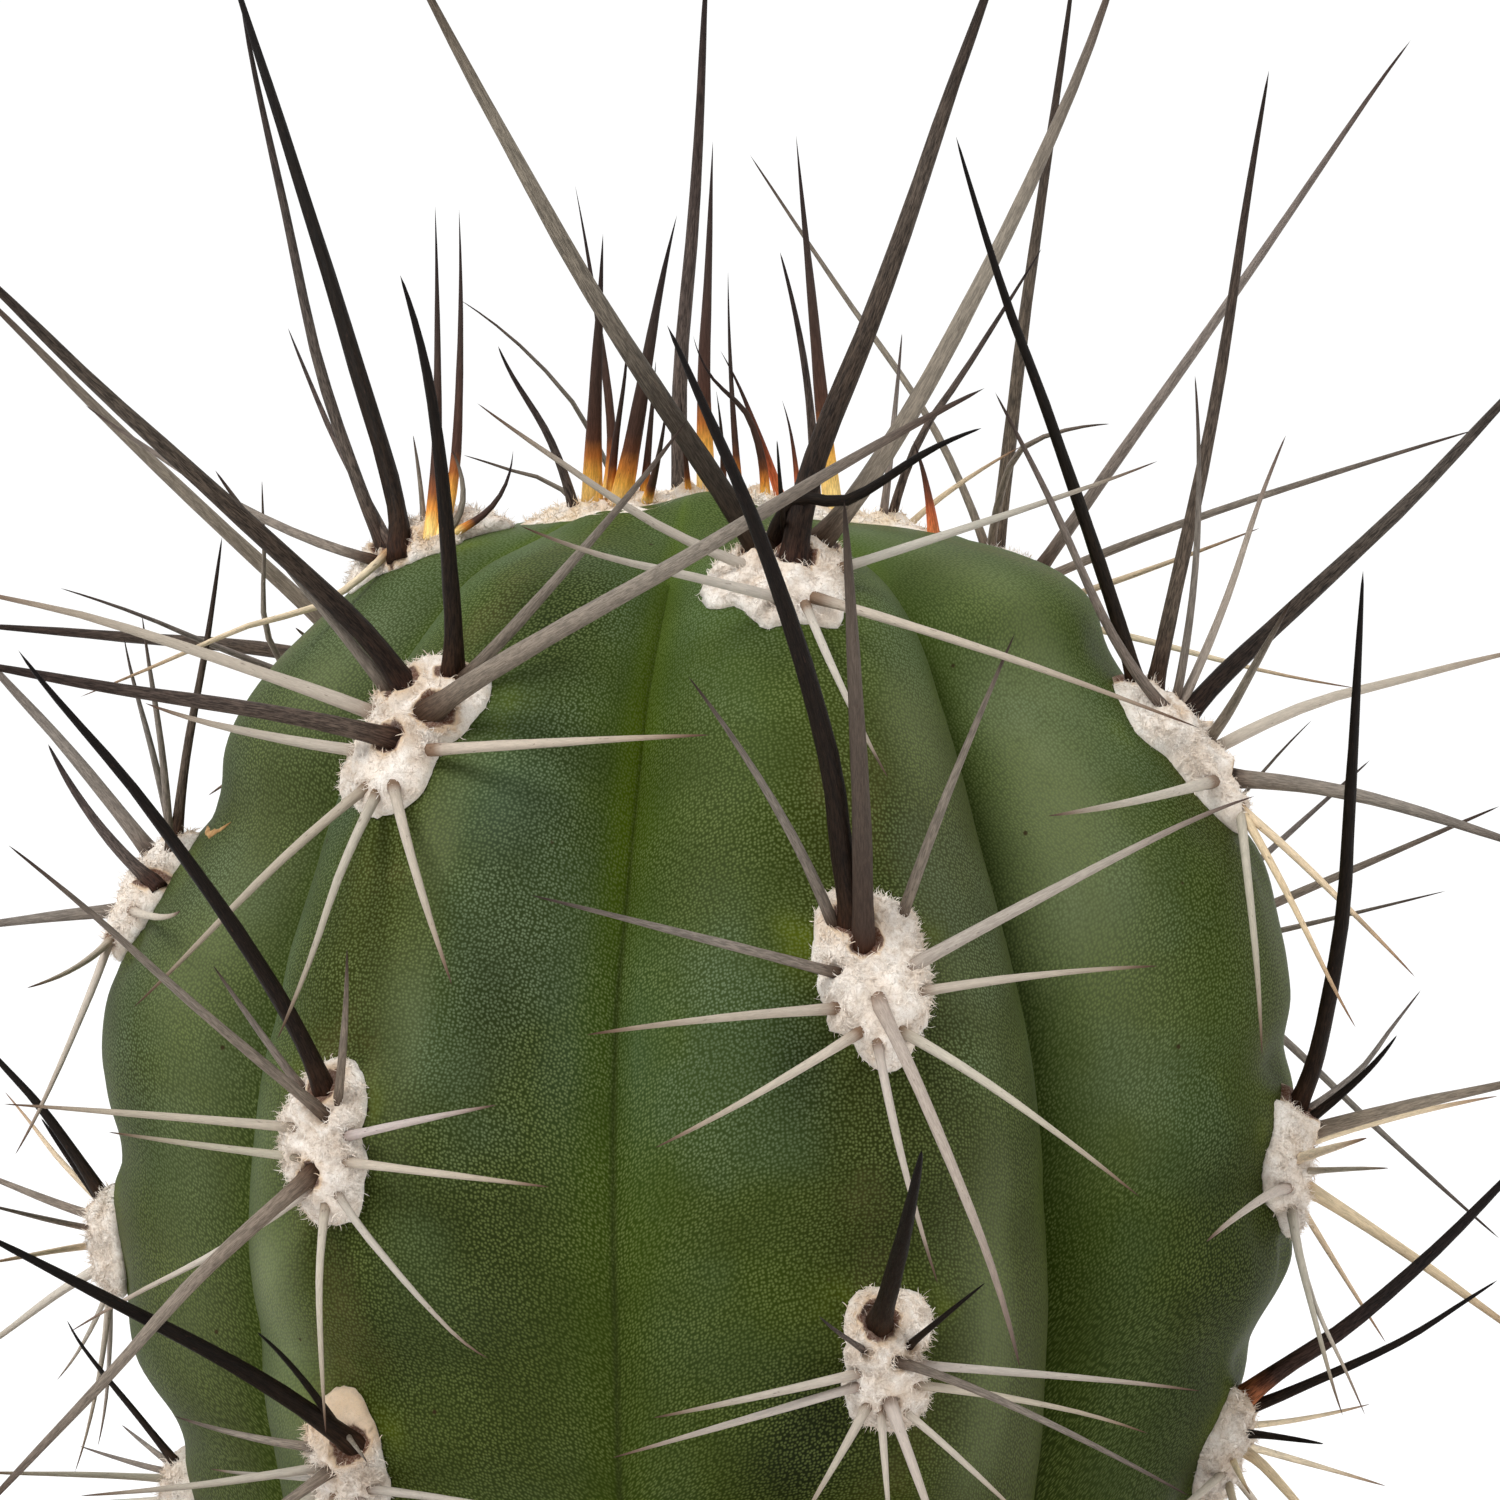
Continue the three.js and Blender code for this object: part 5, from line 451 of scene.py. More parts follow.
    # old corky skin by the soil
    cork = m.math("ADD", m.ramp(low, 0.74, 0.86), m.math("MULTIPLY", m.math("SUBTRACT", m.noise(160, 4.0), 0.5), 0.9))
    cork = m.math("MULTIPLY", m.ramp(cork, 0.35, 0.8), m.ramp(low, 0.6, 0.8))
    skin = m.mix(m.math("MULTIPLY", cork, 0.8), skin, srgb(126, 110, 82))
    m.shader(
        Base_Color=skin,
        Roughness=m.ramp(patch, 0.3, 0.7, 0.44, 0.56),
        Specular_IOR_Level=0.045,
        Normal=m.bump(dot, 0.03, 0.6, m.bump(m.noise(420, 3.0), 0.12, 0.3)),
    )
    return m.mat


def felt_material(name, warm):
    m = Nodes(name)
    tan = m.attribute("tan")
    deep = m.attribute("deep")
    base = m.mix(m.ramp(m.noise(700, 3.0), 0.3, 0.7), srgb(252, 246, 238), srgb(*warm))
    # painted shade: darker where the felt lies deep, round the spines and under its rim
    base = m.mix(m.math("MULTIPLY", deep, 0.6), base, srgb(186, 164, 146))
    stain = m.math("ADD", tan, m.math("MULTIPLY", m.math("SUBTRACT", m.noise(2200, 3.0), 0.5), 0.35))
    base = m.mix(m.ramp(stain, 0.1, 0.5, 0.0, 0.7), base, srgb(206, 172, 128))
    base = m.mix(m.ramp(stain, 0.5, 0.85, 0.0, 0.95), base, srgb(84, 44, 26))
    thread = m.noise(2600, 4.0, 0.75, distortion=1.2)
    curds = m.cells(2600, "F1")
    # painted shade at the curds' edges, which the bump sinks
    base = m.mix(m.ramp(curds, 0.4, 0.9, 0.0, 0.08), base, srgb(214, 198, 182))
    fuzz = m.noise(8200, 3.0, 0.7, distortion=0.8)
    # painted shade in the low places of the fuzz
    base = m.mix(m.ramp(fuzz, 0.53, 0.36, 0.0, 0.38), base, srgb(190, 170, 152))
    m.shader(
        Base_Color=base,
        Roughness=0.95,
        Specular_IOR_Level=0.1,
        Sheen_Weight=0.2,
        Sheen_Roughness=0.5,
        Normal=m.bump(fuzz, 0.07, 0.6, m.bump(thread, 0.13, 0.6, m.bump(curds, -0.06, 0.4))),
    )
    return m.mat


def spine_material():
    m = Nodes("spine")
    tone = m.attribute("tone", "Color")
    grain = m.attribute("grain", "Vector")  # round and along each spine, in mm
    coarse = m.attribute("coarse")  # how strongly it is streaked
    fine = m.noise(9.0, 3.0, 0.7, m.scaled((1.0, 1.0, 0.17), grain))
    broad = m.noise(2.2, 3.0, 0.6, m.scaled((1.0, 1.0, 0.3), grain))
    pick = m.ramp(m.math("ADD", m.math("MULTIPLY", fine, 0.72), m.math("MULTIPLY", broad, 0.28)), 0.38, 0.64)
    light = m.math("ADD", m.math("MULTIPLY", m.math("MULTIPLY", m.math("SUBTRACT", pick, 0.4), coarse), 1.7), 1.0)
    col = m.mix(1.0, tone, light, "MULTIPLY")
    fleck = m.ramp(m.noise(5.0, 2.0, 0.5, m.scaled((1.0, 1.0, 0.4), grain)), 0.66, 0.74)
    col = m.mix(m.math("MULTIPLY", fleck, 0.45), col, srgb(66, 46, 36))
    m.shader(
        Base_Color=col,
        Roughness=m.ramp(broad, 0.3, 0.7, 0.5, 0.7),
        Specular_IOR_Level=0.1,
        Normal=m.bump(fine, 0.06, 0.6),
    )
    return m.mat


def clay_material():
    m = Nodes("terracotta")
    grain = m.noise(1400, 4.0, 0.7)
    blotch = m.noise(26, 5.0, 0.6, distortion=0.4)
    base = m.mix(m.ramp(blotch, 0.32, 0.68), srgb(168, 94, 62), srgb(196, 122, 86))
    base = m.mix(m.ramp(grain, 0.35, 0.72, 0.0, 0.4), base, srgb(140, 74, 50))
    speck = m.ramp(m.cells(700, "F1"), 0.16, 0.08)
    base = m.mix(m.math("MULTIPLY", speck, 0.5), base, srgb(112, 62, 46))
    # lime left by watering, strongest low on the wall and on the rim's edge
    lime = m.attribute("lime")
    bloom = m.math("MULTIPLY", lime, m.ramp(m.noise(55, 6.0, 0.7), 0.42, 0.7))
    base = m.mix(m.math("MULTIPLY", bloom, 0.75), base, srgb(222, 202, 184))
    turned = m.noise(1.0, 2.0, 0.5, m.scaled((2.0, 2.0, 900.0)))
    m.shader(
        Base_Color=base,
        Roughness=m.ramp(blotch, 0.3, 0.7, 0.82, 0.95),
        Specular_IOR_Level=0.2,
        Normal=m.bump(grain, 0.12, 0.5, m.bump(turned, 0.2, 0.35)),
    )
    return m.mat


def stone_material():
    m = Nodes("grit")
    tone = m.attribute("tone", "Color")
    grain = m.noise(1700, 4.0, 0.7)
    pits = m.ramp(m.cells(1500, "F1"), 0.1, 0.34)
    col = m.mix(1.0, tone, m.mix(m.ramp(grain, 0.3, 0.7), (0.66, 0.65, 0.64), (1.2, 1.2, 1.2)), "MULTIPLY")
    # painted shade in the pits, which the bump sinks
    col = m.mix(pits, m.mix(1.0, col, (0.55, 0.54, 0.52), "MULTIPLY"), col)
    m.shader(Base_Color=col, Roughness=0.9, Specular_IOR_Level=0.25, Normal=m.bump(grain, 0.25, 0.7, m.bump(pits, 0.2, 0.5)))
    return m.mat


def soil_material():
    m = Nodes("soil")
    crumbs = m.cells(520, "F1")
    grain = m.noise(900, 5.0, 0.7)
    col = m.mix(m.ramp(crumbs, 0.1, 0.7), srgb(72, 52, 38), srgb(34, 25, 18))
    col = m.mix(m.ramp(grain, 0.55, 0.75, 0.0, 0.6), col, srgb(112, 90, 68))
    m.shader(Base_Color=col, Roughness=0.95, Specular_IOR_Level=0.15, Normal=m.bump(crumbs, 0.8, 0.8, m.bump(grain, 0.3, 0.6)))
    return m.mat


def cork_material():
    m = Nodes("scar")
    base = m.mix(m.ramp(m.noise(1500, 4.0, 0.6), 0.3, 0.7), srgb(150, 112, 70), srgb(196, 158, 108))
    m.shader(Base_Color=base, Roughness=0.8, Specular_IOR_Level=0.2, Normal=m.bump(m.noise(2600, 3.0), 0.1, 0.7))
    return m.mat


SKIN = skin_material()
FELT = felt_material("felt", (240, 227, 212))
CROWN_FELT = felt_material("crown_felt", (240, 220, 190))
SPINE = spine_material()
CLAY = clay_material()
GRIT = stone_material()
SOIL = soil_material()
SCAR = cork_material()

# ------------------------------------------------------------- areoles, spines
# centre on the crest, outward direction, direction up the rib,
# pad (half width, half height, thickness), then the spines as
# (c central or r radial, tone, base radius, points of the centre line)
AREOLES = [
    ("A1", ((6.68, -18.85, 205), (0.1743, -0.4536, 0.874), (-0.3135, 0.8159, 0.4859), (3.5, 4.4, 2)), [
        ("c", "v", 0.93, [(3.9, -18.14, 206.77), (0.74, -19.01, 211.77), (-5.27, -20.65, 221.05), (-11.5, -22.84, 232.32), (-14.32, -23.92, 237.75), (-16.38, -24.71, 241.79)]),
        ("c", "m", 0.98, [(5.53, -19.38, 206.45), (6.76, -17.93, 212.23), (10.37, -15.64, 221.1), (14.31, -12.78, 232.28), (16.38, -11.34, 237.92), (17.76, -10.3, 241.99)]),
        ("c", "g", 0.85, [(6.95, -16.06, 207.41), (10.38, -15.06, 211.81), (15.69, -13.09, 220.92), (21.21, -10.64, 232.28), (23.41, -9.44, 237.94), (24.69, -8.6, 241.92)]),
        ("c", "k", 0.56, [(4.33, -17.23, 207.26), (5.67, -18.8, 210.03), (8.46, -21.1, 210.17), (13, -24.5, 213.19), (15.77, -26.47, 214.52)]),
        ("c", "k", 0.25, [(5.05, -16.62, 207.55), (4.56, -28.96, 214.02)]),
        ("r", "p", 0.39, [(3.78, -19.31, 206.06), (-2.23, -20.54, 208.86), (-7.99, -21.82, 212.75), (-11.98, -22.74, 215.68)]),
        ("r", "p", 0.39, [(4.81, -21.49, 204.76), (-0.75, -25.05, 206.4), (-5.08, -27.81, 207.67), (-9.28, -30.51, 209.46)]),
        ("r", "p", 0.36, [(8.42, -18.4, 206.23), (17.19, -16.85, 208.94), (22.87, -15.84, 210.79), (26.18, -15.22, 211.99)]),
        ("r", "p", 0.36, [(7.07, -21.87, 204.69), (16.67, -29.9, 202.4), (26.84, -38.58, 199.37)]),
        ("r", "p", 0.33, [(6.3, -22.38, 204.2), (8.51, -31.49, 199.84), (10.41, -38.33, 196.67)]),
    ]),
    ("A2", ((9.59, -32.31, 184.8), (0.2487, -0.8627, 0.4403), (-0.122, 0.4231, 0.8978), (3.3, 4.8, 2.1)), [
        ("c", "k", 0.92, [(8.7, -32.3, 188), (8.03, -34.5, 192.37), (7.21, -37.36, 198.08), (3.88, -43.16, 209.17), (0.05, -48.23, 218.5), (-1.1, -49.66, 221.1)]),
        ("c", "n", 0.7, [(9.25, -32.99, 186.86), (8.96, -36.92, 196.02), (8.38, -41.12, 205.75), (7.97, -43.73, 211.81)]),
        ("c", "w", 0.51, [(9.95, -34.19, 184.2), (14.81, -50.38, 174.73), (16.6, -59.02, 169.43)]),
        ("r", "g", 0.41, [(7.65, -32.3, 187.85), (4.45, -33.38, 194.62), (-0.22, -34.74, 201.74)]),
        ("r", "g", 0.41, [(11.22, -31.27, 187.85), (13.76, -30.28, 194.67), (17.52, -28.98, 203.51)]),
        ("r", "g", 0.4, [(7.88, -33.73, 185.5), (-1.71, -39.59, 188.88), (-8.38, -43.65, 191.16)]),
        ("r", "w", 0.46, [(11.49, -32.81, 185.55), (16.63, -32.49, 188.33), (26.1, -31.94, 193.19), (30.43, -31.74, 194.91)]),
        ("r", "p", 0.35, [(12.34, -32.7, 184.34), (19.31, -33.41, 185.43), (25.15, -34.03, 185.96)]),
        ("r", "p", 0.35, [(7.53, -34.34, 183.69), (0.45, -39.89, 183.95), (-5.45, -44.87, 183.97)]),
        ("r", "p", 0.35, [(8.75, -34.9, 182.33), (3.1, -41.14, 179.99), (-1.84, -46.43, 178.28)]),
        ("r", "p", 0.32, [(9.99, -34.92, 181.74), (11.31, -40.77, 176.06), (12.9, -46.2, 171.04)]),
        ("r", "p", 0.35, [(11.38, -34.24, 182.38), (16.47, -37.15, 179.62), (23.7, -41.65, 174.78)]),
    ]),
    ("A3", ((10.68, -33.39, 164), (0.3039, -0.9487, -0.0873), (0.0266, -0.0831, 0.9962), (2.5, 3.9, 1.8)), [
        ("c", "k", 0.81, [(10.08, -34.8, 166.52), (10.99, -43.39, 172.29), (11.81, -53.94, 179.55)]),
        ("c", "d", 0.24, [(9.3, -34.84, 165.04), (7.59, -42.22, 167.75), (6.7, -46.43, 169.39)]),
        ("c", "k", 0.27, [(11.69, -34.48, 165.19), (12.29, -35.76, 166.04), (15.5, -42.45, 170.32)]),
        ("r", "p", 0.35, [(9, -34.72, 163.75), (3.1, -39.8, 163.53), (-2, -44.31, 163.49)]),
        ("r", "p", 0.35, [(8.96, -34.61, 163.01), (3.12, -39.06, 162.28), (-4.15, -44.85, 161.47)]),
        ("r", "p", 0.35, [(12.12, -34.18, 164.08), (16.66, -34.51, 163.82), (23.42, -35.01, 163.33), (27.51, -35.32, 162.9)]),
        ("r", "p", 0.3, [(12.08, -34.06, 162.97), (19.93, -34.5, 161.78), (24.75, -34.85, 160.42)]),
        ("c", "g", 0.38, [(10.98, -34.74, 164.44), (16.52, -38.07, 163.02), (26.33, -44.38, 159.26)]),
        ("r", "p", 0.33, [(9.45, -34.49, 161.88), (7.96, -36.24, 159.58), (5.78, -38.63, 156.43)]),
        ("r", "p", 0.3, [(10.22, -34.41, 161.5), (10.52, -35.71, 157.53), (10.78, -36.73, 154.35)]),
        ("c", "p", 0.46, [(10.65, -34.53, 162.22), (12.49, -38.82, 157.74), (13.73, -41.96, 154.43)]),
        ("r", "p", 0.3, [(11.33, -34.17, 161.67), (13.96, -34.43, 159.44), (18.32, -34.89, 155.38)]),
    ]),
    ("A4", ((9.13, -28.75, 147.5), (0.3005, -0.9478, -0.1065), (0.0322, -0.1016, 0.9943), (2.5, 3.5, 1.6)), [
        ("c", "d", 0.71, [(10.15, -29.66, 147.41), (18.18, -34.04, 144.77), (26.54, -38.68, 141.48), (36.19, -44.15, 136.93)]),
        ("c", "g", 0.54, [(8.82, -30.09, 147.42), (5.5, -36.3, 145.29), (2.1, -43.01, 142.71), (-1.74, -51.08, 139.24)]),
        ("c", "p", 0.48, [(9.54, -29.99, 148.85), (11.71, -36.71, 149.66), (14.03, -43.93, 150.51), (16.8, -52.54, 151.51)]),
        ("r", "g", 0.38, [(10.44, -29.57, 149.05), (13, -30.58, 151.04), (15.65, -31.93, 153.27), (18.72, -33.87, 156.05)]),
        ("r", "g", 0.33, [(8.75, -30.15, 149.27), (8.09, -33.39, 151.27), (7.6, -36.87, 153.5), (7.28, -41.03, 156.29)]),
        ("r", "p", 0.43, [(10.82, -29.31, 148.17), (14.7, -29.92, 149.75), (19.04, -30.77, 151.06), (24.47, -32.06, 152.12)]),
        ("r", "p", 0.37, [(8.11, -30.19, 148.29), (4.91, -33.45, 150.31), (1.28, -36.77, 152.14), (-3.31, -40.49, 153.9)]),
        ("r", "p", 0.38, [(10.89, -29.19, 147.36), (14.68, -29.31, 147.27), (18.63, -29.16, 147.1), (23.2, -28.6, 146.83)]),
        ("r", "p", 0.37, [(7.94, -30.11, 147.28), (4.9, -32.77, 147.07), (1.68, -35.66, 146.69), (-2.1, -39.19, 146.04)]),
        ("r", "p", 0.36, [(10.37, -29.22, 145.79), (13.85, -29.34, 142.54), (17.38, -29.61, 138.86), (21.33, -30.13, 134.22)]),
        ("r", "p", 0.34, [(8.54, -29.8, 145.6), (6.65, -31.46, 141.87), (4.54, -33.33, 137.96), (1.92, -35.67, 133.41)]),
        ("r", "p", 0.35, [(9.44, -29.5, 145.21), (9.92, -30.72, 141.24), (10.43, -31.7, 137.05), (11.04, -32.43, 132.12)]),
        ("r", "d", 0.24, [(9.38, -30, 149.56), (9.55, -31.86, 151.28), (9.87, -33.56, 153.16), (10.41, -35.22, 155.45)]),
    ]),
    ("A5", ((8.67, -27.6, 132), (0.2992, -0.9538, 0.0266), (-0.008, 0.0254, 0.9996), (2.5, 3.6, 1.6)), [
        ("c", "k", 0.64, [(9.69, -28.51, 132.04), (16.3, -34.26, 129.75), (23.69, -40.87, 127.73), (32.89, -49.34, 125.89)]),
        ("c", "g", 0.53, [(8.52, -28.91, 131.7), (8.31, -35.59, 128.76), (7.74, -43.06, 126.06), (6.59, -52.36, 123.46)]),
        ("c", "t", 0.49, [(8.62, -28.78, 133.38), (10.23, -35.62, 134.31), (11.8, -42.35, 135.3), (13.47, -49.58, 136.49)]),
        ("r", "g", 0.37, [(8.64, -28.63, 134.21), (8.25, -31.23, 138.31), (8, -33.82, 142.74), (7.92, -36.63, 148.05)]),
        ("r", "g", 0.38, [(9.61, -28.32, 134.04), (11.43, -29.14, 136.53), (13.15, -30.14, 139.3), (14.87, -31.49, 142.76)]),
        ("r", "p", 0.39, [(10.42, -28.04, 132.51), (14.19, -28.11, 133.66), (18.3, -28.25, 134.6), (23.29, -28.48, 135.34)]),
        ("r", "p", 0.42, [(7.59, -28.92, 132.95), (4.41, -31.73, 134.39), (1.1, -34.53, 136.21), (-2.74, -37.59, 138.75)]),
        ("r", "p", 0.34, [(10.42, -28.06, 131.53), (13.86, -28.89, 130.62), (17.49, -29.47, 129.88), (21.75, -29.76, 129.29)]),
        ("r", "p", 0.38, [(7.5, -28.98, 131.57), (4.38, -31.85, 131.17), (1.04, -34.65, 130.42), (-2.94, -37.62, 129.09)]),
        ("r", "p", 0.35, [(10.19, -28.19, 130.71), (13.49, -28.36, 128.2), (16.98, -28, 125.69), (21.07, -26.84, 122.93)]),
        ("r", "p", 0.37, [(8.4, -28.81, 129.98), (7.01, -31.03, 126.36), (5.76, -33.07, 122.35), (4.59, -35.05, 117.39)]),
        ("r", "p", 0.33, [(9.28, -28.55, 129.83), (10.02, -29.77, 126.83), (11.07, -31.2, 123.66), (12.68, -33.05, 119.97)]),
    ]),
    ("A6", ((8.51, -27.29, 117), (0.2969, -0.9544, 0.0309), (-0.0092, 0.0295, 0.9995), (2.5, 3.6, 1.6)), [
        ("c", "d", 0.63, [(8.59, -28.42, 118.49), (9.2, -37.06, 123.91), (9.63, -45.26, 129.69), (9.83, -53.63, 136.55)]),
        ("c", "g", 0.49, [(9.5, -28.16, 117.95), (16.4, -32.64, 120.99), (23.7, -36.95, 124.03), (32.3, -41.43, 127.4)]),
        ("c", "p", 0.47, [(9.04, -28.42, 116.41), (11.06, -31.39, 111.93), (13.23, -34.6, 107.15), (15.82, -38.46, 101.47)]),
        ("r", "g", 0.36, [(8.47, -28.32, 119.23), (8.37, -30.11, 121.95), (8.18, -31.64, 124.85), (7.82, -32.94, 128.28)]),
        ("r", "g", 0.37, [(9.84, -27.87, 118.65), (12.77, -29.71, 121.48), (15.95, -31.2, 124.3), (19.8, -32.34, 127.38)]),
        ("r", "p", 0.43, [(10.23, -27.74, 117.7), (13.96, -27.96, 119), (17.98, -28.16, 120.23), (22.79, -28.32, 121.49)]),
        ("r", "p", 0.42, [(7.4, -28.62, 117.91), (4.25, -31.13, 119.34), (0.97, -33.86, 121.04), (-2.8, -37.13, 123.29)]),
        ("r", "p", 0.39, [(10.29, -27.75, 116.69), (13.97, -27.91, 116.33), (17.75, -27.67, 115.8), (22.04, -26.82, 114.99)]),
        ("r", "p", 0.37, [(7.32, -28.67, 116.57), (3.8, -31.12, 115.48), (-0.06, -33.57, 114.57), (-4.79, -36.28, 113.82)]),
        ("r", "p", 0.39, [(10, -27.9, 115.64), (13.51, -28.56, 113.52), (17.14, -29.41, 111.07), (21.31, -30.6, 107.92)]),
        ("r", "p", 0.38, [(7.9, -28.59, 115.25), (5.8, -30.56, 112.06), (3.59, -32.55, 108.62), (0.99, -34.75, 104.46)]),
        ("r", "p", 0.35, [(9.66, -28.05, 115.16), (11.6, -28.96, 112.96), (13.52, -29.62, 110.56), (15.59, -29.98, 107.65)]),
    ]),
    ("B1", ((-15.22, -22.23, 196.8), (-0.4611, -0.6741, 0.577), (0.3258, 0.4762, 0.8167), (3.9, 5, 2)), [
        ("c", "m", 0.89, [(-16.04, -20.95, 199.6), (-19.23, -21.05, 203.63), (-27.45, -21.39, 211.33), (-33.74, -21.66, 217.17), (-38.35, -21.84, 221.77), (-42.42, -22.01, 225.63)]),
        ("c", "g", 0.5, [(-16.93, -20.12, 199.18), (-20.27, -20.29, 203.45), (-23.67, -20.5, 207.64), (-26.68, -20.69, 211.84)]),
        ("c", "k", 0.72, [(-13.48, -21.46, 200.63), (-13.43, -22.32, 204.59), (-14.35, -24.85, 215.96), (-15.96, -26.47, 222.86)]),
        ("c", "g", 0.83, [(-14.63, -23.13, 198.55), (-10.65, -27.02, 201.56), (0.46, -37.45, 208.71), (8.25, -44.88, 213.95), (14.94, -51.11, 217.99)]),
        ("r", "g", 0.5, [(-12.94, -22.08, 200.19), (-8.63, -24.26, 204.85), (-3.73, -26.93, 210.61), (-0.31, -28.94, 215.1)]),
        ("r", "p", 0.5, [(-17.73, -20.23, 198.1), (-22.09, -18.83, 199.53), (-33.8, -15.13, 202.95), (-39.68, -13.35, 204.11), (-42.77, -12.44, 204.66)]),
        ("c", "d", 0.72, [(-16.6, -23.18, 197.03), (-21.73, -24.92, 198.43), (-32.35, -28.56, 200.57), (-37.57, -30.34, 201.73), (-41.28, -31.61, 202.56)]),
        ("r", "p", 0.42, [(-18.5, -21.37, 196.15), (-26.41, -19.04, 197.27), (-31.05, -17.58, 198.47)]),
        ("r", "p", 0.41, [(-14.21, -24.64, 196.63), (-4.97, -33.32, 198.14), (0.99, -38.96, 199.04)]),
        ("r", "p", 0.39, [(-18.24, -23.46, 194.34), (-22.91, -27.61, 190.59), (-28.52, -33.19, 185.23), (-30.11, -34.73, 183.78)]),
        ("r", "p", 0.36, [(-17.63, -24.34, 194.02), (-19.31, -29.06, 190.3), (-20.61, -34.06, 186.29), (-22.05, -38.71, 182.69)]),
        ("r", "p", 0.39, [(-16.57, -24.9, 194.51), (-15.1, -31.73, 191.02), (-12.59, -41.46, 186.07)]),
    ]),
    ("B2", ((-20.32, -29.02, 175), (-0.5709, -0.8165, 0.086), (0.0493, 0.0705, 0.9963), (2.6, 4.2, 1.8)), [
        ("c", "k", 0.71, [(-20.22, -29.81, 178.47), (-22.61, -33.17, 184.53), (-28.57, -39.62, 195.13), (-33.46, -44.27, 202.24), (-34.68, -45.5, 204.18)]),
        ("c", "g", 0.46, [(-19.97, -30.37, 177.09), (-26.54, -34.31, 183.59), (-32.02, -37.7, 189.42), (-36.03, -40.1, 193.33)]),
        ("r", "g", 0.33, [(-21.41, -28.96, 178.27), (-23.68, -28.83, 181.35), (-26.34, -28.67, 185.2)]),
        ("r", "g", 0.33, [(-19.46, -30.34, 177.67), (-18.79, -33.54, 182.93), (-18.46, -36.29, 187.27)]),
        ("r", "p", 0.33, [(-18.93, -30.75, 176.06), (-13.99, -37.83, 178.33), (-10.17, -43.38, 180.01)]),
        ("r", "p", 0.33, [(-19.02, -30.88, 174.66), (-11.52, -39.64, 175.42), (-7.41, -44.83, 175.92)]),
        ("r", "p", 0.36, [(-21.62, -29.48, 176.3), (-30.02, -27.42, 176.65), (-38.39, -25.39, 176.91)]),
        ("r", "p", 0.33, [(-21.42, -29.9, 174.71), (-27.2, -28.27, 175.12), (-32.42, -26.78, 175.58)]),
        ("c", "g", 0.6, [(-20.79, -30.38, 173.91), (-26.5, -36.5, 169.5), (-31.29, -42.3, 164.8), (-35.95, -47.8, 160.41), (-37.99, -50.26, 158.43)]),
        ("r", "p", 0.33, [(-20.9, -30.31, 173.1), (-26.02, -29.73, 169.54), (-31.06, -29.14, 166.79), (-34.44, -28.74, 164.74)]),
        ("r", "p", 0.3, [(-20.12, -30.59, 172.28), (-20.32, -32.98, 169.11), (-20.16, -35.15, 166.23), (-19.61, -38.88, 161.31)]),
        ("r", "p", 0.3, [(-19.45, -30.8, 172.87), (-17.32, -34.4, 170.84), (-12.81, -41.28, 167.54), (-10.62, -44.09, 166.6)]),
    ]),
    ("B3", ((-19.12, -26.72, 156.5), (-0.5588, -0.7771, -0.2896), (-0.1691, -0.2351, 0.9571), (2.3, 3.8, 1.7)), [
        ("c", "k", 0.77, [(-18.78, -28.67, 158.36), (-24.26, -33.45, 163.51), (-30.58, -38.66, 168.34), (-36.34, -43.33, 172.64), (-37.85, -44.54, 173.68)]),
        ("c", "k", 0.36, [(-19.74, -28.39, 159.21), (-21.49, -35.64, 164.13), (-23.07, -41.04, 167.39)]),
        ("r", "g", 0.33, [(-20.7, -27.5, 157.93), (-24.73, -26.73, 158.36), (-29.04, -25.83, 159.34)]),
        ("r", "p", 0.36, [(-20.49, -27.42, 156.85), (-24.8, -26.15, 155.89), (-28.26, -25.12, 155.18), (-34.65, -23.19, 154.14)]),
        ("r", "p", 0.25, [(-20.96, -26.25, 155.91), (-24.88, -25.3, 155.91), (-27.17, -24.72, 156.06)]),
        ("c", "g", 0.47, [(-19.78, -28.04, 157.01), (-22.39, -28.73, 155.26), (-26.74, -29.9, 152.16), (-30.53, -30.91, 149.49)]),
        ("r", "p", 0.33, [(-17.91, -28.27, 155.76), (-14.83, -32.42, 156.4), (-8.05, -42.12, 157.89)]),
        ("c", "g", 0.22, [(-19.17, -28.6, 158.88), (-17.25, -41.51, 160.46)]),
        ("r", "p", 0.31, [(-20, -27.14, 155.1), (-20.59, -27.1, 151.45), (-21.02, -27.07, 146.87)]),
        ("r", "p", 0.31, [(-18.57, -27.98, 155.15), (-15.44, -34.01, 153.21), (-12.75, -38.93, 151.73)]),
        ("r", "p", 0.31, [(-20.73, -26.33, 155.36), (-24.4, -24.64, 152.54), (-29.14, -22.48, 149.4)]),
    ]),
    ("B4", ((-16.91, -23.97, 141), (-0.5768, -0.8166, -0.0227), (-0.0131, -0.0185, 0.9997), (2.5, 3.6, 1.6)), [
        ("c", "d", 0.71, [(-18.16, -24.51, 141.79), (-26.62, -29.06, 143.78), (-35.67, -33.64, 145.42), (-46.46, -38.7, 146.71)]),
        ("c", "g", 0.55, [(-17.03, -25.32, 140.95), (-17.1, -32.55, 138.28), (-16.52, -39.72, 135.92), (-14.96, -47.51, 133.77)]),
        ("c", "p", 0.5, [(-17.46, -25.02, 142.47), (-21.1, -30.78, 144.72), (-25.2, -37.48, 147.07), (-30.37, -46.2, 149.81)]),
        ("r", "g", 0.38, [(-18.23, -24.32, 142.83), (-21.29, -24.92, 145.72), (-24.6, -25.81, 148.87), (-28.6, -27.22, 152.71)]),
        ("r", "g", 0.37, [(-16.77, -25.35, 142.79), (-16.16, -27.95, 145.16), (-15.41, -30.34, 147.8), (-14.4, -32.66, 151.09)]),
        ("r", "p", 0.37, [(-16.22, -25.64, 141.4), (-14.7, -30.28, 141.77), (-12.81, -34.76, 142.46), (-10.22, -39.46, 143.69)]),
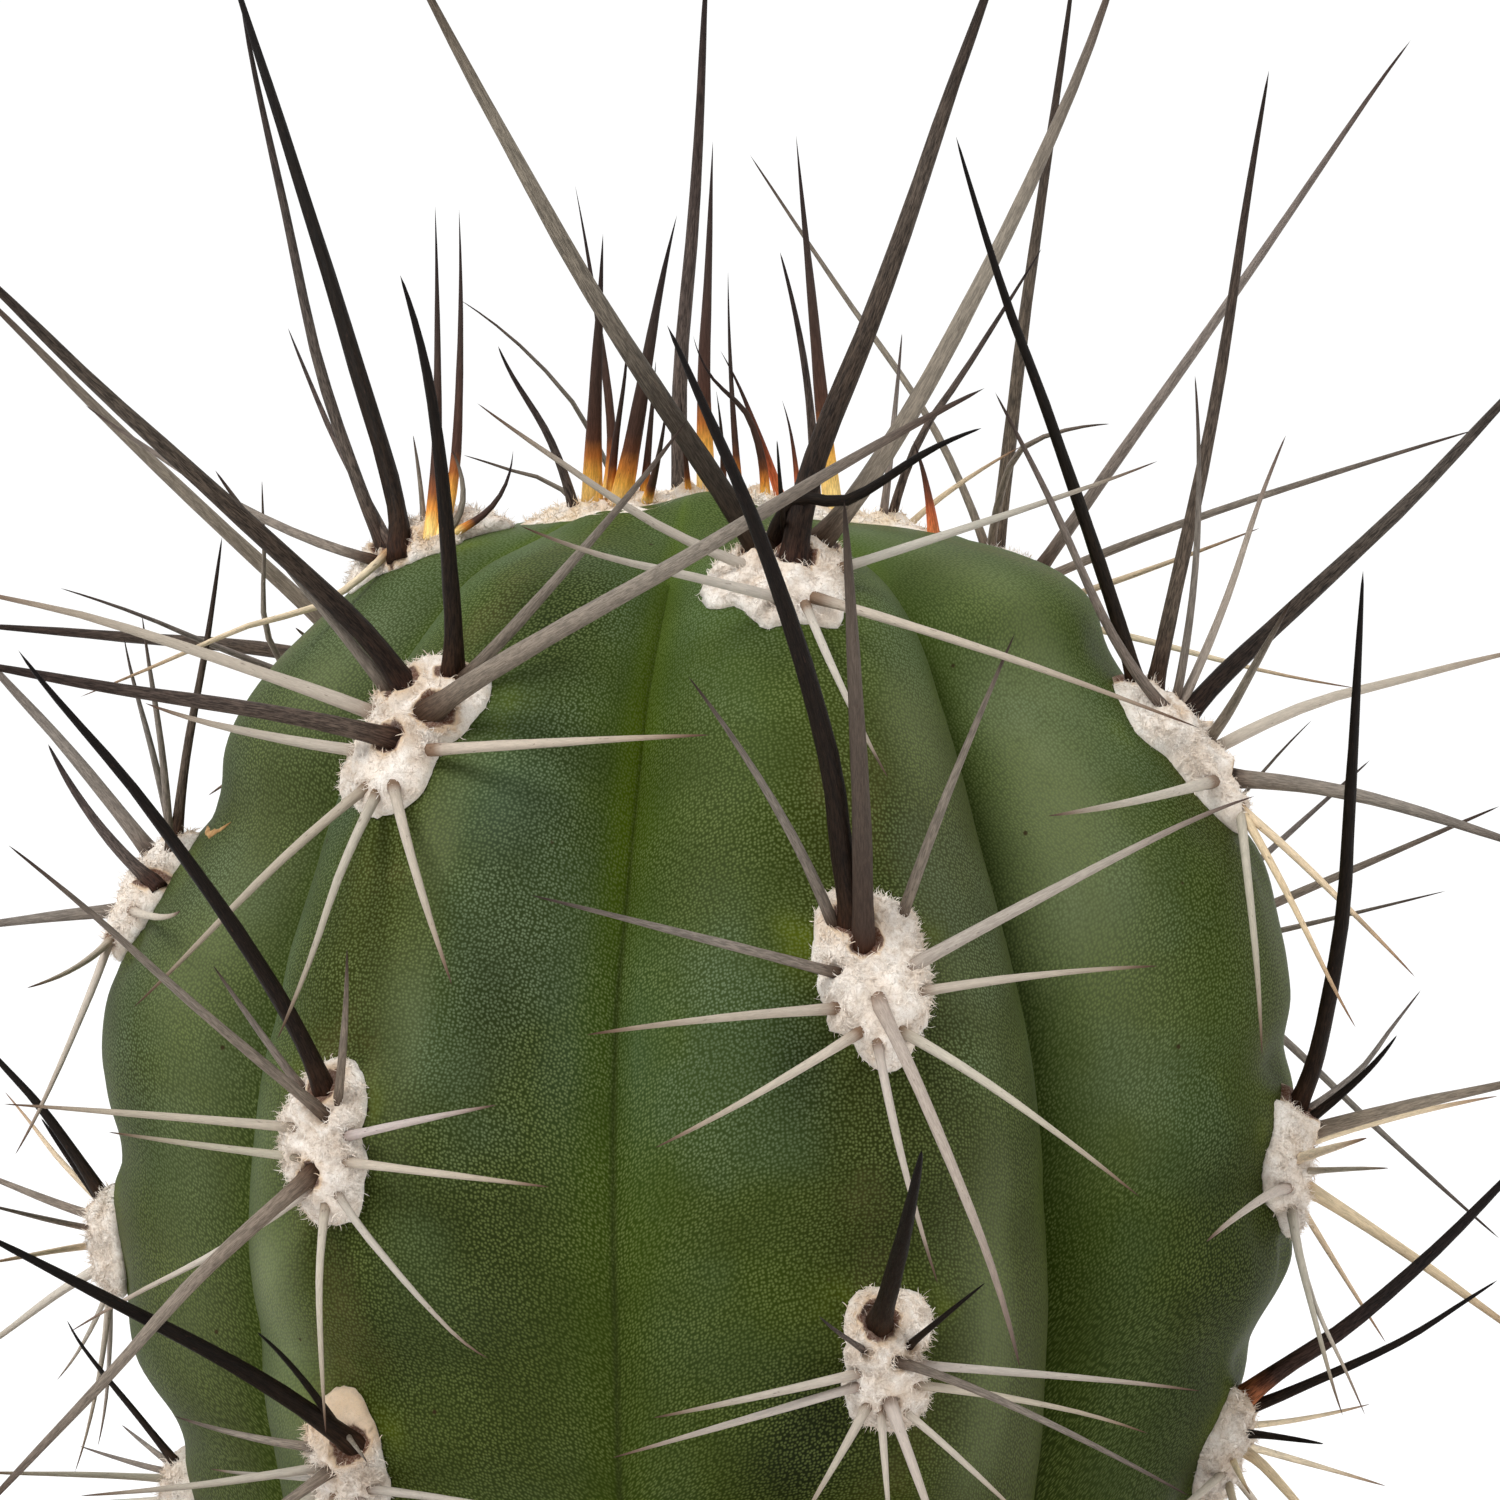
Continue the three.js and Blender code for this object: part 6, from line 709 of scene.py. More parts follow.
        ("r", "p", 0.42, [(-18.69, -23.91, 141.67), (-22.94, -23.02, 142.75), (-27.46, -22.12, 144.04), (-32.81, -21.12, 145.77)]),
        ("r", "p", 0.38, [(-16.2, -25.63, 140.61), (-14.21, -28.81, 140.19), (-12.05, -32.11, 139.57), (-9.43, -35.88, 138.63)]),
        ("r", "p", 0.4, [(-18.62, -23.92, 140.05), (-22.11, -23.43, 138.89), (-25.68, -22.86, 137.42), (-29.71, -22.13, 135.36)]),
        ("r", "p", 0.37, [(-16.46, -25.45, 139.59), (-14.68, -28.62, 137.46), (-13.02, -31.95, 134.89), (-11.35, -35.81, 131.46)]),
        ("r", "p", 0.33, [(-18.22, -24.23, 139.17), (-20.79, -23.69, 136.06), (-23.48, -23.23, 132.68), (-26.63, -22.84, 128.57)]),
        ("r", "p", 0.35, [(-17.63, -24.67, 138.75), (-18.65, -25.39, 135.62), (-19.71, -26.19, 132.28), (-20.92, -27.2, 128.3)]),
    ]),
    ("B5", ((-16.49, -23.55, 126), (-0.5734, -0.8185, 0.0359), (0.0206, 0.0294, 0.9994), (2.4, 3.7, 1.6)), [
        ("c", "d", 0.7, [(-17.71, -24.07, 126.65), (-27.87, -26.41, 127.16), (-37.9, -27.99, 128.45), (-48.77, -28.64, 130.96)]),
        ("c", "g", 0.47, [(-16.85, -24.78, 125.59), (-18.28, -30.81, 121.53), (-19.52, -37.64, 117.54), (-20.59, -46.28, 113.26)]),
        ("c", "t", 0.47, [(-17.28, -24.33, 127.54), (-21.31, -29.78, 128.97), (-25.42, -35.05, 130.43), (-30.02, -40.56, 132.08)]),
        ("r", "g", 0.38, [(-16.37, -24.78, 127.94), (-16.43, -27.9, 131.34), (-16.17, -31.27, 134.78), (-15.44, -35.33, 138.61)]),
        ("r", "g", 0.38, [(-17.49, -24.01, 128.14), (-19.04, -24.5, 131.17), (-20.99, -25.1, 134.34), (-23.69, -25.92, 138)]),
        ("r", "p", 0.42, [(-15.9, -25.11, 126.83), (-13.65, -28.9, 127.97), (-11.27, -32.75, 129.53), (-8.45, -37.04, 131.84)]),
        ("r", "p", 0.39, [(-18.19, -23.51, 126.64), (-21.83, -21.54, 127.75), (-25.81, -19.6, 128.97), (-30.67, -17.52, 130.49)]),
        ("r", "p", 0.38, [(-15.87, -25.18, 125.64), (-13.96, -28.66, 125.13), (-11.76, -32.12, 124.52), (-8.92, -35.87, 123.7)]),
        ("r", "p", 0.38, [(-18.23, -23.49, 126.22), (-22.39, -22.66, 126.73), (-26.87, -21.8, 127.15), (-32.23, -20.83, 127.48)]),
        ("r", "p", 0.36, [(-16.25, -25.01, 124.42), (-15.01, -27.18, 122.06), (-13.61, -29.48, 119.59), (-11.83, -32.18, 116.74)]),
        ("r", "p", 0.36, [(-17.81, -23.94, 124.19), (-20.49, -23.64, 120.74), (-23.5, -23.39, 117.13), (-27.28, -23.19, 112.94)]),
        ("r", "p", 0.34, [(-17.08, -24.5, 123.76), (-18.02, -25.64, 120.79), (-18.82, -26.95, 117.63), (-19.49, -28.63, 113.89)]),
    ]),
    ("B6", ((-16.31, -23.3, 111.5), (-0.5736, -0.8186, 0.0282), (0.0162, 0.0231, 0.9996), (2.4, 3.7, 1.6)), [
        ("c", "k", 0.59, [(-16.64, -24.42, 112.92), (-16.78, -32.23, 118.77), (-17.04, -39.72, 125.35), (-17.51, -47.48, 133.62)]),
        ("c", "g", 0.45, [(-17.37, -23.92, 112.75), (-23.95, -26.46, 115.81), (-30.4, -29.14, 119.52), (-37.32, -32.3, 124.54)]),
        ("c", "t", 0.46, [(-17.3, -24.1, 111.02), (-21.92, -27.14, 108.31), (-26.24, -30.02, 105.24), (-30.57, -32.95, 101.36)]),
        ("r", "g", 0.38, [(-16.22, -24.54, 113.46), (-15.65, -27.52, 116.57), (-14.95, -30.32, 119.97), (-13.99, -33.12, 124.11)]),
        ("r", "g", 0.38, [(-17.38, -23.73, 113.6), (-19.82, -25.19, 116.91), (-22.42, -26.23, 120.28), (-25.49, -26.79, 124.09)]),
        ("r", "p", 0.39, [(-15.84, -24.79, 112.72), (-13.94, -27.15, 114.93), (-11.95, -30.01, 117), (-9.63, -33.89, 119.08)]),
        ("r", "p", 0.42, [(-17.99, -23.28, 112.27), (-21.47, -22.2, 113.87), (-25.28, -21, 115.25), (-29.95, -19.52, 116.46)]),
        ("r", "p", 0.35, [(-15.67, -24.93, 111.46), (-13.5, -28.13, 111.29), (-11.13, -31.46, 111.2), (-8.22, -35.3, 111.2)]),
        ("r", "p", 0.35, [(-17.93, -23.41, 110.35), (-20.75, -22.27, 108.46), (-23.85, -21.09, 106.54), (-27.67, -19.73, 104.38)]),
        ("r", "p", 0.36, [(-15.84, -24.87, 110.45), (-13.72, -27.18, 108.8), (-11.36, -29.53, 107.07), (-8.42, -32.18, 105.07)]),
        ("r", "p", 0.36, [(-17.73, -23.6, 109.83), (-20.27, -23.89, 107.3), (-23.02, -23.86, 104.8), (-26.33, -23.38, 102.09)]),
        ("r", "p", 0.36, [(-16.95, -24.2, 109.23), (-17.91, -25.61, 107.09), (-18.83, -26.92, 104.8), (-19.77, -28.23, 102.07)]),
    ]),
    ("C1", ((27.74, -9.07, 194.6), (0.7178, -0.2324, 0.6563), (-0.6244, 0.2021, 0.7545), (3, 6, 2.1)), [
        ("c", "k", 0.64, [(25.41, -8.32, 198.85), (23.92, -10.13, 203.66), (19.69, -14.65, 215.41), (17.47, -16.86, 221.14), (14.5, -20.33, 230.33)]),
        ("c", "g", 0.46, [(27.41, -9.58, 196.94), (23.99, -12.72, 201.59), (19.96, -17.68, 209.96), (16.68, -21.47, 216.22)]),
        ("c", "d", 0.67, [(26.57, -7.26, 198.11), (27.65, -6.58, 202.9), (30.25, -4.88, 214.88), (32.09, -3.24, 226.45), (33.39, -2.16, 233.99)]),
        ("c", "g", 0.35, [(27.76, -7.44, 197.02), (28.89, -8.85, 206.41), (28.57, -10.74, 216.63)]),
        ("c", "w", 0.38, [(27.95, -7.5, 196.83), (30.78, -5.58, 202.94), (32.99, -3.52, 208.95), (34.6, -2.17, 212.68)]),
        ("c", "m", 0.81, [(28.31, -7.62, 196.45), (31.39, -5.84, 199.51), (41.55, -0.42, 208.14), (47.87, 3.46, 214.13), (52.7, 6.52, 218.95)]),
        ("c", "g", 0.47, [(29.54, -7.6, 194.98), (30.76, -10.49, 197.33), (31.9, -13.85, 200.26), (33.53, -18.61, 204.4)]),
        ("r", "p", 0.46, [(29.82, -8.11, 194.64), (36.09, -3.87, 196.95), (41.69, -0.26, 198.01), (48.19, 4.3, 199.06), (52.17, 7.05, 199.58)]),
        ("c", "g", 0.7, [(30.84, -8.64, 193.15), (35.7, -10.96, 192.89), (40.28, -13.29, 192.09), (45.71, -16.27, 190.62), (49, -18.1, 189.6)]),
        ("r", "p", 0.4, [(29.56, -11.71, 193.26), (24.02, -22.05, 193.34), (19.28, -30.78, 193.7)]),
        ("r", "p", 0.35, [(31.43, -10.26, 191.58), (31.44, -16.59, 187.81), (31.39, -23.07, 184.07), (31.13, -29.66, 180.37)]),
        ("r", "t", 0.32, [(31.43, -10.26, 191.58), (33.77, -16.22, 187.22), (35.78, -22.79, 182.9), (36.69, -25.54, 181.2)]),
        ("r", "t", 0.35, [(31.43, -10.26, 191.58), (34.47, -12.91, 189.07), (38.36, -16.53, 185.38), (40.7, -18.79, 183.02)]),
    ]),
    ("C2", ((33.77, -11.16, 171.2), (0.9499, -0.3121, -0.013), (0.0123, -0.004, 0.9999), (2.7, 4.1, 1.8)), [
        ("c", "k", 0.7, [(34.88, -10.94, 174.32), (35.82, -12.83, 177.86), (36.71, -16.98, 186.02), (36.71, -20.63, 193.33), (36.59, -27.37, 206.81)]),
        ("c", "k", 0.41, [(35.14, -10.74, 173.14), (37.19, -12.16, 175.11), (38.79, -13.36, 176.9), (40.19, -14.59, 179.02)]),
        ("r", "g", 0.29, [(35.06, -10.56, 173.73), (38.88, -6.74, 175.65), (40.97, -3.83, 177.56), (43.11, -0.85, 179.49)]),
        ("c", "g", 0.64, [(35.21, -10.61, 172.56), (41.04, -8.3, 173.67), (47.27, -5.8, 174.6), (51, -4.28, 175.18)]),
        ("r", "t", 0.35, [(35.25, -10.48, 171.97), (41.56, -4.42, 172.51), (48.19, 2.17, 172.56)]),
        ("r", "t", 0.41, [(34.78, -12.22, 171.38), (35.75, -18.45, 173.04), (37.18, -27.37, 175.35)]),
        ("r", "p", 0.26, [(35.18, -10.9, 170.4), (37.04, -19.8, 172.2), (38.44, -27.14, 173.62)]),
        ("r", "p", 0.38, [(34.14, -13.03, 169.82), (32.09, -18.5, 170.17), (28.08, -30.61, 170.16)]),
        ("c", "t", 0.55, [(35.14, -10.74, 169.62), (41.85, -10.2, 165.14), (46.95, -9.78, 161.37), (50.66, -9.47, 158.68)]),
        ("r", "p", 0.32, [(34.39, -12.38, 168.64), (34.7, -15.45, 166.06), (35.84, -21.81, 160.77), (36.37, -24.06, 158.93)]),
        ("r", "p", 0.26, [(34.6, -12.02, 168.64), (35.17, -16.46, 164.54), (37.02, -21.34, 160.38), (37.7, -23.2, 158.79)]),
        ("r", "t", 0.26, [(34.94, -10.96, 168.64), (37.73, -8.16, 164.01), (40.83, -5.02, 158.97)]),
    ]),
    ("C3", ((30.18, -10.05, 154), (0.907, -0.3013, -0.2942), (0.2792, -0.0928, 0.9557), (2.4, 4, 1.8)), [
        ("c", "o", 0.79, [(32.06, -10.03, 156.85), (34.19, -10.56, 158.65), (37.8, -11.46, 161.33), (42.19, -12.62, 165.51), (46.31, -13.83, 170.15), (49.14, -14.67, 173.51)]),
        ("c", "k", 0.44, [(32.06, -9.9, 156.07), (34.67, -10.34, 157.23), (40.94, -11.43, 160.42), (44.88, -12.18, 163.18), (46.45, -12.48, 164.31)]),
        ("r", "t", 0.26, [(31.91, -9.98, 155.1), (35.61, -5.63, 154.48), (40.62, 1.45, 153.8)]),
        ("c", "k", 0.35, [(31.75, -10.32, 154.72), (33.33, -12.44, 155.08), (36.1, -16.27, 155.5)]),
        ("r", "t", 0.29, [(31.65, -9.89, 153.99), (34.22, -7.02, 152.71), (41.72, 2.07, 148.58)]),
        ("c", "t", 0.44, [(31.6, -9.88, 153.8), (33.18, -12.1, 153.06), (37.24, -20.47, 149.17)]),
        ("r", "p", 0.32, [(30.68, -11.13, 152.55), (28.12, -18.72, 152.63), (24.75, -28.2, 152.86)]),
        ("r", "p", 0.32, [(31, -9.94, 152.17), (31.49, -17.78, 149.65), (31.63, -25.07, 147.48)]),
        ("r", "p", 0.29, [(31.17, -9.86, 152.53), (35.35, -4.14, 146.19), (37.54, -0.47, 142.17)]),
        ("r", "t", 0.26, [(31.32, -10.3, 153.24), (31.21, -17.2, 153.9), (31.14, -24.74, 154.63)]),
    ]),
    ("C4", ((27.77, -9.32, 138), (0.9483, -0.3175, 0.0032), (-0.003, 0.001, 1), (2.4, 3.7, 1.6)), [
        ("c", "k", 0.73, [(28.64, -10.36, 138.54), (31.53, -18.66, 139.01), (35.28, -27.74, 139.63), (40.65, -38.8, 140.52)]),
        ("c", "g", 0.53, [(29.1, -9.01, 138.44), (36.15, -6.97, 139.03), (43.24, -4.66, 139.07), (51.08, -1.73, 138.33)]),
        ("c", "p", 0.51, [(28.84, -9.71, 139.56), (34.3, -11.34, 141.53), (40.13, -13.35, 143.62), (47.09, -16.11, 146.09)]),
        ("r", "g", 0.34, [(28.78, -9.53, 140.3), (31.14, -9.94, 143.33), (33.61, -10.47, 146.57), (36.47, -11.25, 150.43)]),
        ("r", "g", 0.38, [(28.47, -10.41, 139.92), (28.69, -12.99, 143.06), (28.84, -15.52, 146.53), (28.9, -18.22, 150.8)]),
        ("r", "p", 0.38, [(29.14, -8.24, 138.4), (31.83, -4.42, 139.53), (35.09, -0.41, 140.42), (39.48, 4.26, 141.04)]),
        ("r", "p", 0.4, [(28.26, -10.9, 138.95), (28.67, -15.46, 140.38), (29.09, -20.14, 142.27), (29.56, -25.46, 145.01)]),
        ("r", "p", 0.38, [(29.14, -8.29, 137.3), (32.22, -5.58, 135.94), (35.57, -2.64, 134.69), (39.64, 0.91, 133.47)]),
        ("r", "p", 0.39, [(28.22, -11, 137.64), (28.68, -14.77, 137.04), (28.76, -18.66, 136.45), (28.33, -23.1, 135.8)]),
        ("r", "p", 0.34, [(29.09, -8.5, 136.64), (31.41, -5.45, 134.48), (33.47, -2.29, 131.86), (35.36, 1.31, 128.33)]),
        ("r", "p", 0.34, [(28.48, -10.42, 136.09), (30.11, -13, 132.58), (31.4, -15.89, 129.02), (32.31, -19.51, 125.04)]),
        ("r", "p", 0.33, [(28.7, -9.84, 135.72), (30.06, -10.69, 132.28), (31.52, -11.69, 128.63), (33.27, -13.01, 124.3)]),
    ]),
    ("C5", ((27.28, -9.21, 123), (0.9472, -0.3192, 0.0313), (-0.0296, 0.01, 0.9995), (2.5, 3.7, 1.6)), [
        ("c", "d", 0.7, [(28.61, -8.87, 123.4), (37.07, -3.42, 123.91), (46.85, 2.07, 123.65), (59.48, 8.17, 122.26)]),
        ("c", "g", 0.47, [(28.21, -10.18, 122.83), (33.2, -16.04, 120.79), (39.25, -22.25, 118.24), (47.41, -29.54, 114.73)]),
        ("c", "t", 0.44, [(28.31, -9.58, 124.61), (35.49, -11.76, 125.97), (42.36, -14.07, 127.4), (49.46, -16.79, 129.05)]),
        ("r", "g", 0.37, [(28.34, -9.05, 125.23), (30.26, -8.48, 128.51), (31.95, -7.83, 132.02), (33.48, -6.99, 136.2)]),
        ("r", "g", 0.37, [(27.98, -10.13, 125.15), (28.4, -11.76, 128.43), (28.9, -13.56, 131.92), (29.57, -15.8, 136.03)]),
        ("r", "p", 0.38, [(28.64, -8.1, 123.71), (30.97, -4.78, 124.78), (33.22, -1.21, 126.06), (35.58, 3.06, 127.76)]),
        ("r", "p", 0.39, [(27.69, -10.91, 123.81), (28.95, -15.7, 125.3), (29.82, -20.64, 126.94), (30.21, -26.25, 128.94)]),
        ("r", "p", 0.36, [(28.68, -8.04, 123.02), (31.13, -4.91, 123.2), (33.71, -1.56, 123.24), (36.7, 2.44, 123.07)]),
        ("r", "p", 0.39, [(27.68, -11, 123.04), (27.11, -14.98, 123.37), (26.81, -19.33, 123.46), (26.87, -24.64, 123.2)]),
        ("r", "p", 0.35, [(28.61, -8.57, 121.3), (30.81, -6.64, 118.76), (32.82, -4.61, 115.93), (34.77, -2.21, 112.42)]),
        ("r", "p", 0.38, [(27.96, -10.49, 121.24), (28.44, -12.71, 118.5), (28.48, -15.12, 115.72), (27.93, -18.02, 112.59)]),
        ("r", "p", 0.3, [(28.35, -9.51, 120.72), (29.71, -9.64, 117.23), (30.71, -9.79, 113.5), (31.3, -9.97, 109.04)]),
    ]),
    ("C6", ((26.9, -9.14, 108.5), (0.9468, -0.3212, 0.0213), (-0.0202, 0.0068, 0.9998), (2.4, 3.5, 1.6)), [
        ("c", "d", 0.59, [(28.13, -9.01, 109.66), (35.12, -7.19, 114.27), (42.94, -4.97, 118.78), (52.71, -1.97, 123.61)]),
        ("c", "g", 0.46, [(27.82, -9.93, 109.77), (31.02, -14.24, 114.09), (34.34, -19.02, 118.53), (38.18, -24.95, 123.59)]),
        ("c", "p", 0.42, [(28.23, -8.9, 108.54), (31.97, -6.09, 107.46), (35.95, -3.26, 105.92), (40.65, -0.1, 103.59)]),
        ("r", "g", 0.34, [(28.03, -8.86, 110.48), (30.65, -7.78, 113.67), (32.99, -6.75, 117.19), (35.18, -5.69, 121.52)]),
        ("r", "g", 0.39, [(27.71, -9.82, 110.62), (29.57, -11.04, 113.44), (31.23, -12.4, 116.4), (32.77, -14.1, 119.84)]),
        ("r", "p", 0.4, [(28.23, -8.19, 109.41), (30.62, -4.82, 110.88), (33.23, -1.37, 112.71), (36.41, 2.52, 115.24)]),
        ("r", "p", 0.37, [(27.35, -10.8, 109.04), (28.49, -14.65, 110.25), (29.46, -18.75, 111.23), (30.28, -23.63, 111.95)]),
        ("r", "p", 0.38, [(28.28, -8.08, 108.28), (30.68, -5.74, 107.97), (33.05, -3.19, 107.63), (35.61, -0.07, 107.24)]),
        ("r", "p", 0.38, [(27.39, -10.78, 107.83), (27.89, -14.28, 106.91), (28.31, -17.95, 105.84), (28.63, -22.19, 104.42)]),
        ("r", "p", 0.33, [(28.26, -8.23, 107.52), (30.28, -5.9, 105.74), (32.45, -3.29, 104.08), (35.03, 0, 102.46)]),
        ("r", "p", 0.35, [(27.48, -10.59, 107.24), (28.2, -13.68, 105.56), (28.67, -16.76, 103.62), (28.8, -20.12, 101.1)]),
        ("r", "p", 0.33, [(27.7, -10.09, 106.56), (28.9, -11.16, 104.95), (30.07, -12.4, 103.3), (31.31, -13.99, 101.4)]),
    ]),
    ("D0", ((-16.35, -0.58, 206), (-0.3093, -0.0053, 0.951), (0.9504, 0.0337, 0.3093), (3.8, 5.2, 1.6)), [
        ("c", "k", 0.82, [(-17.49, -3.62, 206.03), (-17.82, -1.71, 208.82), (-20.17, 2.67, 215.96), (-23.77, 8.97, 226.21), (-28.16, 16.45, 238.29), (-29.5, 18.77, 242)]),
        ("c", "d", 0.59, [(-18.32, -2.31, 205.77), (-22.47, 3.91, 215.9), (-25.18, 9.92, 226.19), (-27.16, 14.25, 233.71), (-28.43, 17.51, 239.53)]),
        ("r", "d", 0.35, [(-17.76, -3.84, 205.94), (-19.08, -0.44, 207.84), (-21.82, 5.35, 211.93), (-23.85, 10.37, 215.58), (-25.27, 14.07, 218.28)]),
        ("r", "g", 0.38, [(-19.18, -3.53, 205.48), (-26.8, 3.34, 207.74), (-35.37, 11.4, 212.17), (-37.76, 13.79, 213.57)]),
        ("c", "y", 0.47, [(-15.65, -4.01, 206.63), (-15.33, -1.46, 212.93), (-15.5, 1.09, 226.07)]),
        ("c", "y", 0.47, [(-15.03, -3.88, 206.83), (-14.15, -1.6, 212.35), (-14.07, 0.69, 225.91)]),
        ("r", "y", 0.33, [(-14.17, -3.58, 207.11), (-11.76, -2.82, 208.9), (-10.83, -2.12, 211.79)]),
        ("r", "g", 0.26, [(-16.05, -2.57, 206.51), (-16.28, -1.83, 209.42), (-16.77, -1.01, 212.61)]),
        ("r", "t", 0.29, [(-18.29, -3.86, 205.77), (-21.98, -5.92, 202.99), (-25.87, -8.34, 202.04), (-31.32, -11.9, 199.89), (-35.09, -14.3, 198.47)]),
        ("r", "g", 0.3, [(-14.78, -3.81, 206.91), (-13.74, -3.23, 208.93), (-14.4, -2.56, 211.82)]),
    ]),
    ("D1", ((-32.25, -1.33, 185.2), (-0.8401, -0.0226, 0.542), (0.5418, 0.0146, 0.8404), (3.1, 4.4, 1.9)), [
        ("c", "g", 0.72, [(-32.32, 0.1, 187.22), (-38.15, 5.73, 193.15), (-42.72, 9.85, 197.29), (-45.8, 12.64, 200.1)]),
        ("c", "d", 0.56, [(-32.17, -3.87, 186.44), (-35.87, 0.02, 189.48), (-39.2, 4.5, 193.65)]),
        ("c", "g", 0.57, [(-34.19, 0.21, 184.17), (-38.26, 1.39, 183.63), (-41.99, 2.46, 183.05), (-45.76, 3.54, 182.47)]),
        ("c", "d", 0.45, [(-30.95, -1.29, 188.86), (-30.3, -0.71, 193.94), (-29.14, 0.02, 200.37), (-28.25, 0.71, 206.45)]),
        ("r", "g", 0.33, [(-31.28, 0.13, 188.3), (-31.91, -5.57, 194.43), (-32.58, -9.84, 199.28), (-32.79, -11.93, 201.68)]),
        ("r", "g", 0.35, [(-31.2, -2.73, 188.3), (-31.19, -7.02, 194.61), (-31.56, -11.2, 200.86), (-31.67, -12.63, 203.01)]),
        ("r", "p", 0.32, [(-33.31, -3.9, 184.68), (-30.92, -11.82, 185.45), (-28.89, -20.74, 187.07)]),
        ("r", "p", 0.3, [(-34.9, -2.19, 182.67), (-36.2, -8.88, 182.04), (-38.21, -15.37, 181.87)]),
        ("r", "p", 0.33, [(-34.9, -2.19, 182.67), (-35.69, -5.42, 180.07), (-37.65, -12.19, 174.94), (-38.96, -15.96, 172.29)]),
    ]),
    ("D2", ((-34.67, -1.62, 164.5), (-0.9963, -0.0381, -0.0772), (-0.0772, -0.0029, 0.997), (2.5, 3.5, 1.7)), [
        ("c", "k", 0.51, [(-35.7, -0.51, 166.94), (-39.54, 1.33, 171.98), (-42.1, 2.35, 174.61), (-43.98, 3.1, 176.56)]),
        ("c", "k", 0.39, [(-35.62, 0.01, 166.28), (-37.63, 1.06, 168.67), (-39.64, 2.08, 171.23)]),
        ("r", "t", 0.27, [(-35.62, 0.01, 166.28), (-38.93, 5.44, 168.04), (-41.25, 9.65, 169.64), (-43.21, 13.12, 170.91)]),
        ("c", "g", 0.39, [(-35.64, 0.14, 165.44), (-38.58, 2.17, 165.92), (-42.55, 5.01, 166.83), (-45.91, 7.44, 167.67)]),
        ("r", "g", 0.27, [(-35.9, -0.64, 164.91), (-38.19, -6.2, 166.61), (-40.42, -11.6, 168.37), (-41.51, -14.24, 169.23)]),
        ("r", "t", 0.3, [(-35.57, 0.14, 163.93), (-37.73, -5.29, 164.63), (-40.41, -12.06, 165.34), (-41.28, -14.27, 165.55)]),
        ("c", "p", 0.45, [(-35.59, -0.5, 162.76), (-38.54, 1.15, 160.76), (-42.48, 3.45, 157.56), (-45.49, 5.18, 155.2)]),
        ("r", "p", 0.27, [(-35.3, -1.01, 161.6), (-36.01, 1.53, 157.09), (-37.18, 4.35, 152.15), (-38.4, 6.55, 148.38)]),
        ("r", "p", 0.24, [(-35.3, -1.01, 161.6), (-36.03, 4.09, 154.69), (-37.1, 7.71, 149.74)]),
        ("r", "p", 0.24, [(-35.3, -1.01, 161.6), (-37.52, 5.15, 156.94), (-39.86, 10.13, 153.34)]),
    ]),
    ("D3", ((-30.17, -1.55, 148), (-0.991, -0.0471, -0.1252), (-0.125, -0.0059, 0.9921), (2.3, 3.4, 1.6)), [
        ("c", "k", 0.36, [(-31.33, -1.6, 150.8), (-33.62, -0.53, 153.4), (-37.06, 1.13, 157.2), (-38.21, 1.83, 158.89)]),
        ("r", "g", 0.27, [(-31.37, -1.61, 150.63), (-33.57, 4.63, 150.34), (-36.06, 11.92, 150.08)]),
        ("r", "g", 0.27, [(-31.42, -1.73, 150.3), (-34.81, 4.65, 149.46), (-38.73, 12.18, 148.68)]),
        ("c", "p", 0.33, [(-31.48, -1.26, 149.8), (-35.63, -4.4, 150.82), (-41.05, -8.52, 151.94), (-42.38, -9.53, 152.24)]),
        ("c", "p", 0.45, [(-31.42, -0.92, 148.32), (-35.22, -0.27, 148.05), (-39.29, 0.44, 147.62), (-44.13, 1.28, 146.89)]),
        ("r", "g", 0.38, [(-31.18, -0.17, 147.74), (-33.87, 1.02, 147.41), (-36.43, 2.3, 147.02), (-39.04, 3.82, 146.48)]),
        ("r", "g", 0.35, [(-31.03, -3, 147.61), (-31.47, -5.34, 147), (-32.15, -7.87, 146.54), (-33.23, -10.92, 146.27)]),
        ("r", "p", 0.41, [(-31.14, -2.97, 148.46), (-32.86, -6.79, 149.52), (-34.16, -10.89, 150.54), (-34.97, -15.79, 151.6)]),
        ("r", "p", 0.4, [(-31.06, -0.41, 146.71), (-33.31, 2.16, 144.92), (-35.23, 4.79, 142.88), (-36.87, 7.79, 140.3)]),
        ("r", "p", 0.36, [(-31.01, -2.98, 147.42), (-33.18, -6.31, 146.25), (-35.19, -9.88, 145.17), (-37.18, -14.14, 144.13)]),
        ("r", "p", 0.35, [(-31.1, -0.28, 147.05), (-31.69, 3.16, 145.77), (-32.24, 6.75, 144.2), (-32.76, 10.89, 142.06)]),
        ("r", "p", 0.36, [(-30.95, -2.78, 146.72), (-31.49, -6.52, 144.45), (-32.21, -10.38, 141.82), (-33.28, -14.82, 138.41)]),
        ("r", "p", 0.35, [(-31.03, -0.56, 146.43), (-32.03, 2.25, 143.4), (-33.09, 5.32, 140.27), (-34.33, 9.09, 136.67)]),
    ]),
    ("D4", ((-28.82, -1.6, 133), (-0.9984, -0.0523, 0.0228), (0.0228, 0.0012, 0.9997), (2.5, 3.6, 1.6)), [
        ("c", "d", 0.63, [(-30, -0.93, 133.55), (-39.34, 2.09, 134.5), (-48.35, 5.39, 135.07), (-57.78, 9.42, 135.16)]),
        ("c", "g", 0.49, [(-29.95, -2.37, 133.18), (-35.55, -9.02, 132.45), (-41.87, -15.92, 130.94), (-49.84, -23.88, 128.15)]),
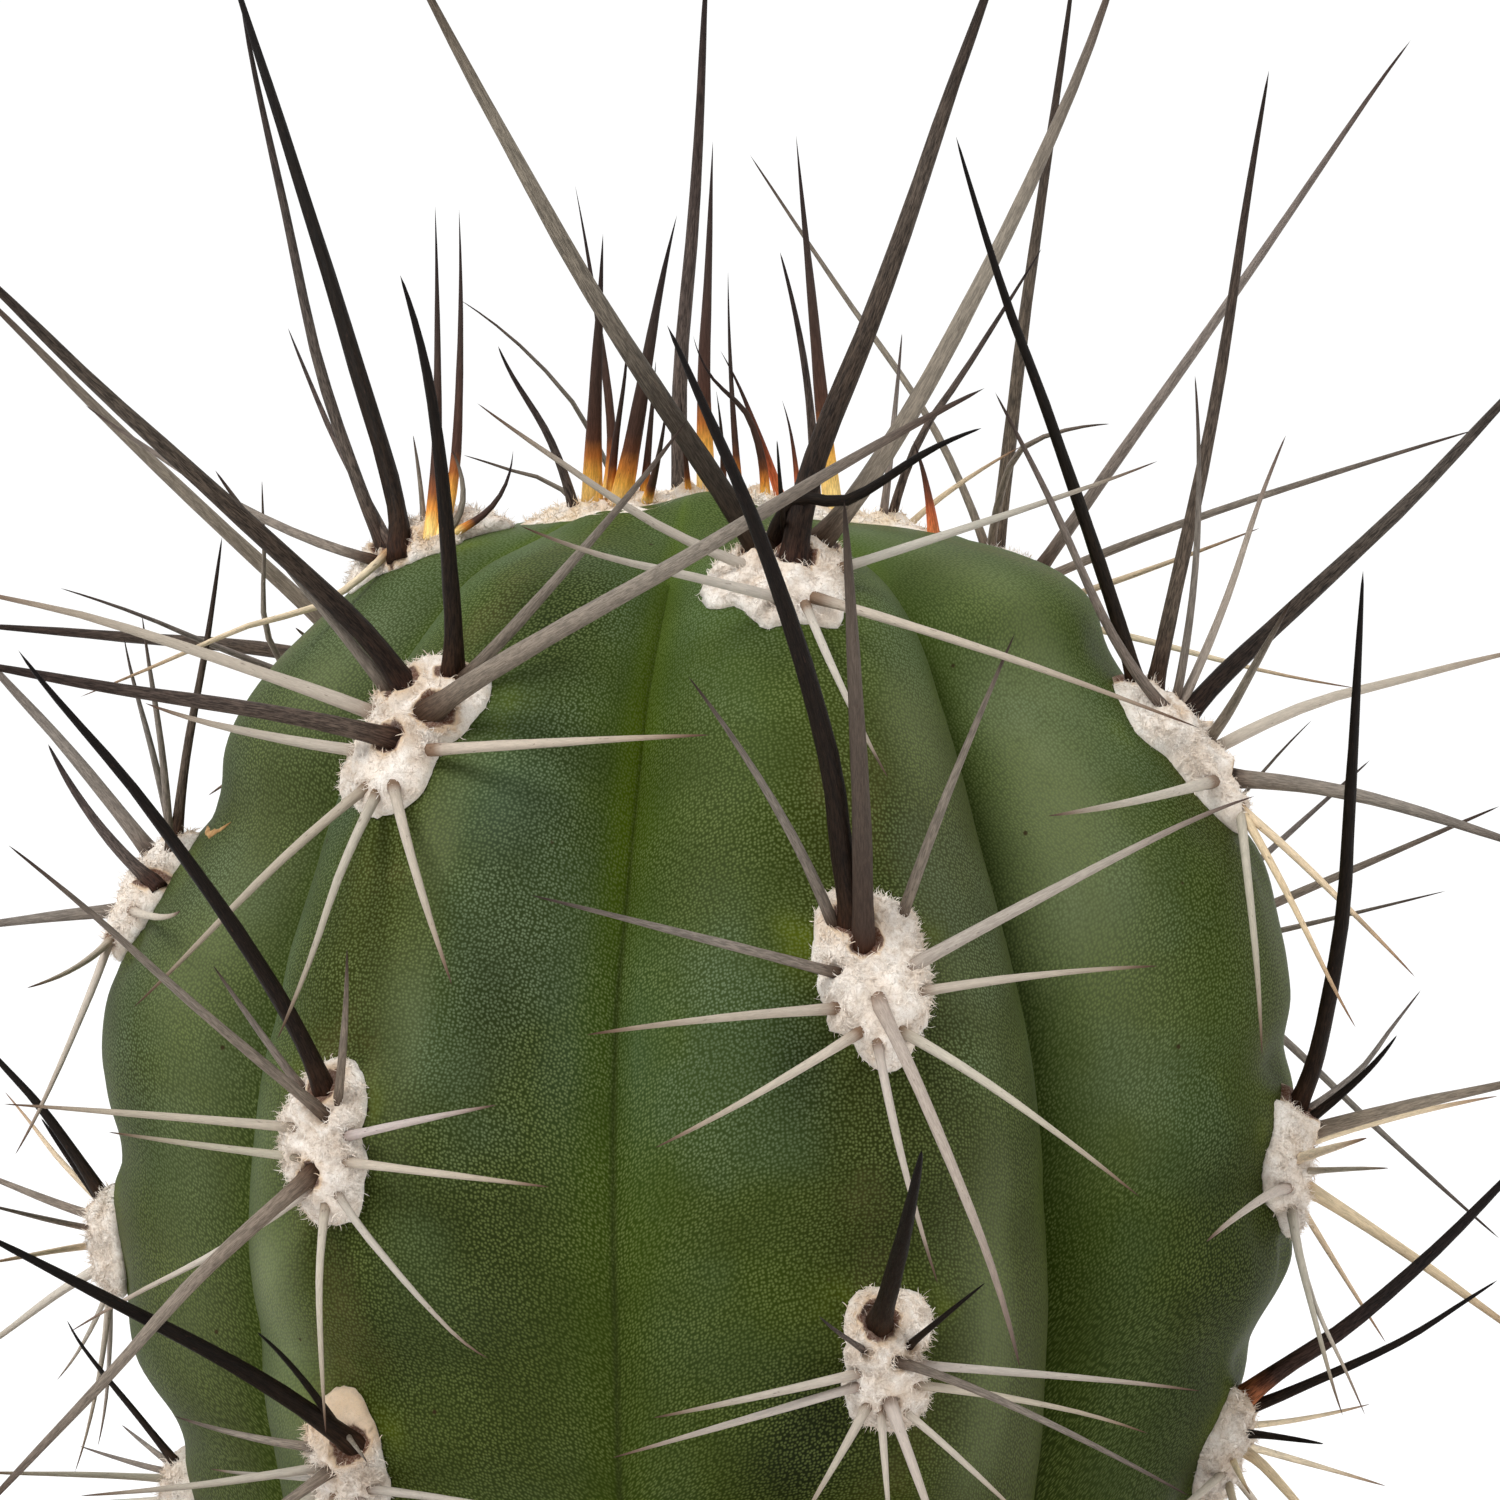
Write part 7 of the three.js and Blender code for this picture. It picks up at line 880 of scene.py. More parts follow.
        ("c", "p", 0.43, [(-29.94, -1.49, 134.52), (-37.35, -0.77, 136.96), (-44.69, -0.5, 139.66), (-52.64, -0.85, 143.02)]),
        ("r", "g", 0.34, [(-29.83, -0.97, 135.04), (-32.24, 0.54, 138.35), (-34.8, 2.13, 141.88), (-37.82, 4, 146.09)]),
        ("r", "g", 0.36, [(-29.74, -2.48, 134.9), (-31.23, -4.45, 137.42), (-33.04, -6.39, 140.21), (-35.47, -8.5, 143.68)]),
        ("r", "p", 0.41, [(-29.69, -3.12, 133.54), (-30.94, -6.84, 134.62), (-32, -10.82, 135.59), (-32.89, -15.58, 136.53)]),
        ("r", "p", 0.39, [(-29.85, -0.14, 133.25), (-31.58, 3.59, 133.71), (-33.66, 7.56, 134.18), (-36.44, 12.26, 134.7)]),
        ("r", "p", 0.37, [(-29.71, -3.12, 132.49), (-30.92, -6.88, 131.98), (-32.46, -10.82, 131.13), (-34.65, -15.42, 129.7)]),
        ("r", "p", 0.37, [(-29.88, -0.22, 132.26), (-32.07, 3.21, 130.63), (-33.94, 7.02, 129.22), (-35.53, 11.74, 127.97)]),
        ("r", "p", 0.36, [(-29.79, -2.74, 131.46), (-30.78, -5.99, 128.79), (-32.07, -9.28, 125.75), (-33.92, -12.96, 121.9)]),
        ("r", "p", 0.37, [(-29.92, -0.89, 131.07), (-31.67, 1, 127.93), (-33.42, 2.93, 124.5), (-35.33, 5.09, 120.36)]),
        ("r", "p", 0.32, [(-29.9, -1.73, 130.78), (-31.45, -2.19, 127.57), (-32.77, -2.47, 124.14), (-33.88, -2.51, 120.04)]),
    ]),
    ("D5", ((-28.51, -1.7, 118), (-0.9978, -0.0569, 0.0341), (0.034, 0.0019, 0.9994), (2.5, 3.5, 1.6)), [
        ("c", "d", 0.67, [(-29.63, -1.42, 119.41), (-40.3, 1.14, 125.32), (-50.41, 3.72, 131.69), (-60.7, 6.6, 139.36)]),
        ("c", "g", 0.49, [(-29.59, -2.22, 119.3), (-35.25, -5.43, 123.88), (-40.82, -9.14, 128.5), (-46.8, -13.92, 133.66)]),
        ("c", "t", 0.41, [(-29.75, -1.7, 117.41), (-33.61, -1.95, 112.54), (-37.47, -1.75, 107.38), (-41.71, -0.88, 101.29)]),
        ("r", "g", 0.36, [(-29.5, -1.28, 120.12), (-31.66, -0.64, 123.73), (-34.08, 0.37, 127.47), (-37.1, 1.98, 131.78)]),
        ("r", "g", 0.36, [(-29.45, -2.11, 120.17), (-30.67, -2.8, 123.2), (-32.02, -3.62, 126.42), (-33.67, -4.73, 130.21)]),
        ("r", "p", 0.4, [(-29.38, -3.05, 119.2), (-30.43, -6.3, 121), (-31.29, -9.65, 123.09), (-31.95, -13.46, 125.77)]),
        ("r", "p", 0.41, [(-29.53, -0.32, 118.83), (-30.86, 3.1, 120.26), (-32.18, 6.76, 121.76), (-33.63, 11.13, 123.52)]),
        ("r", "p", 0.38, [(-29.4, -3.25, 117.61), (-30.74, -7.42, 116.46), (-31.63, -11.89, 115.59), (-31.97, -17.27, 115.02)]),
        ("r", "p", 0.39, [(-29.56, -0.23, 117.77), (-31.35, 3.09, 117.5), (-33.08, 6.63, 117.12), (-34.9, 10.84, 116.53)]),
        ("r", "p", 0.36, [(-29.5, -2.82, 116.45), (-31.35, -5.44, 113.54), (-33.04, -8.38, 110.58), (-34.66, -12.08, 107.28)]),
        ("r", "p", 0.35, [(-29.63, -0.9, 116.22), (-31.7, 1.42, 113.12), (-33.88, 3.71, 109.69), (-36.43, 6.2, 105.46)]),
        ("r", "p", 0.32, [(-29.61, -1.97, 115.86), (-31.02, -2.72, 112.44), (-32.16, -3.32, 108.74), (-33.03, -3.76, 104.31)]),
    ]),
    ("E1", ((20.03, 13.97, 201.1), (0.6437, 0.4454, 0.6223), (-0.5117, -0.3541, 0.7828), (3.5, 4.6, 1.9)), [
        ("c", "d", 0.71, [(18.22, 16.21, 202.33), (19, 18.06, 208.9), (20.43, 21.13, 219.73), (22.35, 24.6, 232.16), (23.29, 26.34, 238.42), (23.7, 27.22, 241.57)]),
        ("r", "g", 0.37, [(17.95, 14.93, 203.82), (18.95, 10.61, 210.08), (20.39, 9.03, 211.7), (24.72, 5.39, 212.89)]),
        ("c", "g", 0.58, [(20.67, 11.8, 203.34), (25.67, 10.16, 210.76), (32.07, 8.04, 220.22), (39.9, 5.27, 232.22), (42.39, 4.42, 235.77)]),
        ("c", "g", 0.43, [(19.89, 15.62, 202.04), (26.32, 15.1, 204.86), (33.94, 14.45, 207.67), (47.6, 13.24, 212.06)]),
        ("r", "t", 0.31, [(20.52, 16.27, 200.77), (26.09, 11.69, 203.09), (33.78, 5.36, 206.63)]),
        ("r", "t", 0.31, [(20.44, 16.65, 200.33), (26.9, 14.71, 199.11), (34.48, 12.36, 197.34), (40.16, 10.67, 196.41)]),
        ("c", "g", 0.37, [(17.95, 14.93, 203.82), (14.36, 21.02, 212.2), (8.83, 27.45, 220.13), (3.1, 34.36, 228.59)]),
        ("r", "g", 0.36, [(19.56, 16.27, 201.55), (18.45, 18.81, 201.87), (17.47, 21.64, 202.23), (16.56, 25.18, 202.71)]),
        ("r", "g", 0.37, [(19, 15.71, 202.57), (17.29, 17.15, 203.49), (15.6, 18.86, 204.42), (13.78, 21.15, 205.44)]),
        ("r", "p", 0.42, [(20.19, 16.47, 200.8), (20.18, 19.91, 200.62), (19.91, 23.42, 200.23), (19.25, 27.38, 199.51)]),
        ("r", "p", 0.38, [(20.04, 16.45, 200.96), (20.03, 20.15, 201.5), (20.22, 24.15, 201.98), (20.72, 28.96, 202.41)]),
        ("r", "p", 0.38, [(22.3, 13.02, 201.07), (22.95, 12.46, 200.93), (23.66, 11.88, 200.78), (24.5, 11.19, 200.6)]),
        ("r", "p", 0.34, [(20.91, 16.42, 200.18), (22.44, 20.84, 199.17), (23.63, 25.42, 197.93), (24.47, 30.7, 196.24)]),
    ]),
    ("E2", ((29.15, 20.07, 179.5), (0.8066, 0.5516, 0.2125), (-0.1754, -0.12, 0.9772), (3.2, 4.5, 1.9)), [
        ("c", "g", 0.48, [(29.22, 22.31, 178.25), (37.27, 21.58, 181.96), (50.39, 20.39, 187.92)]),
        ("r", "g", 0.29, [(29.24, 22.32, 178.03), (36.75, 17.15, 180.56), (45.93, 10.9, 183.83)]),
        ("c", "g", 0.41, [(28.92, 22.5, 178.22), (35.9, 22.96, 184.53), (42.48, 23.4, 190.49)]),
        ("c", "g", 0.44, [(30.31, 21.07, 178.95), (38.41, 25.33, 171.26), (44.15, 28.41, 165.5), (52.39, 32.74, 157.72)]),
        ("r", "g", 0.25, [(28.79, 21.62, 181.82), (35.41, 16.71, 190.89), (37.96, 14.95, 193.97)]),
        ("r", "g", 0.37, [(29.47, 20.58, 182.46), (29.35, 21.18, 185.83), (28.98, 21.46, 189.37), (28.19, 21.28, 193.47)]),
        ("r", "g", 0.38, [(28.96, 21.47, 181.85), (27.64, 24.03, 185.03), (26.17, 26.46, 188.55), (24.31, 28.91, 192.91)]),
        ("r", "p", 0.43, [(28.79, 21.92, 181.07), (28.27, 25.51, 183.8), (27.91, 29.7, 186.43), (27.73, 35.18, 189.19)]),
        ("r", "p", 0.42, [(30.14, 19.66, 182.17), (30.63, 18.71, 184.42), (31.11, 17.61, 186.77), (31.64, 16.2, 189.51)]),
        ("r", "p", 0.39, [(29.05, 22.31, 178.97), (27.99, 26.92, 178.04), (26.79, 31.79, 177.04), (25.28, 37.51, 175.85)]),
        ("r", "p", 0.38, [(31.11, 19.99, 177.54), (32.76, 18.91, 175.63), (34.4, 17.92, 173.44), (36.18, 16.96, 170.63)]),
        ("r", "p", 0.33, [(29.79, 21.93, 177.53), (29.73, 25.04, 174.8), (30.05, 28.32, 171.76), (30.96, 32.19, 168)]),
        ("r", "p", 0.36, [(30.27, 21.46, 177.11), (30.8, 22.73, 174.18), (31.35, 24.16, 171.07), (31.98, 25.93, 167.41)]),
    ]),
    ("E3", ((28.36, 19.31, 160.5), (0.808, 0.5477, -0.2172), (0.1798, 0.1219, 0.9761), (2.5, 3.7, 1.6)), [
        ("c", "k", 0.75, [(29.26, 20.48, 161.52), (30.32, 25.09, 164.07), (31.81, 29.8, 167.05), (34.09, 35.13, 170.95)]),
        ("c", "g", 0.57, [(29.12, 20.58, 161.26), (31.5, 27.21, 163.2), (34.16, 34.61, 164.87), (37.5, 43.86, 166.33)]),
        ("c", "p", 0.52, [(29.03, 20.23, 159.76), (29.55, 24.27, 154.87), (30.19, 28.25, 149.48), (31.06, 32.54, 142.85)]),
        ("r", "g", 0.37, [(29.61, 20.16, 162.49), (30.97, 20.89, 165.43), (32.51, 21.91, 168.53), (34.47, 23.42, 172.14)]),
        ("r", "g", 0.33, [(28.87, 20.93, 161.88), (28.93, 24.81, 164.62), (28.92, 28.81, 167.65), (28.82, 33.37, 171.39)]),
        ("r", "p", 0.39, [(28.37, 21.13, 160.69), (26.97, 25.02, 161.41), (25.57, 29.28, 161.97), (24.06, 34.47, 162.37)]),
        ("r", "p", 0.41, [(30.05, 18.64, 160.67), (31.75, 16.48, 161.11), (33.72, 14.28, 161.54), (36.26, 11.79, 161.99)]),
        ("r", "p", 0.35, [(28.26, 21.08, 160.17), (27.47, 24.86, 159.35), (26.6, 28.87, 158.76), (25.52, 33.64, 158.45)]),
        ("r", "p", 0.36, [(29.77, 18.58, 159.42), (31.16, 16.9, 158.44), (32.51, 15.03, 157.42), (33.92, 12.69, 156.22)]),
        ("r", "p", 0.36, [(28.24, 20.65, 158.87), (27.28, 24.07, 156.28), (26.38, 27.53, 153.23), (25.48, 31.37, 149.23)]),
        ("r", "p", 0.34, [(29.06, 19.23, 158.16), (29.73, 18.34, 154.79), (30.09, 17.21, 151.25), (30.03, 15.66, 147.15)]),
        ("r", "p", 0.33, [(28.75, 19.67, 158.06), (29.25, 19.97, 154.05), (29.33, 20.24, 149.86), (28.83, 20.51, 145.03)]),
    ]),
    ("E4", ((24.65, 16.63, 144.5), (0.8279, 0.5573, -0.0626), (0.0519, 0.035, 0.998), (2.5, 3.7, 1.6)), [
        ("c", "k", 0.68, [(26.03, 16.69, 144.58), (33.66, 16.88, 143.49), (42.21, 17.47, 141.93), (52.94, 18.7, 139.55)]),
        ("c", "g", 0.56, [(25.38, 17.74, 145.68), (28.88, 22.67, 148.32), (31.82, 27.82, 150.85), (34.24, 33.78, 153.47)]),
        ("c", "g", 0.47, [(25.86, 16.94, 143.95), (32.25, 17.7, 139.4), (38.33, 18.09, 134.56), (44.53, 18.01, 128.81)]),
        ("r", "g", 0.38, [(26.05, 16.59, 146.38), (28.49, 15.75, 149.09), (30.68, 14.84, 152.14), (32.72, 13.72, 155.96)]),
        ("r", "g", 0.39, [(24.83, 18.27, 145.76), (24.67, 21.15, 147.59), (24.2, 24.11, 149.46), (23.23, 27.47, 151.56)]),
        ("r", "p", 0.38, [(24.68, 18.4, 145.21), (24.26, 22.7, 146.07), (23.7, 27.07, 147.31), (22.89, 31.98, 149.22)]),
        ("r", "p", 0.37, [(26.31, 15.91, 144.72), (28.99, 13.45, 144.97), (31.49, 10.6, 145.39), (33.97, 6.92, 146.11)]),
        ("r", "p", 0.35, [(24.6, 18.34, 143.63), (23.75, 21.99, 142.49), (22.49, 25.54, 141.09), (20.52, 29.31, 139.18)]),
        ("r", "p", 0.36, [(26.29, 15.89, 144.27), (29.99, 13.35, 143.92), (33.69, 10.48, 143.5), (37.76, 6.87, 142.92)]),
        ("r", "p", 0.37, [(24.79, 18.03, 142.81), (24.61, 21.54, 139.96), (24.42, 25.1, 136.79), (24.17, 29.06, 132.82)]),
        ("r", "p", 0.33, [(26.05, 16.17, 142.94), (28.84, 14.63, 140.84), (31.3, 12.89, 138.39), (33.52, 10.71, 135.19)]),
        ("r", "p", 0.35, [(25.36, 17.19, 142.14), (26.37, 18.25, 138.94), (27.63, 19.29, 135.52), (29.37, 20.42, 131.44)]),
    ]),
    ("E5", ((24, 16.05, 129.5), (0.8314, 0.5549, 0.0289), (-0.0241, -0.0161, 0.9996), (2.5, 3.5, 1.6)), [
        ("c", "k", 0.71, [(24.55, 17.28, 130.25), (27.37, 24.57, 132.22), (29.66, 32, 133.91), (31.4, 40.36, 135.36)]),
        ("c", "g", 0.48, [(25.21, 16.25, 130.74), (30.27, 16.37, 134.61), (36, 16.3, 138.43), (43.26, 15.96, 142.56)]),
        ("c", "g", 0.49, [(25.3, 16.27, 129.22), (31, 16.38, 126.01), (37.17, 16.38, 122.76), (44.65, 16.22, 119.1)]),
        ("r", "g", 0.38, [(24.44, 17.14, 131.5), (25.66, 19.68, 135.34), (26.62, 22.47, 139.32), (27.32, 25.89, 143.87)]),
        ("r", "g", 0.35, [(25.13, 16.11, 131.55), (27.53, 15.84, 134.56), (29.93, 15.81, 137.9), (32.6, 16.13, 142.01)]),
        ("r", "p", 0.42, [(23.94, 17.85, 129.94), (23.42, 22.68, 131.03), (22.41, 27.56, 132), (20.6, 33, 132.9)]),
        ("r", "p", 0.42, [(25.66, 15.29, 129.7), (28.98, 12.52, 129.91), (32.47, 9.54, 130.27), (36.53, 5.98, 130.9)]),
        ("r", "p", 0.35, [(24, 17.83, 128.83), (22.97, 21.71, 127.57), (21.69, 25.73, 126.24), (19.92, 30.36, 124.66)]),
        ("r", "p", 0.38, [(25.64, 15.36, 128.87), (28.84, 12.91, 127.65), (32.51, 10.45, 126.4), (37.22, 7.75, 124.99)]),
        ("r", "p", 0.38, [(24.29, 17.52, 127.93), (23.94, 20.36, 125.67), (23.78, 23.28, 123.05), (23.91, 26.61, 119.69)]),
        ("r", "p", 0.35, [(25.35, 15.96, 127.68), (27.59, 14.61, 124.58), (30.05, 13.57, 121.1), (33.07, 12.86, 116.75)]),
        ("r", "p", 0.34, [(24.72, 16.96, 127.41), (25.46, 18.82, 123.93), (26.35, 20.55, 120.16), (27.54, 22.29, 115.59)]),
        ("r", "d", 0.25, [(25.11, 16.14, 131.57), (27.5, 16.86, 133.27), (29.81, 17.59, 135.11), (32.25, 18.41, 137.33)]),
    ]),
    ("E6", ((23.79, 15.78, 115), (0.8336, 0.5517, 0.0267), (-0.0223, -0.0148, 0.9996), (2.4, 3.4, 1.6)), [
        ("c", "d", 0.62, [(24.81, 16.25, 116.44), (32.04, 19.55, 123.02), (39.68, 22.71, 129.96), (48.66, 25.99, 138.12)]),
        ("c", "g", 0.51, [(24.44, 16.83, 116.14), (24.83, 22.39, 119.9), (25.69, 28.39, 124.12), (27.3, 35.62, 129.41)]),
        ("c", "p", 0.41, [(24.99, 16.19, 114.52), (30.3, 16.69, 110.84), (35.06, 17.21, 106.65), (39.5, 17.8, 101.33)]),
        ("r", "g", 0.35, [(24.98, 15.75, 116.92), (27.59, 15.65, 119.67), (30.01, 15.42, 122.66), (32.36, 14.99, 126.26)]),
        ("r", "g", 0.34, [(24.21, 16.91, 116.89), (24.4, 19.08, 119.48), (24.84, 21.3, 122.37), (25.69, 23.8, 125.97)]),
        ("r", "p", 0.42, [(23.84, 17.43, 115.86), (23.14, 21.59, 117.52), (22.22, 25.88, 119.32), (20.87, 30.79, 121.49)]),
        ("r", "p", 0.37, [(25.41, 15.08, 115.18), (29.24, 12.11, 115.8), (33.24, 8.87, 116.23), (37.87, 4.92, 116.42)]),
        ("r", "p", 0.35, [(23.8, 17.53, 114.7), (23.09, 21.3, 113.88), (21.94, 25.11, 113.28), (20.04, 29.35, 112.94)]),
        ("r", "p", 0.36, [(25.41, 15.09, 114.76), (28.93, 13.53, 114.4), (32.59, 11.81, 114.02), (36.82, 9.68, 113.59)]),
        ("r", "p", 0.35, [(24.09, 17.22, 113.52), (24.11, 19.72, 111.15), (23.75, 22.32, 108.77), (22.82, 25.32, 106.13)]),
        ("r", "p", 0.33, [(25.22, 15.51, 113.48), (27.96, 14.59, 110.95), (30.55, 13.32, 108.31), (33.19, 11.41, 105.24)]),
        ("r", "p", 0.34, [(24.57, 16.59, 112.94), (25.6, 18.16, 109.68), (26.46, 19.49, 106.16), (27.14, 20.6, 101.94)]),
    ]),
    ("F1", ((-0.32, 25.12, 199.5), (-0.0182, 0.7659, 0.6427), (0.0153, -0.6425, 0.7661), (3.6, 4.8, 1.9)), [
        ("c", "d", 0.79, [(-1.2, 23.25, 203.04), (-1.32, 25.65, 214.75), (-0.4, 27.92, 225.82), (0.23, 30.52, 238.48), (0.42, 31.18, 241.65)]),
        ("r", "g", 0.32, [(-2.89, 24.6, 201.21), (-7.15, 22.26, 211.84), (-10.68, 21, 216.3), (-14.97, 19.67, 219.79)]),
        ("r", "g", 0.32, [(-3.27, 24.92, 200.59), (-8.94, 24.57, 207.71), (-12.09, 24.26, 208.88), (-15.05, 23.96, 209.85)]),
        ("c", "g", 0.6, [(-0.98, 26.53, 199.91), (-3.01, 30.01, 199.58), (-5.07, 33.95, 199.31), (-7.36, 38.96, 199.12)]),
        ("c", "p", 0.56, [(0.34, 26.51, 199.97), (3.36, 32.93, 200.43), (6.56, 39.89, 201), (10.34, 48.29, 201.78)]),
        ("r", "g", 0.34, [(1.88, 25.67, 200.46), (4.99, 25.91, 201.15), (8.31, 25.99, 201.75), (12.26, 25.82, 202.28)]),
        ("r", "g", 0.35, [(-2.32, 26.78, 199.07), (-3.39, 29.52, 200.27), (-4.64, 32.02, 201.49), (-6.28, 34.44, 202.86)]),
        ("r", "p", 0.41, [(-2.57, 25.9, 200.05), (-5.84, 27.89, 201.25), (-9.32, 29.48, 202.44), (-13.45, 30.67, 203.69)]),
        ("r", "p", 0.39, [(1.87, 25.65, 200.48), (5.45, 26.48, 201.58), (9.24, 27.35, 202.97), (13.7, 28.39, 204.9)]),
        ("r", "p", 0.38, [(-2.53, 26.22, 199.68), (-7.19, 27.59, 200.03), (-12.11, 29.21, 200.21), (-17.88, 31.31, 200.17)]),
        ("r", "p", 0.39, [(1.82, 26.38, 199.62), (5.12, 29.06, 200.29), (8.72, 31.32, 200.92), (13.13, 33.19, 201.54)]),
        ("r", "p", 0.35, [(-1.84, 27.37, 198.48), (-5.08, 30.96, 197.25), (-8.37, 34.65, 195.64), (-12.05, 38.85, 193.31)]),
        ("r", "p", 0.33, [(1.34, 27.2, 198.73), (3.87, 30.1, 197.72), (6.77, 33.12, 196.91), (10.48, 36.61, 196.27)]),
    ]),
    ("F2", ((-0.04, 35.25, 178), (-0.0102, 0.9801, 0.1983), (0.0021, -0.1983, 0.9801), (2.6, 3.7, 1.6)), [
        ("c", "d", 0.82, [(-0.36, 36.08, 179.65), (-2.4, 44.72, 186.14), (-4.64, 52.69, 192.79), (-7.35, 60.5, 200.31)]),
        ("c", "g", 0.53, [(0.44, 36.12, 179.49), (3.29, 42.43, 184.45), (6.35, 48.58, 189.6), (10.04, 55.1, 195.52)]),
        ("c", "t", 0.5, [(0.25, 36.55, 177.68), (2.01, 42.48, 173.64), (4.2, 48.05, 169.31), (7.24, 53.65, 164.14)]),
        ("r", "g", 0.33, [(-0.73, 35.84, 180.21), (-2.84, 37.88, 184.55), (-4.89, 39.45, 189.14), (-7.06, 40.49, 194.56)]),
        ("r", "g", 0.38, [(0.95, 35.89, 179.93), (4.11, 37.23, 183.82), (7.29, 38.67, 188.11), (10.84, 40.4, 193.4)]),
        ("r", "p", 0.42, [(-1.57, 36.04, 178.85), (-5.66, 38.41, 180.45), (-9.97, 40.39, 182.2), (-15.03, 42.02, 184.34)]),
        ("r", "p", 0.38, [(1.52, 36.12, 178.57), (6.98, 36.76, 179.95), (12.84, 37.86, 181.25), (19.86, 39.75, 182.55)]),
        ("r", "p", 0.39, [(-1.64, 36.19, 178.06), (-6.58, 38.02, 178), (-11.85, 39.71, 178.02), (-18.12, 41.38, 178.14)]),
        ("r", "p", 0.37, [(1.5, 36.3, 177.69), (6.23, 38.29, 176.86), (11.29, 40.14, 176.02), (17.35, 42, 175.11)]),
        ("r", "p", 0.38, [(-1.15, 36.54, 176.58), (-4.18, 38.75, 174.33), (-7.16, 40.81, 171.62), (-10.35, 42.83, 168)]),
        ("r", "p", 0.37, [(0.83, 36.62, 176.35), (3.37, 39.06, 172.89), (6.1, 41.67, 169.21), (9.37, 44.78, 164.87)]),
        ("r", "p", 0.36, [(0.01, 36.72, 175.98), (0.01, 39.61, 173.12), (0.11, 42.32, 169.99), (0.37, 45, 166.17)]),
    ]),
    ("F3", ((0.33, 33.42, 158), (0.0042, 0.9651, -0.2619), (0.0011, 0.2619, 0.9651), (2.4, 3.6, 1.6)), [
        ("c", "k", 0.77, [(0.17, 34.92, 159.14), (-1.82, 43.08, 163.42), (-3.5, 51.08, 168.28), (-4.89, 59.64, 174.47)]),
        ("c", "g", 0.58, [(0.83, 34.85, 158.87), (3.57, 42.51, 160.32), (6.8, 49.76, 161.8), (11.03, 57.13, 163.48)]),
        ("c", "t", 0.52, [(0.78, 34.47, 157.29), (4.83, 38.48, 151.62), (8.91, 42.05, 145.55), (13.42, 45.36, 138.33)]),
        ("r", "g", 0.38, [(-0.41, 34.92, 159.61), (-2.79, 39.09, 161.91), (-4.99, 43.1, 164.69), (-7.18, 47.24, 168.41)]),
        ("r", "g", 0.35, [(1.29, 34.84, 159.39), (3.87, 36.73, 161.42), (6.36, 39.09, 163.72), (8.95, 42.38, 166.64)]),
        ("r", "p", 0.42, [(-0.99, 34.63, 158.7), (-5.07, 36.32, 159.83), (-9.25, 38.24, 161.38), (-13.98, 40.68, 163.67)]),
        ("r", "p", 0.38, [(1.71, 34.56, 158.51), (6, 36.87, 159.68), (10.61, 39.17, 160.86), (16.13, 41.69, 162.17)]),
        ("r", "p", 0.36, [(-1.12, 34.46, 158.1), (-5.01, 35.3, 158.49), (-9.16, 36.04, 159.01), (-14.07, 36.72, 159.75)]),
        ("r", "p", 0.35, [(1.78, 34.24, 157.33), (5.97, 35.05, 156.12), (10.47, 36.28, 154.87), (15.84, 38.24, 153.42)]),
        ("r", "p", 0.39, [(-0.85, 34.03, 156.44), (-4.02, 34.57, 154.23), (-7.22, 34.8, 151.74), (-10.8, 34.62, 148.58)]),
        ("r", "p", 0.37, [(1.44, 33.99, 156.32), (4.81, 35.07, 153.03), (8.39, 36.07, 149.55), (12.61, 37.05, 145.45)]),
        ("r", "p", 0.31, [(0.24, 33.84, 155.56), (0.13, 33.66, 152.05), (-0.08, 33.69, 148.26), (-0.45, 34.02, 143.68)]),
    ]),
    ("F4", ((0.55, 29.41, 142), (0.0156, 0.9994, -0.0316), (0.0005, 0.0316, 0.9995), (2.4, 3.7, 1.6)), [
        ("c", "d", 0.65, [(0.1, 30.61, 143.26), (-4.34, 36.23, 149.38), (-9.5, 42.87, 155.51), (-16.2, 51.59, 162.28)]),
        ("c", "g", 0.55, [(0.97, 30.6, 143.32), (2.33, 38.2, 145.93), (4.24, 45.6, 148.42), (7.11, 53.44, 150.97)]),
        ("c", "g", 0.49, [(0.39, 30.61, 141.33), (-1.36, 36.44, 136.42), (-2.63, 42.61, 131.03), (-3.33, 49.89, 124.44)]),
        ("r", "g", 0.38, [(-0.01, 30.52, 144.09), (-1.49, 32.47, 147.16), (-2.91, 34.68, 150.5), (-4.39, 37.46, 154.55)]),
        ("r", "g", 0.37, [(0.99, 30.51, 144.17), (1.58, 33.45, 146.69), (2.41, 36.46, 149.32), (3.68, 39.86, 152.36)]),
        ("r", "p", 0.41, [(-0.83, 30.43, 142.75), (-4.62, 30.95, 143.98), (-8.62, 31.82, 145.4), (-13.31, 33.28, 147.22)]),
        ("r", "p", 0.41, [(2.03, 30.36, 142.17), (6.22, 31.99, 142.21), (10.66, 33.59, 142.51), (15.91, 35.3, 143.22)]),
        ("r", "p", 0.35, [(-0.92, 30.4, 141.94), (-5.2, 31.9, 142.09), (-9.76, 33.49, 142.01), (-15.17, 35.34, 141.58)]),
        ("r", "p", 0.37, [(1.97, 30.34, 141.3), (5.73, 32.65, 139.76), (9.82, 34.66, 138.41), (14.78, 36.44, 137.2)]),
        ("r", "p", 0.35, [(-0.31, 30.38, 140.12), (-2.47, 32.06, 136.86), (-4.88, 33.9, 133.47), (-7.87, 36.16, 129.54)]),
        ("r", "p", 0.36, [(1.43, 30.35, 140.1), (4.04, 31.74, 136.96), (6.61, 32.87, 133.46), (9.36, 33.73, 129.1)]),
        ("r", "p", 0.36, [(0.34, 30.38, 139.69), (-0.04, 31.75, 135.71), (-0.63, 32.8, 131.51), (-1.61, 33.51, 126.57)]),
    ]),
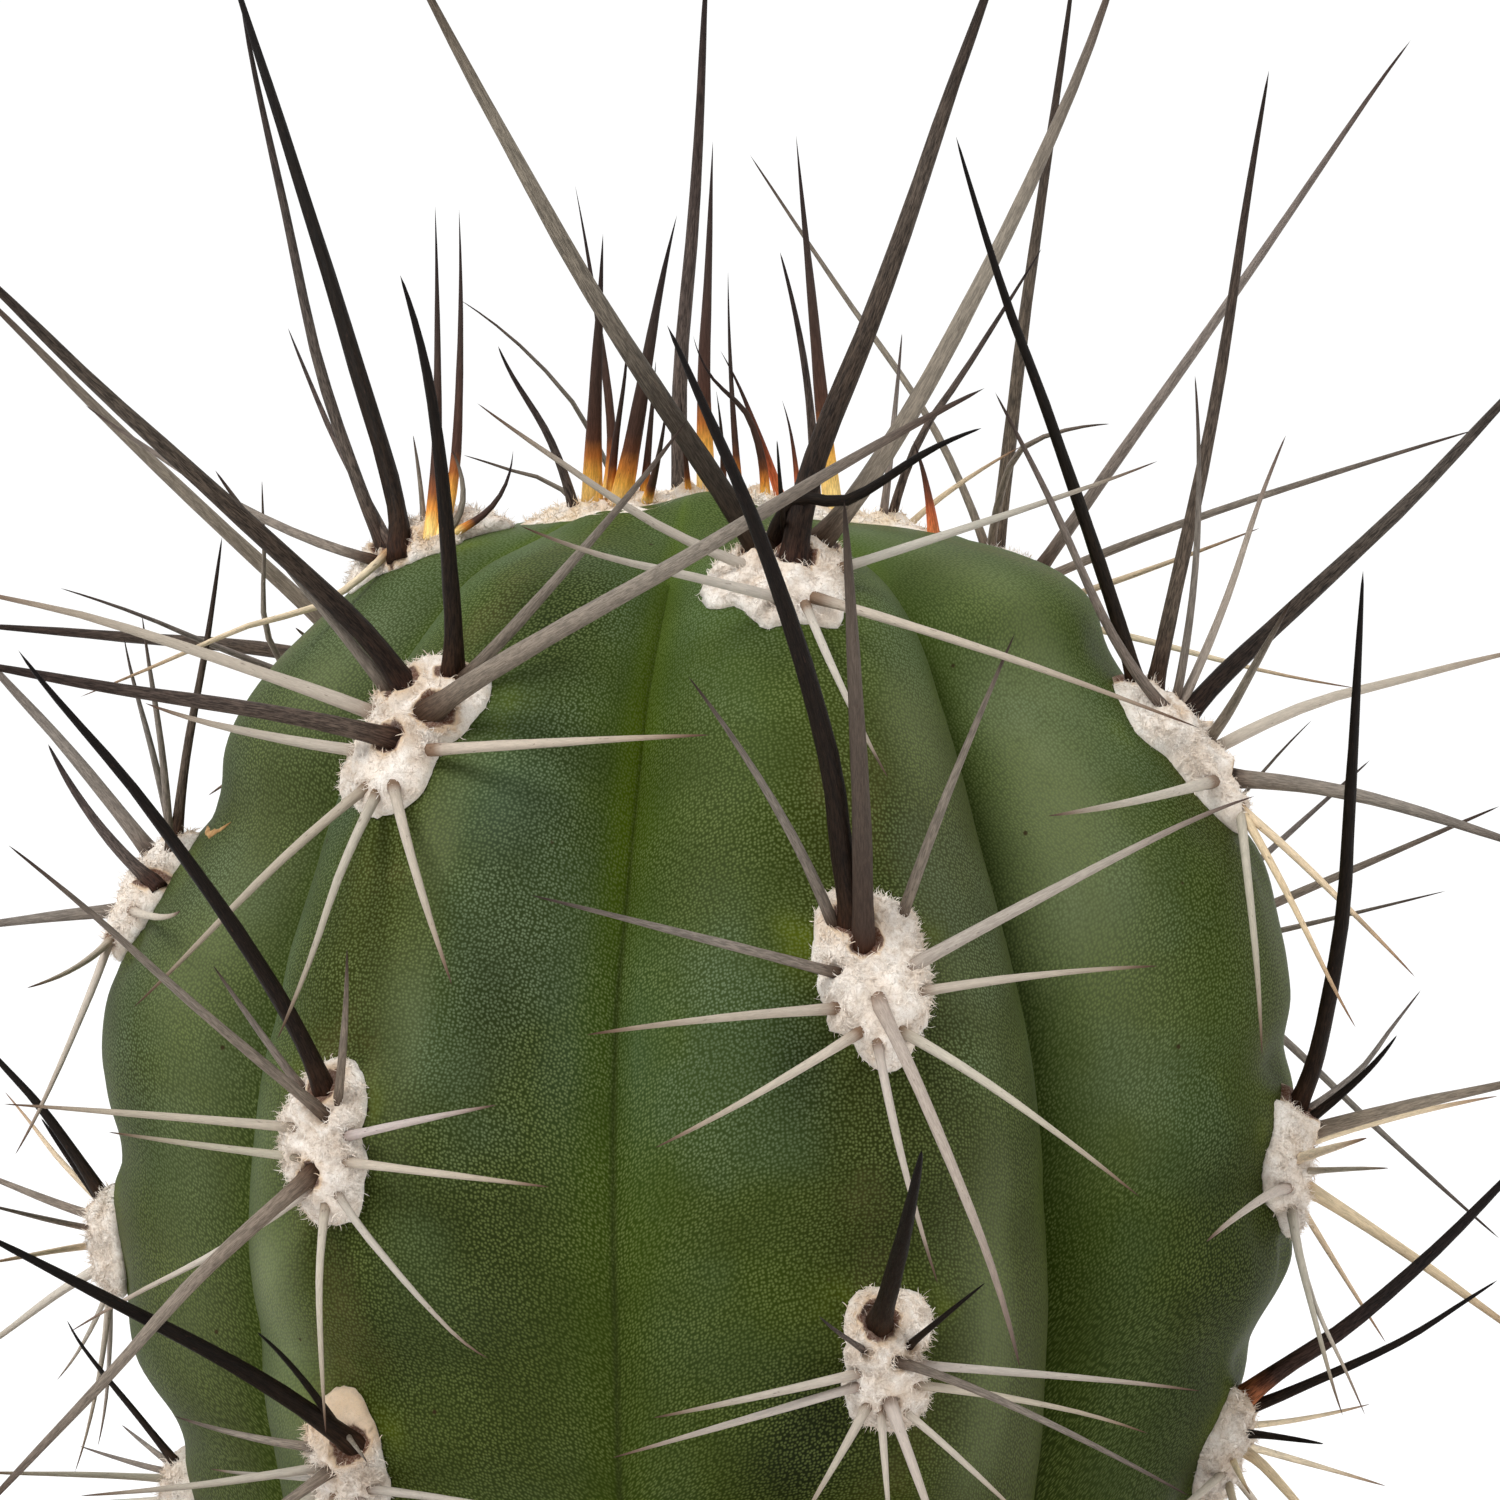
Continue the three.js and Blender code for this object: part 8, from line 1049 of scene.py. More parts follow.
    ("F5", ((0.77, 28.76, 127), (0.024, 0.9991, 0.0347), (-0.0008, -0.0347, 0.9994), (2.5, 3.7, 1.6)), [
        ("c", "d", 0.68, [(1.08, 29.85, 128.49), (4.35, 38.2, 136.94), (8.06, 46.26, 145.82), (12.78, 54.7, 156.19)]),
        ("c", "g", 0.5, [(0.76, 29.86, 128.58), (1.11, 35.41, 130.6), (1.2, 41.42, 132.75), (0.93, 48.68, 135.29)]),
        ("c", "p", 0.43, [(0.2, 29.97, 126.8), (-4.39, 33.84, 124.03), (-8.95, 37.44, 120.6), (-13.92, 41.01, 115.91)]),
        ("r", "g", 0.38, [(1.3, 29.7, 129.18), (2.88, 32.06, 133.12), (4.39, 34.02, 137.36), (5.94, 35.62, 142.44)]),
        ("r", "g", 0.36, [(-0.52, 29.73, 128.27), (-2.86, 31.33, 130.01), (-5.43, 32.98, 131.77), (-8.56, 34.84, 133.72)]),
        ("r", "p", 0.43, [(-0.71, 29.73, 127.62), (-4.84, 31.94, 128.48), (-9.17, 33.74, 129.67), (-14.23, 35.15, 131.46)]),
        ("r", "p", 0.41, [(2.27, 29.66, 127.76), (6.16, 30.98, 129.09), (10.29, 32.38, 130.53), (15.19, 34.04, 132.28)]),
        ("r", "p", 0.38, [(-0.76, 29.75, 126.94), (-3.92, 31.72, 126.83), (-7.29, 33.96, 126.75), (-11.29, 36.8, 126.73)]),
        ("r", "p", 0.36, [(2.34, 29.68, 126.82), (6.36, 30.52, 126.42), (10.65, 31.7, 126.05), (15.77, 33.48, 125.68)]),
        ("r", "p", 0.33, [(-0.23, 29.85, 125.32), (-3.04, 31.94, 122.71), (-5.76, 33.68, 119.66), (-8.65, 35.08, 115.69)]),
        ("r", "p", 0.38, [(2.01, 29.77, 125.61), (5.25, 31.13, 122.75), (8.85, 32.55, 119.88), (13.32, 34.19, 116.72)]),
        ("r", "p", 0.35, [(0.78, 29.88, 124.77), (0.69, 31.18, 121.75), (0.67, 32.4, 118.52), (0.74, 33.61, 114.68)]),
    ]),
    ("F6", ((0.99, 28.45, 112.5), (0.0322, 0.9991, 0.0285), (-0.0009, -0.0285, 0.9996), (2.5, 3.5, 1.6)), [
        ("c", "d", 0.6, [(0.72, 29.57, 113.93), (-2.54, 35.9, 120.35), (-5.49, 42.3, 127.42), (-8.33, 49.41, 136.12)]),
        ("c", "g", 0.47, [(1.36, 29.55, 113.91), (3.19, 34.57, 117.56), (5.21, 40.39, 121.45), (7.71, 47.93, 126.04)]),
        ("c", "g", 0.42, [(0.42, 29.66, 112.33), (-2.19, 34.51, 109.67), (-5.31, 39.9, 107.3), (-9.47, 46.61, 105.12)]),
        ("r", "g", 0.36, [(0.54, 29.44, 114.62), (-0.63, 31.19, 117.92), (-1.73, 32.8, 121.48), (-2.82, 34.37, 125.77)]),
        ("r", "g", 0.35, [(1.85, 29.39, 114.39), (3.85, 31.73, 117.21), (5.85, 33.79, 120.29), (8.04, 35.65, 124.04)]),
        ("r", "p", 0.42, [(-0.42, 29.44, 113.37), (-4.13, 31.02, 115.42), (-8.23, 32.95, 117.25), (-13.3, 35.59, 118.96)]),
        ("r", "p", 0.39, [(2.43, 29.35, 113.42), (6.32, 30.21, 114.83), (10.36, 31.45, 116.6), (15.02, 33.32, 119.05)]),
        ("r", "p", 0.39, [(-0.52, 29.46, 112.21), (-3.73, 31.24, 111.49), (-7.21, 32.96, 110.99), (-11.39, 34.78, 110.74)]),
        ("r", "p", 0.37, [(2.53, 29.37, 112.04), (5.97, 30.61, 111.42), (9.6, 31.65, 110.64), (13.87, 32.5, 109.59)]),
        ("r", "p", 0.37, [(-0.25, 29.51, 111.27), (-3.55, 31.33, 109.37), (-6.9, 33.05, 107.09), (-10.66, 34.78, 104.03)]),
        ("r", "p", 0.34, [(2, 29.47, 110.82), (4.24, 31.43, 108.27), (6.6, 33.42, 105.5), (9.34, 35.67, 102.18)]),
        ("r", "p", 0.35, [(0.43, 29.56, 110.5), (-0.8, 30.73, 108.11), (-1.88, 32.16, 105.48), (-2.86, 34.09, 102.24)]),
    ]),
    ("G1", ((-20.51, 18.01, 196), (-0.6458, 0.5567, 0.5226), (0.3958, -0.3412, 0.8526), (3.6, 4.9, 1.9)), [
        ("c", "g", 0.75, [(-20.58, 19.77, 196.46), (-24.73, 19.25, 200.74), (-34.24, 18.05, 209.91), (-43.3, 16.9, 219.15), (-45.7, 16.6, 221.63)]),
        ("c", "d", 0.75, [(-20.58, 19.77, 196.46), (-27.09, 20.92, 197.75), (-38, 22.66, 198.54), (-44.45, 23.69, 198.95), (-47.04, 24.1, 199.1)]),
        ("r", "g", 0.35, [(-21.09, 20.7, 194.33), (-30.58, 14.2, 198.9), (-34.31, 11.64, 200.81), (-38.84, 8.57, 202.73)]),
        ("r", "g", 0.31, [(-23.38, 16.83, 194.94), (-26.63, 14.58, 198.97), (-26.69, 11.95, 205.39), (-26.65, 10.4, 209.18)]),
        ("c", "p", 0.53, [(-21.52, 19.29, 196.02), (-23.81, 23.08, 193.89), (-26.64, 27.26, 191.79), (-30.5, 32.4, 189.54)]),
        ("r", "g", 0.36, [(-22.53, 16.8, 196.69), (-23.91, 15.54, 196.92), (-25.3, 14.12, 197.14), (-26.83, 12.33, 197.4)]),
        ("r", "g", 0.35, [(-19.43, 19.9, 197.25), (-18.18, 22.65, 198.88), (-16.7, 25.49, 200.41), (-14.74, 28.74, 201.96)]),
        ("r", "p", 0.39, [(-23.08, 18.27, 194.63), (-25.34, 17.83, 192.88), (-27.77, 17.26, 191.09), (-30.71, 16.45, 189.06)]),
        ("r", "p", 0.41, [(-19.34, 19.66, 197.64), (-16.55, 22.7, 199.86), (-13.26, 25.68, 201.97), (-8.94, 28.86, 204.13)]),
        ("r", "p", 0.36, [(-21.99, 16.61, 197.62), (-23.02, 15.34, 198.26), (-23.94, 13.93, 199), (-24.83, 12.19, 199.98)]),
        ("r", "p", 0.35, [(-19.78, 20.32, 196.34), (-18.42, 24.02, 197.1), (-16.93, 27.92, 197.67), (-15.14, 32.5, 198.03)]),
        ("r", "p", 0.33, [(-22.9, 18.99, 194.19), (-24.96, 19.33, 191.97), (-27.19, 19.7, 189.63), (-29.89, 20.14, 186.88)]),
        ("r", "p", 0.36, [(-21.21, 20.5, 194.58), (-21.25, 24.09, 192.39), (-21.54, 28.05, 190.17), (-22.24, 32.95, 187.68)]),
    ]),
    ("G2", ((-26.28, 23.5, 174), (-0.7471, 0.6598, 0.0802), (0.0601, -0.0531, 0.9968), (2.4, 3.6, 1.6)), [
        ("c", "k", 0.79, [(-26.76, 24.54, 175.33), (-24.98, 29.71, 182.01), (-23.21, 35.66, 188.97), (-21.29, 43.3, 197.01)]),
        ("c", "g", 0.54, [(-26.7, 24.63, 175.17), (-26.36, 29.56, 178.22), (-26.37, 35.01, 181.65), (-26.87, 41.72, 185.95)]),
        ("c", "t", 0.51, [(-27.33, 24.21, 173.49), (-28.69, 24.05, 169.07), (-30.08, 23.85, 164.35), (-31.63, 23.57, 158.73)]),
        ("r", "g", 0.37, [(-26.74, 24.28, 176.24), (-29.02, 26.48, 177.92), (-31.33, 28.88, 179.68), (-33.92, 31.82, 181.74)]),
        ("r", "g", 0.34, [(-26.5, 24.55, 176.07), (-27.59, 27.23, 179.73), (-28.53, 30.25, 183.5), (-29.33, 34.02, 187.81)]),
        ("r", "p", 0.38, [(-27.6, 23.32, 175.71), (-29.48, 22.05, 178.18), (-31.25, 20.5, 180.8), (-33.03, 18.41, 183.9)]),
        ("r", "p", 0.37, [(-26.06, 25.09, 175.04), (-25.12, 29.67, 177.4), (-23.6, 34.18, 179.72), (-21.09, 39.03, 182.23)]),
        ("r", "p", 0.35, [(-27.99, 23.08, 173.5), (-30.62, 20.97, 172.58), (-33.33, 18.62, 171.64), (-36.45, 15.7, 170.6)]),
        ("r", "p", 0.38, [(-26.09, 25.24, 173.45), (-23.83, 29.73, 172.2), (-20.99, 34.11, 170.73), (-17.05, 38.75, 168.8)]),
        ("r", "p", 0.37, [(-27.6, 23.79, 172.11), (-29.74, 23.87, 168.66), (-32.19, 23.71, 165.12), (-35.3, 23.17, 161.11)]),
        ("r", "p", 0.39, [(-26.54, 24.93, 172.33), (-26.49, 27.81, 169.58), (-26.39, 30.84, 166.64), (-26.19, 34.38, 163.15)]),
        ("r", "p", 0.33, [(-27.12, 24.38, 171.89), (-28.3, 25.8, 168.46), (-29.32, 27.05, 164.77), (-30.2, 28.19, 160.35)]),
    ]),
    ("G3", ((-23.89, 21.69, 155), (-0.7092, 0.6402, -0.2952), (-0.2191, 0.1978, 0.9554), (2.5, 3.6, 1.6)), [
        ("c", "d", 0.72, [(-24.75, 22.99, 155.97), (-28.7, 28.59, 156.61), (-33.31, 34.95, 157.1), (-39.32, 43.01, 157.45)]),
        ("c", "g", 0.56, [(-24.7, 23.02, 155.93), (-28.39, 29.37, 158.3), (-31.63, 36.21, 160.59), (-34.58, 44.42, 163.01)]),
        ("c", "p", 0.53, [(-24.71, 22.24, 154.04), (-27.81, 23, 146.2), (-30.69, 23.66, 137.94), (-33.57, 24.24, 128.26)]),
        ("r", "g", 0.33, [(-25.32, 22.56, 156.8), (-28.65, 24.17, 160.25), (-31.75, 25.66, 164.11), (-34.84, 27.12, 168.92)]),
        ("r", "g", 0.37, [(-24.66, 23.22, 156.68), (-26.08, 26.74, 159.02), (-27.39, 30.03, 161.75), (-28.66, 33.29, 165.33)]),
        ("r", "p", 0.41, [(-25.73, 21.62, 155.95), (-29.03, 21.49, 156.9), (-32.41, 21.23, 157.98), (-36.22, 20.74, 159.35)]),
        ("r", "p", 0.41, [(-23.59, 23.52, 154.99), (-22.52, 28.13, 154.99), (-21.21, 32.92, 154.92), (-19.41, 38.42, 154.73)]),
        ("r", "p", 0.38, [(-25.11, 21.13, 153.38), (-27, 19.05, 150.61), (-28.92, 16.48, 148.02), (-31.08, 12.96, 145.43)]),
        ("r", "p", 0.37, [(-23.42, 23.28, 154.05), (-21.67, 27.13, 152.56), (-19.6, 30.96, 150.84), (-16.86, 35.11, 148.61)]),
        ("r", "p", 0.36, [(-24.91, 21.24, 153.06), (-27.56, 19.46, 149.52), (-30.2, 17.7, 145.55), (-33.08, 15.81, 140.57)]),
        ("r", "p", 0.35, [(-23.77, 22.38, 152.7), (-23.21, 23.82, 148.34), (-22.13, 25.11, 143.91), (-20.2, 26.32, 138.94)]),
        ("r", "p", 0.35, [(-24.41, 21.64, 152.61), (-25.22, 21.19, 149.6), (-25.73, 20.58, 146.45), (-25.85, 19.7, 142.81)]),
    ]),
    ("G4", ((-21.44, 19.73, 139), (-0.737, 0.6759, -0.0037), (-0.0027, 0.0025, 1), (2.5, 3.6, 1.6)), [
        ("c", "k", 0.72, [(-22.14, 20.68, 140.43), (-25.85, 27.05, 145.04), (-29.85, 33.14, 150.13), (-34.64, 39.43, 156.43)]),
        ("c", "g", 0.5, [(-21.95, 20.88, 140.19), (-24.38, 27.51, 144.07), (-26.58, 34.55, 147.97), (-28.69, 42.87, 152.31)]),
        ("c", "g", 0.48, [(-22.29, 20.6, 138.36), (-25.48, 24.19, 133.13), (-28.92, 28.01, 127.54), (-33.06, 32.51, 120.9)]),
        ("r", "g", 0.38, [(-22.08, 20.59, 141.18), (-23.01, 22.37, 144.21), (-24.3, 24.19, 147.46), (-26.21, 26.23, 151.38)]),
        ("r", "g", 0.37, [(-21.58, 21.09, 140.76), (-21.2, 23.14, 143.69), (-20.58, 25.47, 146.62), (-19.54, 28.42, 149.84)]),
        ("r", "p", 0.39, [(-23.14, 19.31, 139.61), (-26.93, 17.36, 140.77), (-30.62, 14.96, 142), (-34.53, 11.68, 143.47)]),
        ("r", "p", 0.37, [(-21.21, 21.42, 139.83), (-19.69, 25.56, 141.79), (-18, 30.04, 143.65), (-15.9, 35.44, 145.54)]),
        ("r", "p", 0.37, [(-23.16, 19.28, 138.54), (-26.62, 17.77, 137.76), (-30.35, 16.18, 136.97), (-34.83, 14.31, 136.1)]),
        ("r", "p", 0.37, [(-21.13, 21.49, 138.67), (-19.69, 24.8, 138.32), (-18.19, 28.34, 137.8), (-16.47, 32.56, 136.99)]),
        ("r", "p", 0.33, [(-23, 19.48, 137.71), (-26.53, 18.71, 135.2), (-30.12, 17.49, 132.76), (-34.12, 15.48, 130.21)]),
        ("r", "p", 0.38, [(-21.47, 21.17, 137.39), (-21.17, 24.71, 134.7), (-20.59, 28.06, 131.7), (-19.57, 31.47, 127.96)]),
        ("r", "p", 0.32, [(-22.35, 20.27, 136.81), (-24.14, 20.89, 133.31), (-25.57, 21.43, 129.54), (-26.66, 21.9, 125.02)]),
        ("r", "d", 0.28, [(-22.31, 20.34, 141.19), (-23.45, 21.07, 142.52), (-24.66, 21.98, 143.94), (-26.07, 23.22, 145.64)]),
    ]),
    ("G5", ((-20.98, 19.54, 124), (-0.7321, 0.6802, 0.0382), (0.028, -0.026, 0.9993), (2.6, 3.5, 1.6)), [
        ("c", "d", 0.69, [(-22.33, 19.75, 124.62), (-30.5, 16.84, 125.38), (-39.14, 13.77, 126.7), (-49.3, 10.18, 128.93)]),
        ("c", "g", 0.45, [(-21.46, 20.64, 125.29), (-24.79, 27.54, 130.45), (-27.49, 34.93, 135.46), (-29.58, 43.75, 140.75)]),
        ("c", "g", 0.44, [(-21.53, 20.74, 123.67), (-22.98, 26.19, 120.52), (-24.23, 31.6, 117.07), (-25.32, 37.48, 112.82)]),
        ("r", "g", 0.33, [(-22.2, 19.62, 125.93), (-24.96, 19.41, 128.86), (-27.66, 19.39, 132.17), (-30.51, 19.65, 136.32)]),
        ("r", "g", 0.33, [(-21.14, 20.77, 125.93), (-21.57, 23.24, 128.48), (-22.05, 25.78, 131.25), (-22.63, 28.64, 134.6)]),
        ("r", "p", 0.42, [(-22.58, 19.18, 125.2), (-26.31, 18.07, 127), (-29.81, 16.68, 129.18), (-33.33, 14.77, 132.11)]),
        ("r", "p", 0.43, [(-20.62, 21.3, 124.68), (-18.94, 25.42, 126.43), (-17.36, 30.16, 127.98), (-15.78, 36.25, 129.39)]),
        ("r", "p", 0.34, [(-22.76, 19.04, 123.65), (-26.43, 17.9, 123.14), (-30.36, 16.7, 122.58), (-35.04, 15.3, 121.88)]),
        ("r", "p", 0.37, [(-20.62, 21.36, 123.61), (-19.21, 24.46, 122.75), (-17.64, 27.76, 122.06), (-15.68, 31.67, 121.53)]),
        ("r", "p", 0.34, [(-22.54, 19.41, 122.53), (-25.28, 18.66, 120.36), (-28.09, 17.82, 117.98), (-31.27, 16.78, 115.08)]),
        ("r", "p", 0.34, [(-21.21, 20.89, 122.19), (-21.04, 23.7, 118.72), (-20.64, 26.47, 114.99), (-19.86, 29.42, 110.53)]),
        ("r", "p", 0.34, [(-22.01, 20.08, 121.91), (-23.4, 21.04, 119.28), (-24.79, 21.63, 116.51), (-26.33, 21.75, 113.26)]),
    ]),
    ("G6", ((-20.65, 19.47, 109.5), (-0.7281, 0.6849, 0.0275), (0.02, -0.0188, 0.9996), (2.4, 3.6, 1.6)), [
        ("c", "d", 0.61, [(-21.29, 20.4, 111), (-24.48, 26.7, 116.44), (-28.07, 33, 122.4), (-32.57, 39.9, 129.68)]),
        ("c", "g", 0.47, [(-21.89, 19.79, 110.55), (-29.29, 21.7, 113.4), (-36.93, 23.3, 116.19), (-45.68, 24.62, 119.19)]),
        ("c", "g", 0.41, [(-21.01, 20.78, 109.8), (-22.25, 25.49, 109.8), (-23.44, 30.32, 109.51), (-24.68, 35.82, 108.79)]),
        ("r", "g", 0.36, [(-21.28, 20.22, 111.78), (-22.58, 21.57, 115.09), (-23.59, 22.87, 118.59), (-24.29, 24.23, 122.72)]),
        ("r", "g", 0.33, [(-21.75, 19.72, 111.61), (-23.88, 19.81, 114.33), (-25.92, 20.01, 117.32), (-28.03, 20.39, 121)]),
        ("r", "p", 0.39, [(-22.28, 19.12, 110.42), (-25.58, 17.68, 111.69), (-28.92, 16.07, 113.2), (-32.63, 14.04, 115.19)]),
        ("r", "p", 0.41, [(-20.39, 21.13, 110.33), (-18.07, 24.4, 112.33), (-15.74, 28.22, 114.09), (-13.17, 33.22, 115.67)]),
        ("r", "p", 0.37, [(-22.36, 19.08, 109.04), (-25.51, 17.66, 108.05), (-28.72, 15.93, 107.27), (-32.34, 13.58, 106.73)]),
        ("r", "p", 0.35, [(-20.36, 21.2, 109.11), (-18.71, 24.98, 108.59), (-16.99, 28.99, 107.88), (-15, 33.75, 106.82)]),
        ("r", "p", 0.38, [(-22.11, 19.45, 107.87), (-24.65, 19.34, 106.17), (-27.25, 19.26, 104.26), (-30.2, 19.22, 101.87)]),
        ("r", "p", 0.34, [(-20.58, 21.04, 108.19), (-20.12, 24.14, 106.66), (-19.48, 27.1, 104.82), (-18.52, 30.16, 102.36)]),
        ("r", "p", 0.34, [(-20.78, 20.87, 107.77), (-20.98, 22.7, 106.18), (-21.06, 24.61, 104.54), (-20.99, 26.83, 102.64)]),
        ("r", "d", 0.28, [(-21.39, 20.12, 111.78), (-22.53, 21.18, 113.77), (-23.77, 22.3, 115.9), (-25.27, 23.6, 118.42)]),
    ]),
]

CROWN_SPINES = [
    ("c", "d", 0.41, [(-7.2, -2.4, 208.09), (-8.61, -3.62, 212.51), (-10.77, -4.77, 216.33), (-11.54, -5.46, 218.05)]),
    ("c", "y", 0.7, [(-6.2, -2, 208.26), (-5.89, -4.03, 216.3), (-5.61, -5.29, 220.71), (-5.4, -6.44, 224.62)]),
    ("c", "y", 0.42, [(-5.5, 1.5, 208.38), (-5.15, 2.33, 212.34), (-5.98, 4.14, 219.17), (-7.38, 6.24, 227.16)]),
    ("c", "y", 0.38, [(-5.2, -1.6, 208.41), (-4.76, -2.65, 212.48), (-4.21, -3.67, 216.28), (-4.01, -4.46, 218.94)]),
    ("c", "y", 0.76, [(-4.6, -2.2, 208.45), (-3.5, -3.53, 213.76), (-2.13, -5.23, 221.29), (-1.12, -6.44, 225.66)]),
    ("c", "y", 0.35, [(-3.2, -1.8, 208.59), (-2.63, -3.91, 214.25), (-2.37, -5.24, 217.23)]),
    ("c", "y", 0.35, [(-2.9, -3.4, 209.03), (-2.12, -7.11, 212.11), (-1.63, -8.6, 215.37)]),
    ("c", "y", 0.65, [(0.5, 0.6, 208.74), (0.38, 1.46, 216.1), (0.55, 1.77, 220.45), (0.9, 3.13, 229.87)]),
    ("c", "y", 0.36, [(4, 0, 208.57), (3.1, 0.06, 213.45), (0.74, 0.02, 216.09), (-0.26, 0.05, 218.45)]),
    ("c", "b", 0.36, [(5, 1.5, 208.44), (2.8, 1.81, 214.52), (1.32, 1.95, 217.48)]),
    ("c", "y", 0.3, [(2.5, 0.5, 208.68), (1.97, 2.05, 215.99), (1.79, 3.47, 222.17)]),
    ("c", "y", 0.65, [(8, 0.5, 208.01), (7.21, 0.83, 215.97), (6.53, 1.13, 222.83), (5.82, 1.45, 230.18)]),
    ("c", "d", 0.45, [(7, 2, 208.14), (6.43, 2.36, 215.98), (4.88, 2.65, 223.26)]),
    ("r", "g", 0.33, [(11, 2, 207.31), (11.46, 2.65, 211.07), (12.18, 4.2, 218.39)]),
    ("r", "d", 0.36, [(11.5, 3.5, 207.09), (13.35, 4.54, 212.24), (15.82, 5.42, 215.82), (20.67, 7.3, 223.37)]),
    ("c", "b", 0.42, [(14, 0.5, 206.49), (13.48, 0.56, 209.85), (12.76, 0.59, 212.22)]),
    ("r", "t", 0.27, [(12.5, 4, 206.77), (15.1, 4.19, 208.97), (19.28, 4.48, 211.56)]),
    ("r", "y", 0.26, [(-0.5, 0.2, 208.75), (-0.78, -2.07, 212.38), (-0.99, -4.02, 215.3)]),
    ("r", "y", 0.26, [(1.5, 0.6, 208.72), (1.45, -1.94, 212.37), (1.12, -4.23, 215.43)]),
    ("r", "b", 0.27, [(6, 0, 208.34), (5.58, -0.22, 212.27), (4.99, -0.36, 214.64)]),
]

# how each tone runs from base to tip: (share of the length, display colour)
TONES = {
    "k": [(0, (44, 26, 16)), (0.03, (44, 30, 20)), (0.08, (32, 23, 16)), (0.4, (23, 17, 12)), (0.75, (20, 15, 12)), (1, (14, 10, 9))],
    "m": [(0, (46, 28, 20)), (0.04, (34, 24, 18)), (0.14, (36, 28, 23)), (0.3, (56, 47, 40)), (0.6, (72, 64, 57)), (0.85, (48, 40, 35)), (1, (22, 17, 15))],
    "d": [(0, (50, 32, 24)), (0.03, (66, 50, 41)), (0.1, (82, 71, 63)), (0.4, (78, 68, 62)), (0.75, (56, 46, 42)), (1, (28, 21, 19))],
    "g": [(0, (58, 40, 28)), (0.03, (88, 74, 63)), (0.09, (120, 109, 98)), (0.5, (126, 117, 107)), (0.8, (102, 92, 84)), (0.92, (72, 59, 52)), (1, (44, 33, 29))],
    "v": [(0, (44, 30, 20)), (0.08, (40, 33, 27)), (0.26, (58, 51, 45)), (0.42, (100, 92, 84)), (0.7, (114, 106, 97)), (0.88, (84, 74, 66)), (1, (44, 33, 29))],
    "p": [(0, (124, 101, 82)), (0.03, (172, 160, 146)), (0.1, (190, 180, 166)), (0.55, (178, 168, 153)), (0.8, (154, 140, 124)), (0.91, (110, 88, 72)), (1, (62, 40, 34))],
    "w": [(0, (120, 98, 80)), (0.03, (158, 146, 134)), (0.12, (164, 154, 143)), (0.6, (156, 146, 134)), (0.85, (120, 106, 96)), (1, (60, 42, 36))],
    "n": [(0, (58, 34, 22)), (0.05, (60, 48, 42)), (0.3, (70, 61, 55)), (0.7, (88, 79, 72)), (0.9, (70, 61, 55)), (1, (40, 32, 28))],
    "t": [(0, (160, 124, 88)), (0.04, (214, 196, 166)), (0.6, (208, 188, 158)), (0.84, (166, 138, 110)), (1, (84, 52, 40))],
    "y": [(0, (236, 204, 130)), (0.09, (236, 178, 78)), (0.14, (214, 132, 54)), (0.18, (140, 78, 40)), (0.23, (74, 50, 40)), (0.6, (62, 50, 44)), (0.85, (44, 34, 32)), (1, (24, 17, 17))],
    "o": [(0, (150, 92, 56)), (0.04, (122, 72, 46)), (0.09, (56, 40, 32)), (0.4, (34, 28, 25)), (1, (18, 13, 13))],
    "b": [(0, (206, 122, 76)), (0.18, (182, 94, 58)), (0.36, (112, 62, 44)), (0.65, (62, 44, 38)), (1, (30, 22, 22))],
}
COARSE = {"k": 0.75, "m": 0.95, "n": 0.3, "d": 0.8, "g": 0.42, "v": 0.6, "p": 0.12, "w": 0.2, "t": 0.2, "y": 0.3, "b": 0.45, "o": 0.8}
TONES = {k: (np.array([f for f, _ in v]), np.array([srgb(*c) for _, c in v])) for k, v in TONES.items()}


def smooth_line(points, shares, root):
    """Points at shares of the length of a smooth curve, lengthened backward by root."""
    p = np.array(points, float)
    d0 = p[1] - p[0]
    d0 /= np.linalg.norm(d0)
    t = np.concatenate([[0], np.cumsum(np.linalg.norm(np.diff(p, axis=0), axis=1))])
    g = np.empty_like(p)
    if len(p) == 2:
        g[:] = (p[1] - p[0]) / t[-1]
    else:
        g[1:-1] = (p[2:] - p[:-2]) / (t[2:] - t[:-2])[:, None]
        g[0] = 2 * (p[1] - p[0]) / (t[1] - t[0]) - g[1]
        g[-1] = 2 * (p[-1] - p[-2]) / (t[-1] - t[-2]) - g[-2]
    x = np.linspace(0, t[-1], 80)
    i = np.clip(np.searchsorted(t, x, "right") - 1, 0, len(t) - 2)
    h = (t[i + 1] - t[i])[:, None]
    q = (x - t[i])[:, None] / h
    c = (
        p[i] * (2 * q**3 - 3 * q**2 + 1)
        + h * g[i] * (q**3 - 2 * q**2 + q)
        + p[i + 1] * (3 * q**2 - 2 * q**3)
        + h * g[i + 1] * (q**3 - q**2)
    )
    c = np.vstack([p[0] - d0 * root, c])
    a = np.concatenate([[0], np.cumsum(np.linalg.norm(np.diff(c, axis=0), axis=1))])
    want = np.asarray(shares) * a[-1]
    return np.stack([np.interp(want, a, c[:, j]) for j in range(3)], -1), want - root, a[-1] - root


BIG = np.array([0, 0.012, 0.024, 0.04, 0.06, 0.09, 0.13, 0.18, 0.24, 0.3, 0.37, 0.45, 0.53, 0.61, 0.69, 0.76, 0.83, 0.89, 0.94, 0.975, 1])
SMALL = np.array([0, 0.03, 0.06, 0.11, 0.18, 0.27, 0.37, 0.48, 0.59, 0.7, 0.8, 0.88, 0.94, 0.98, 1])


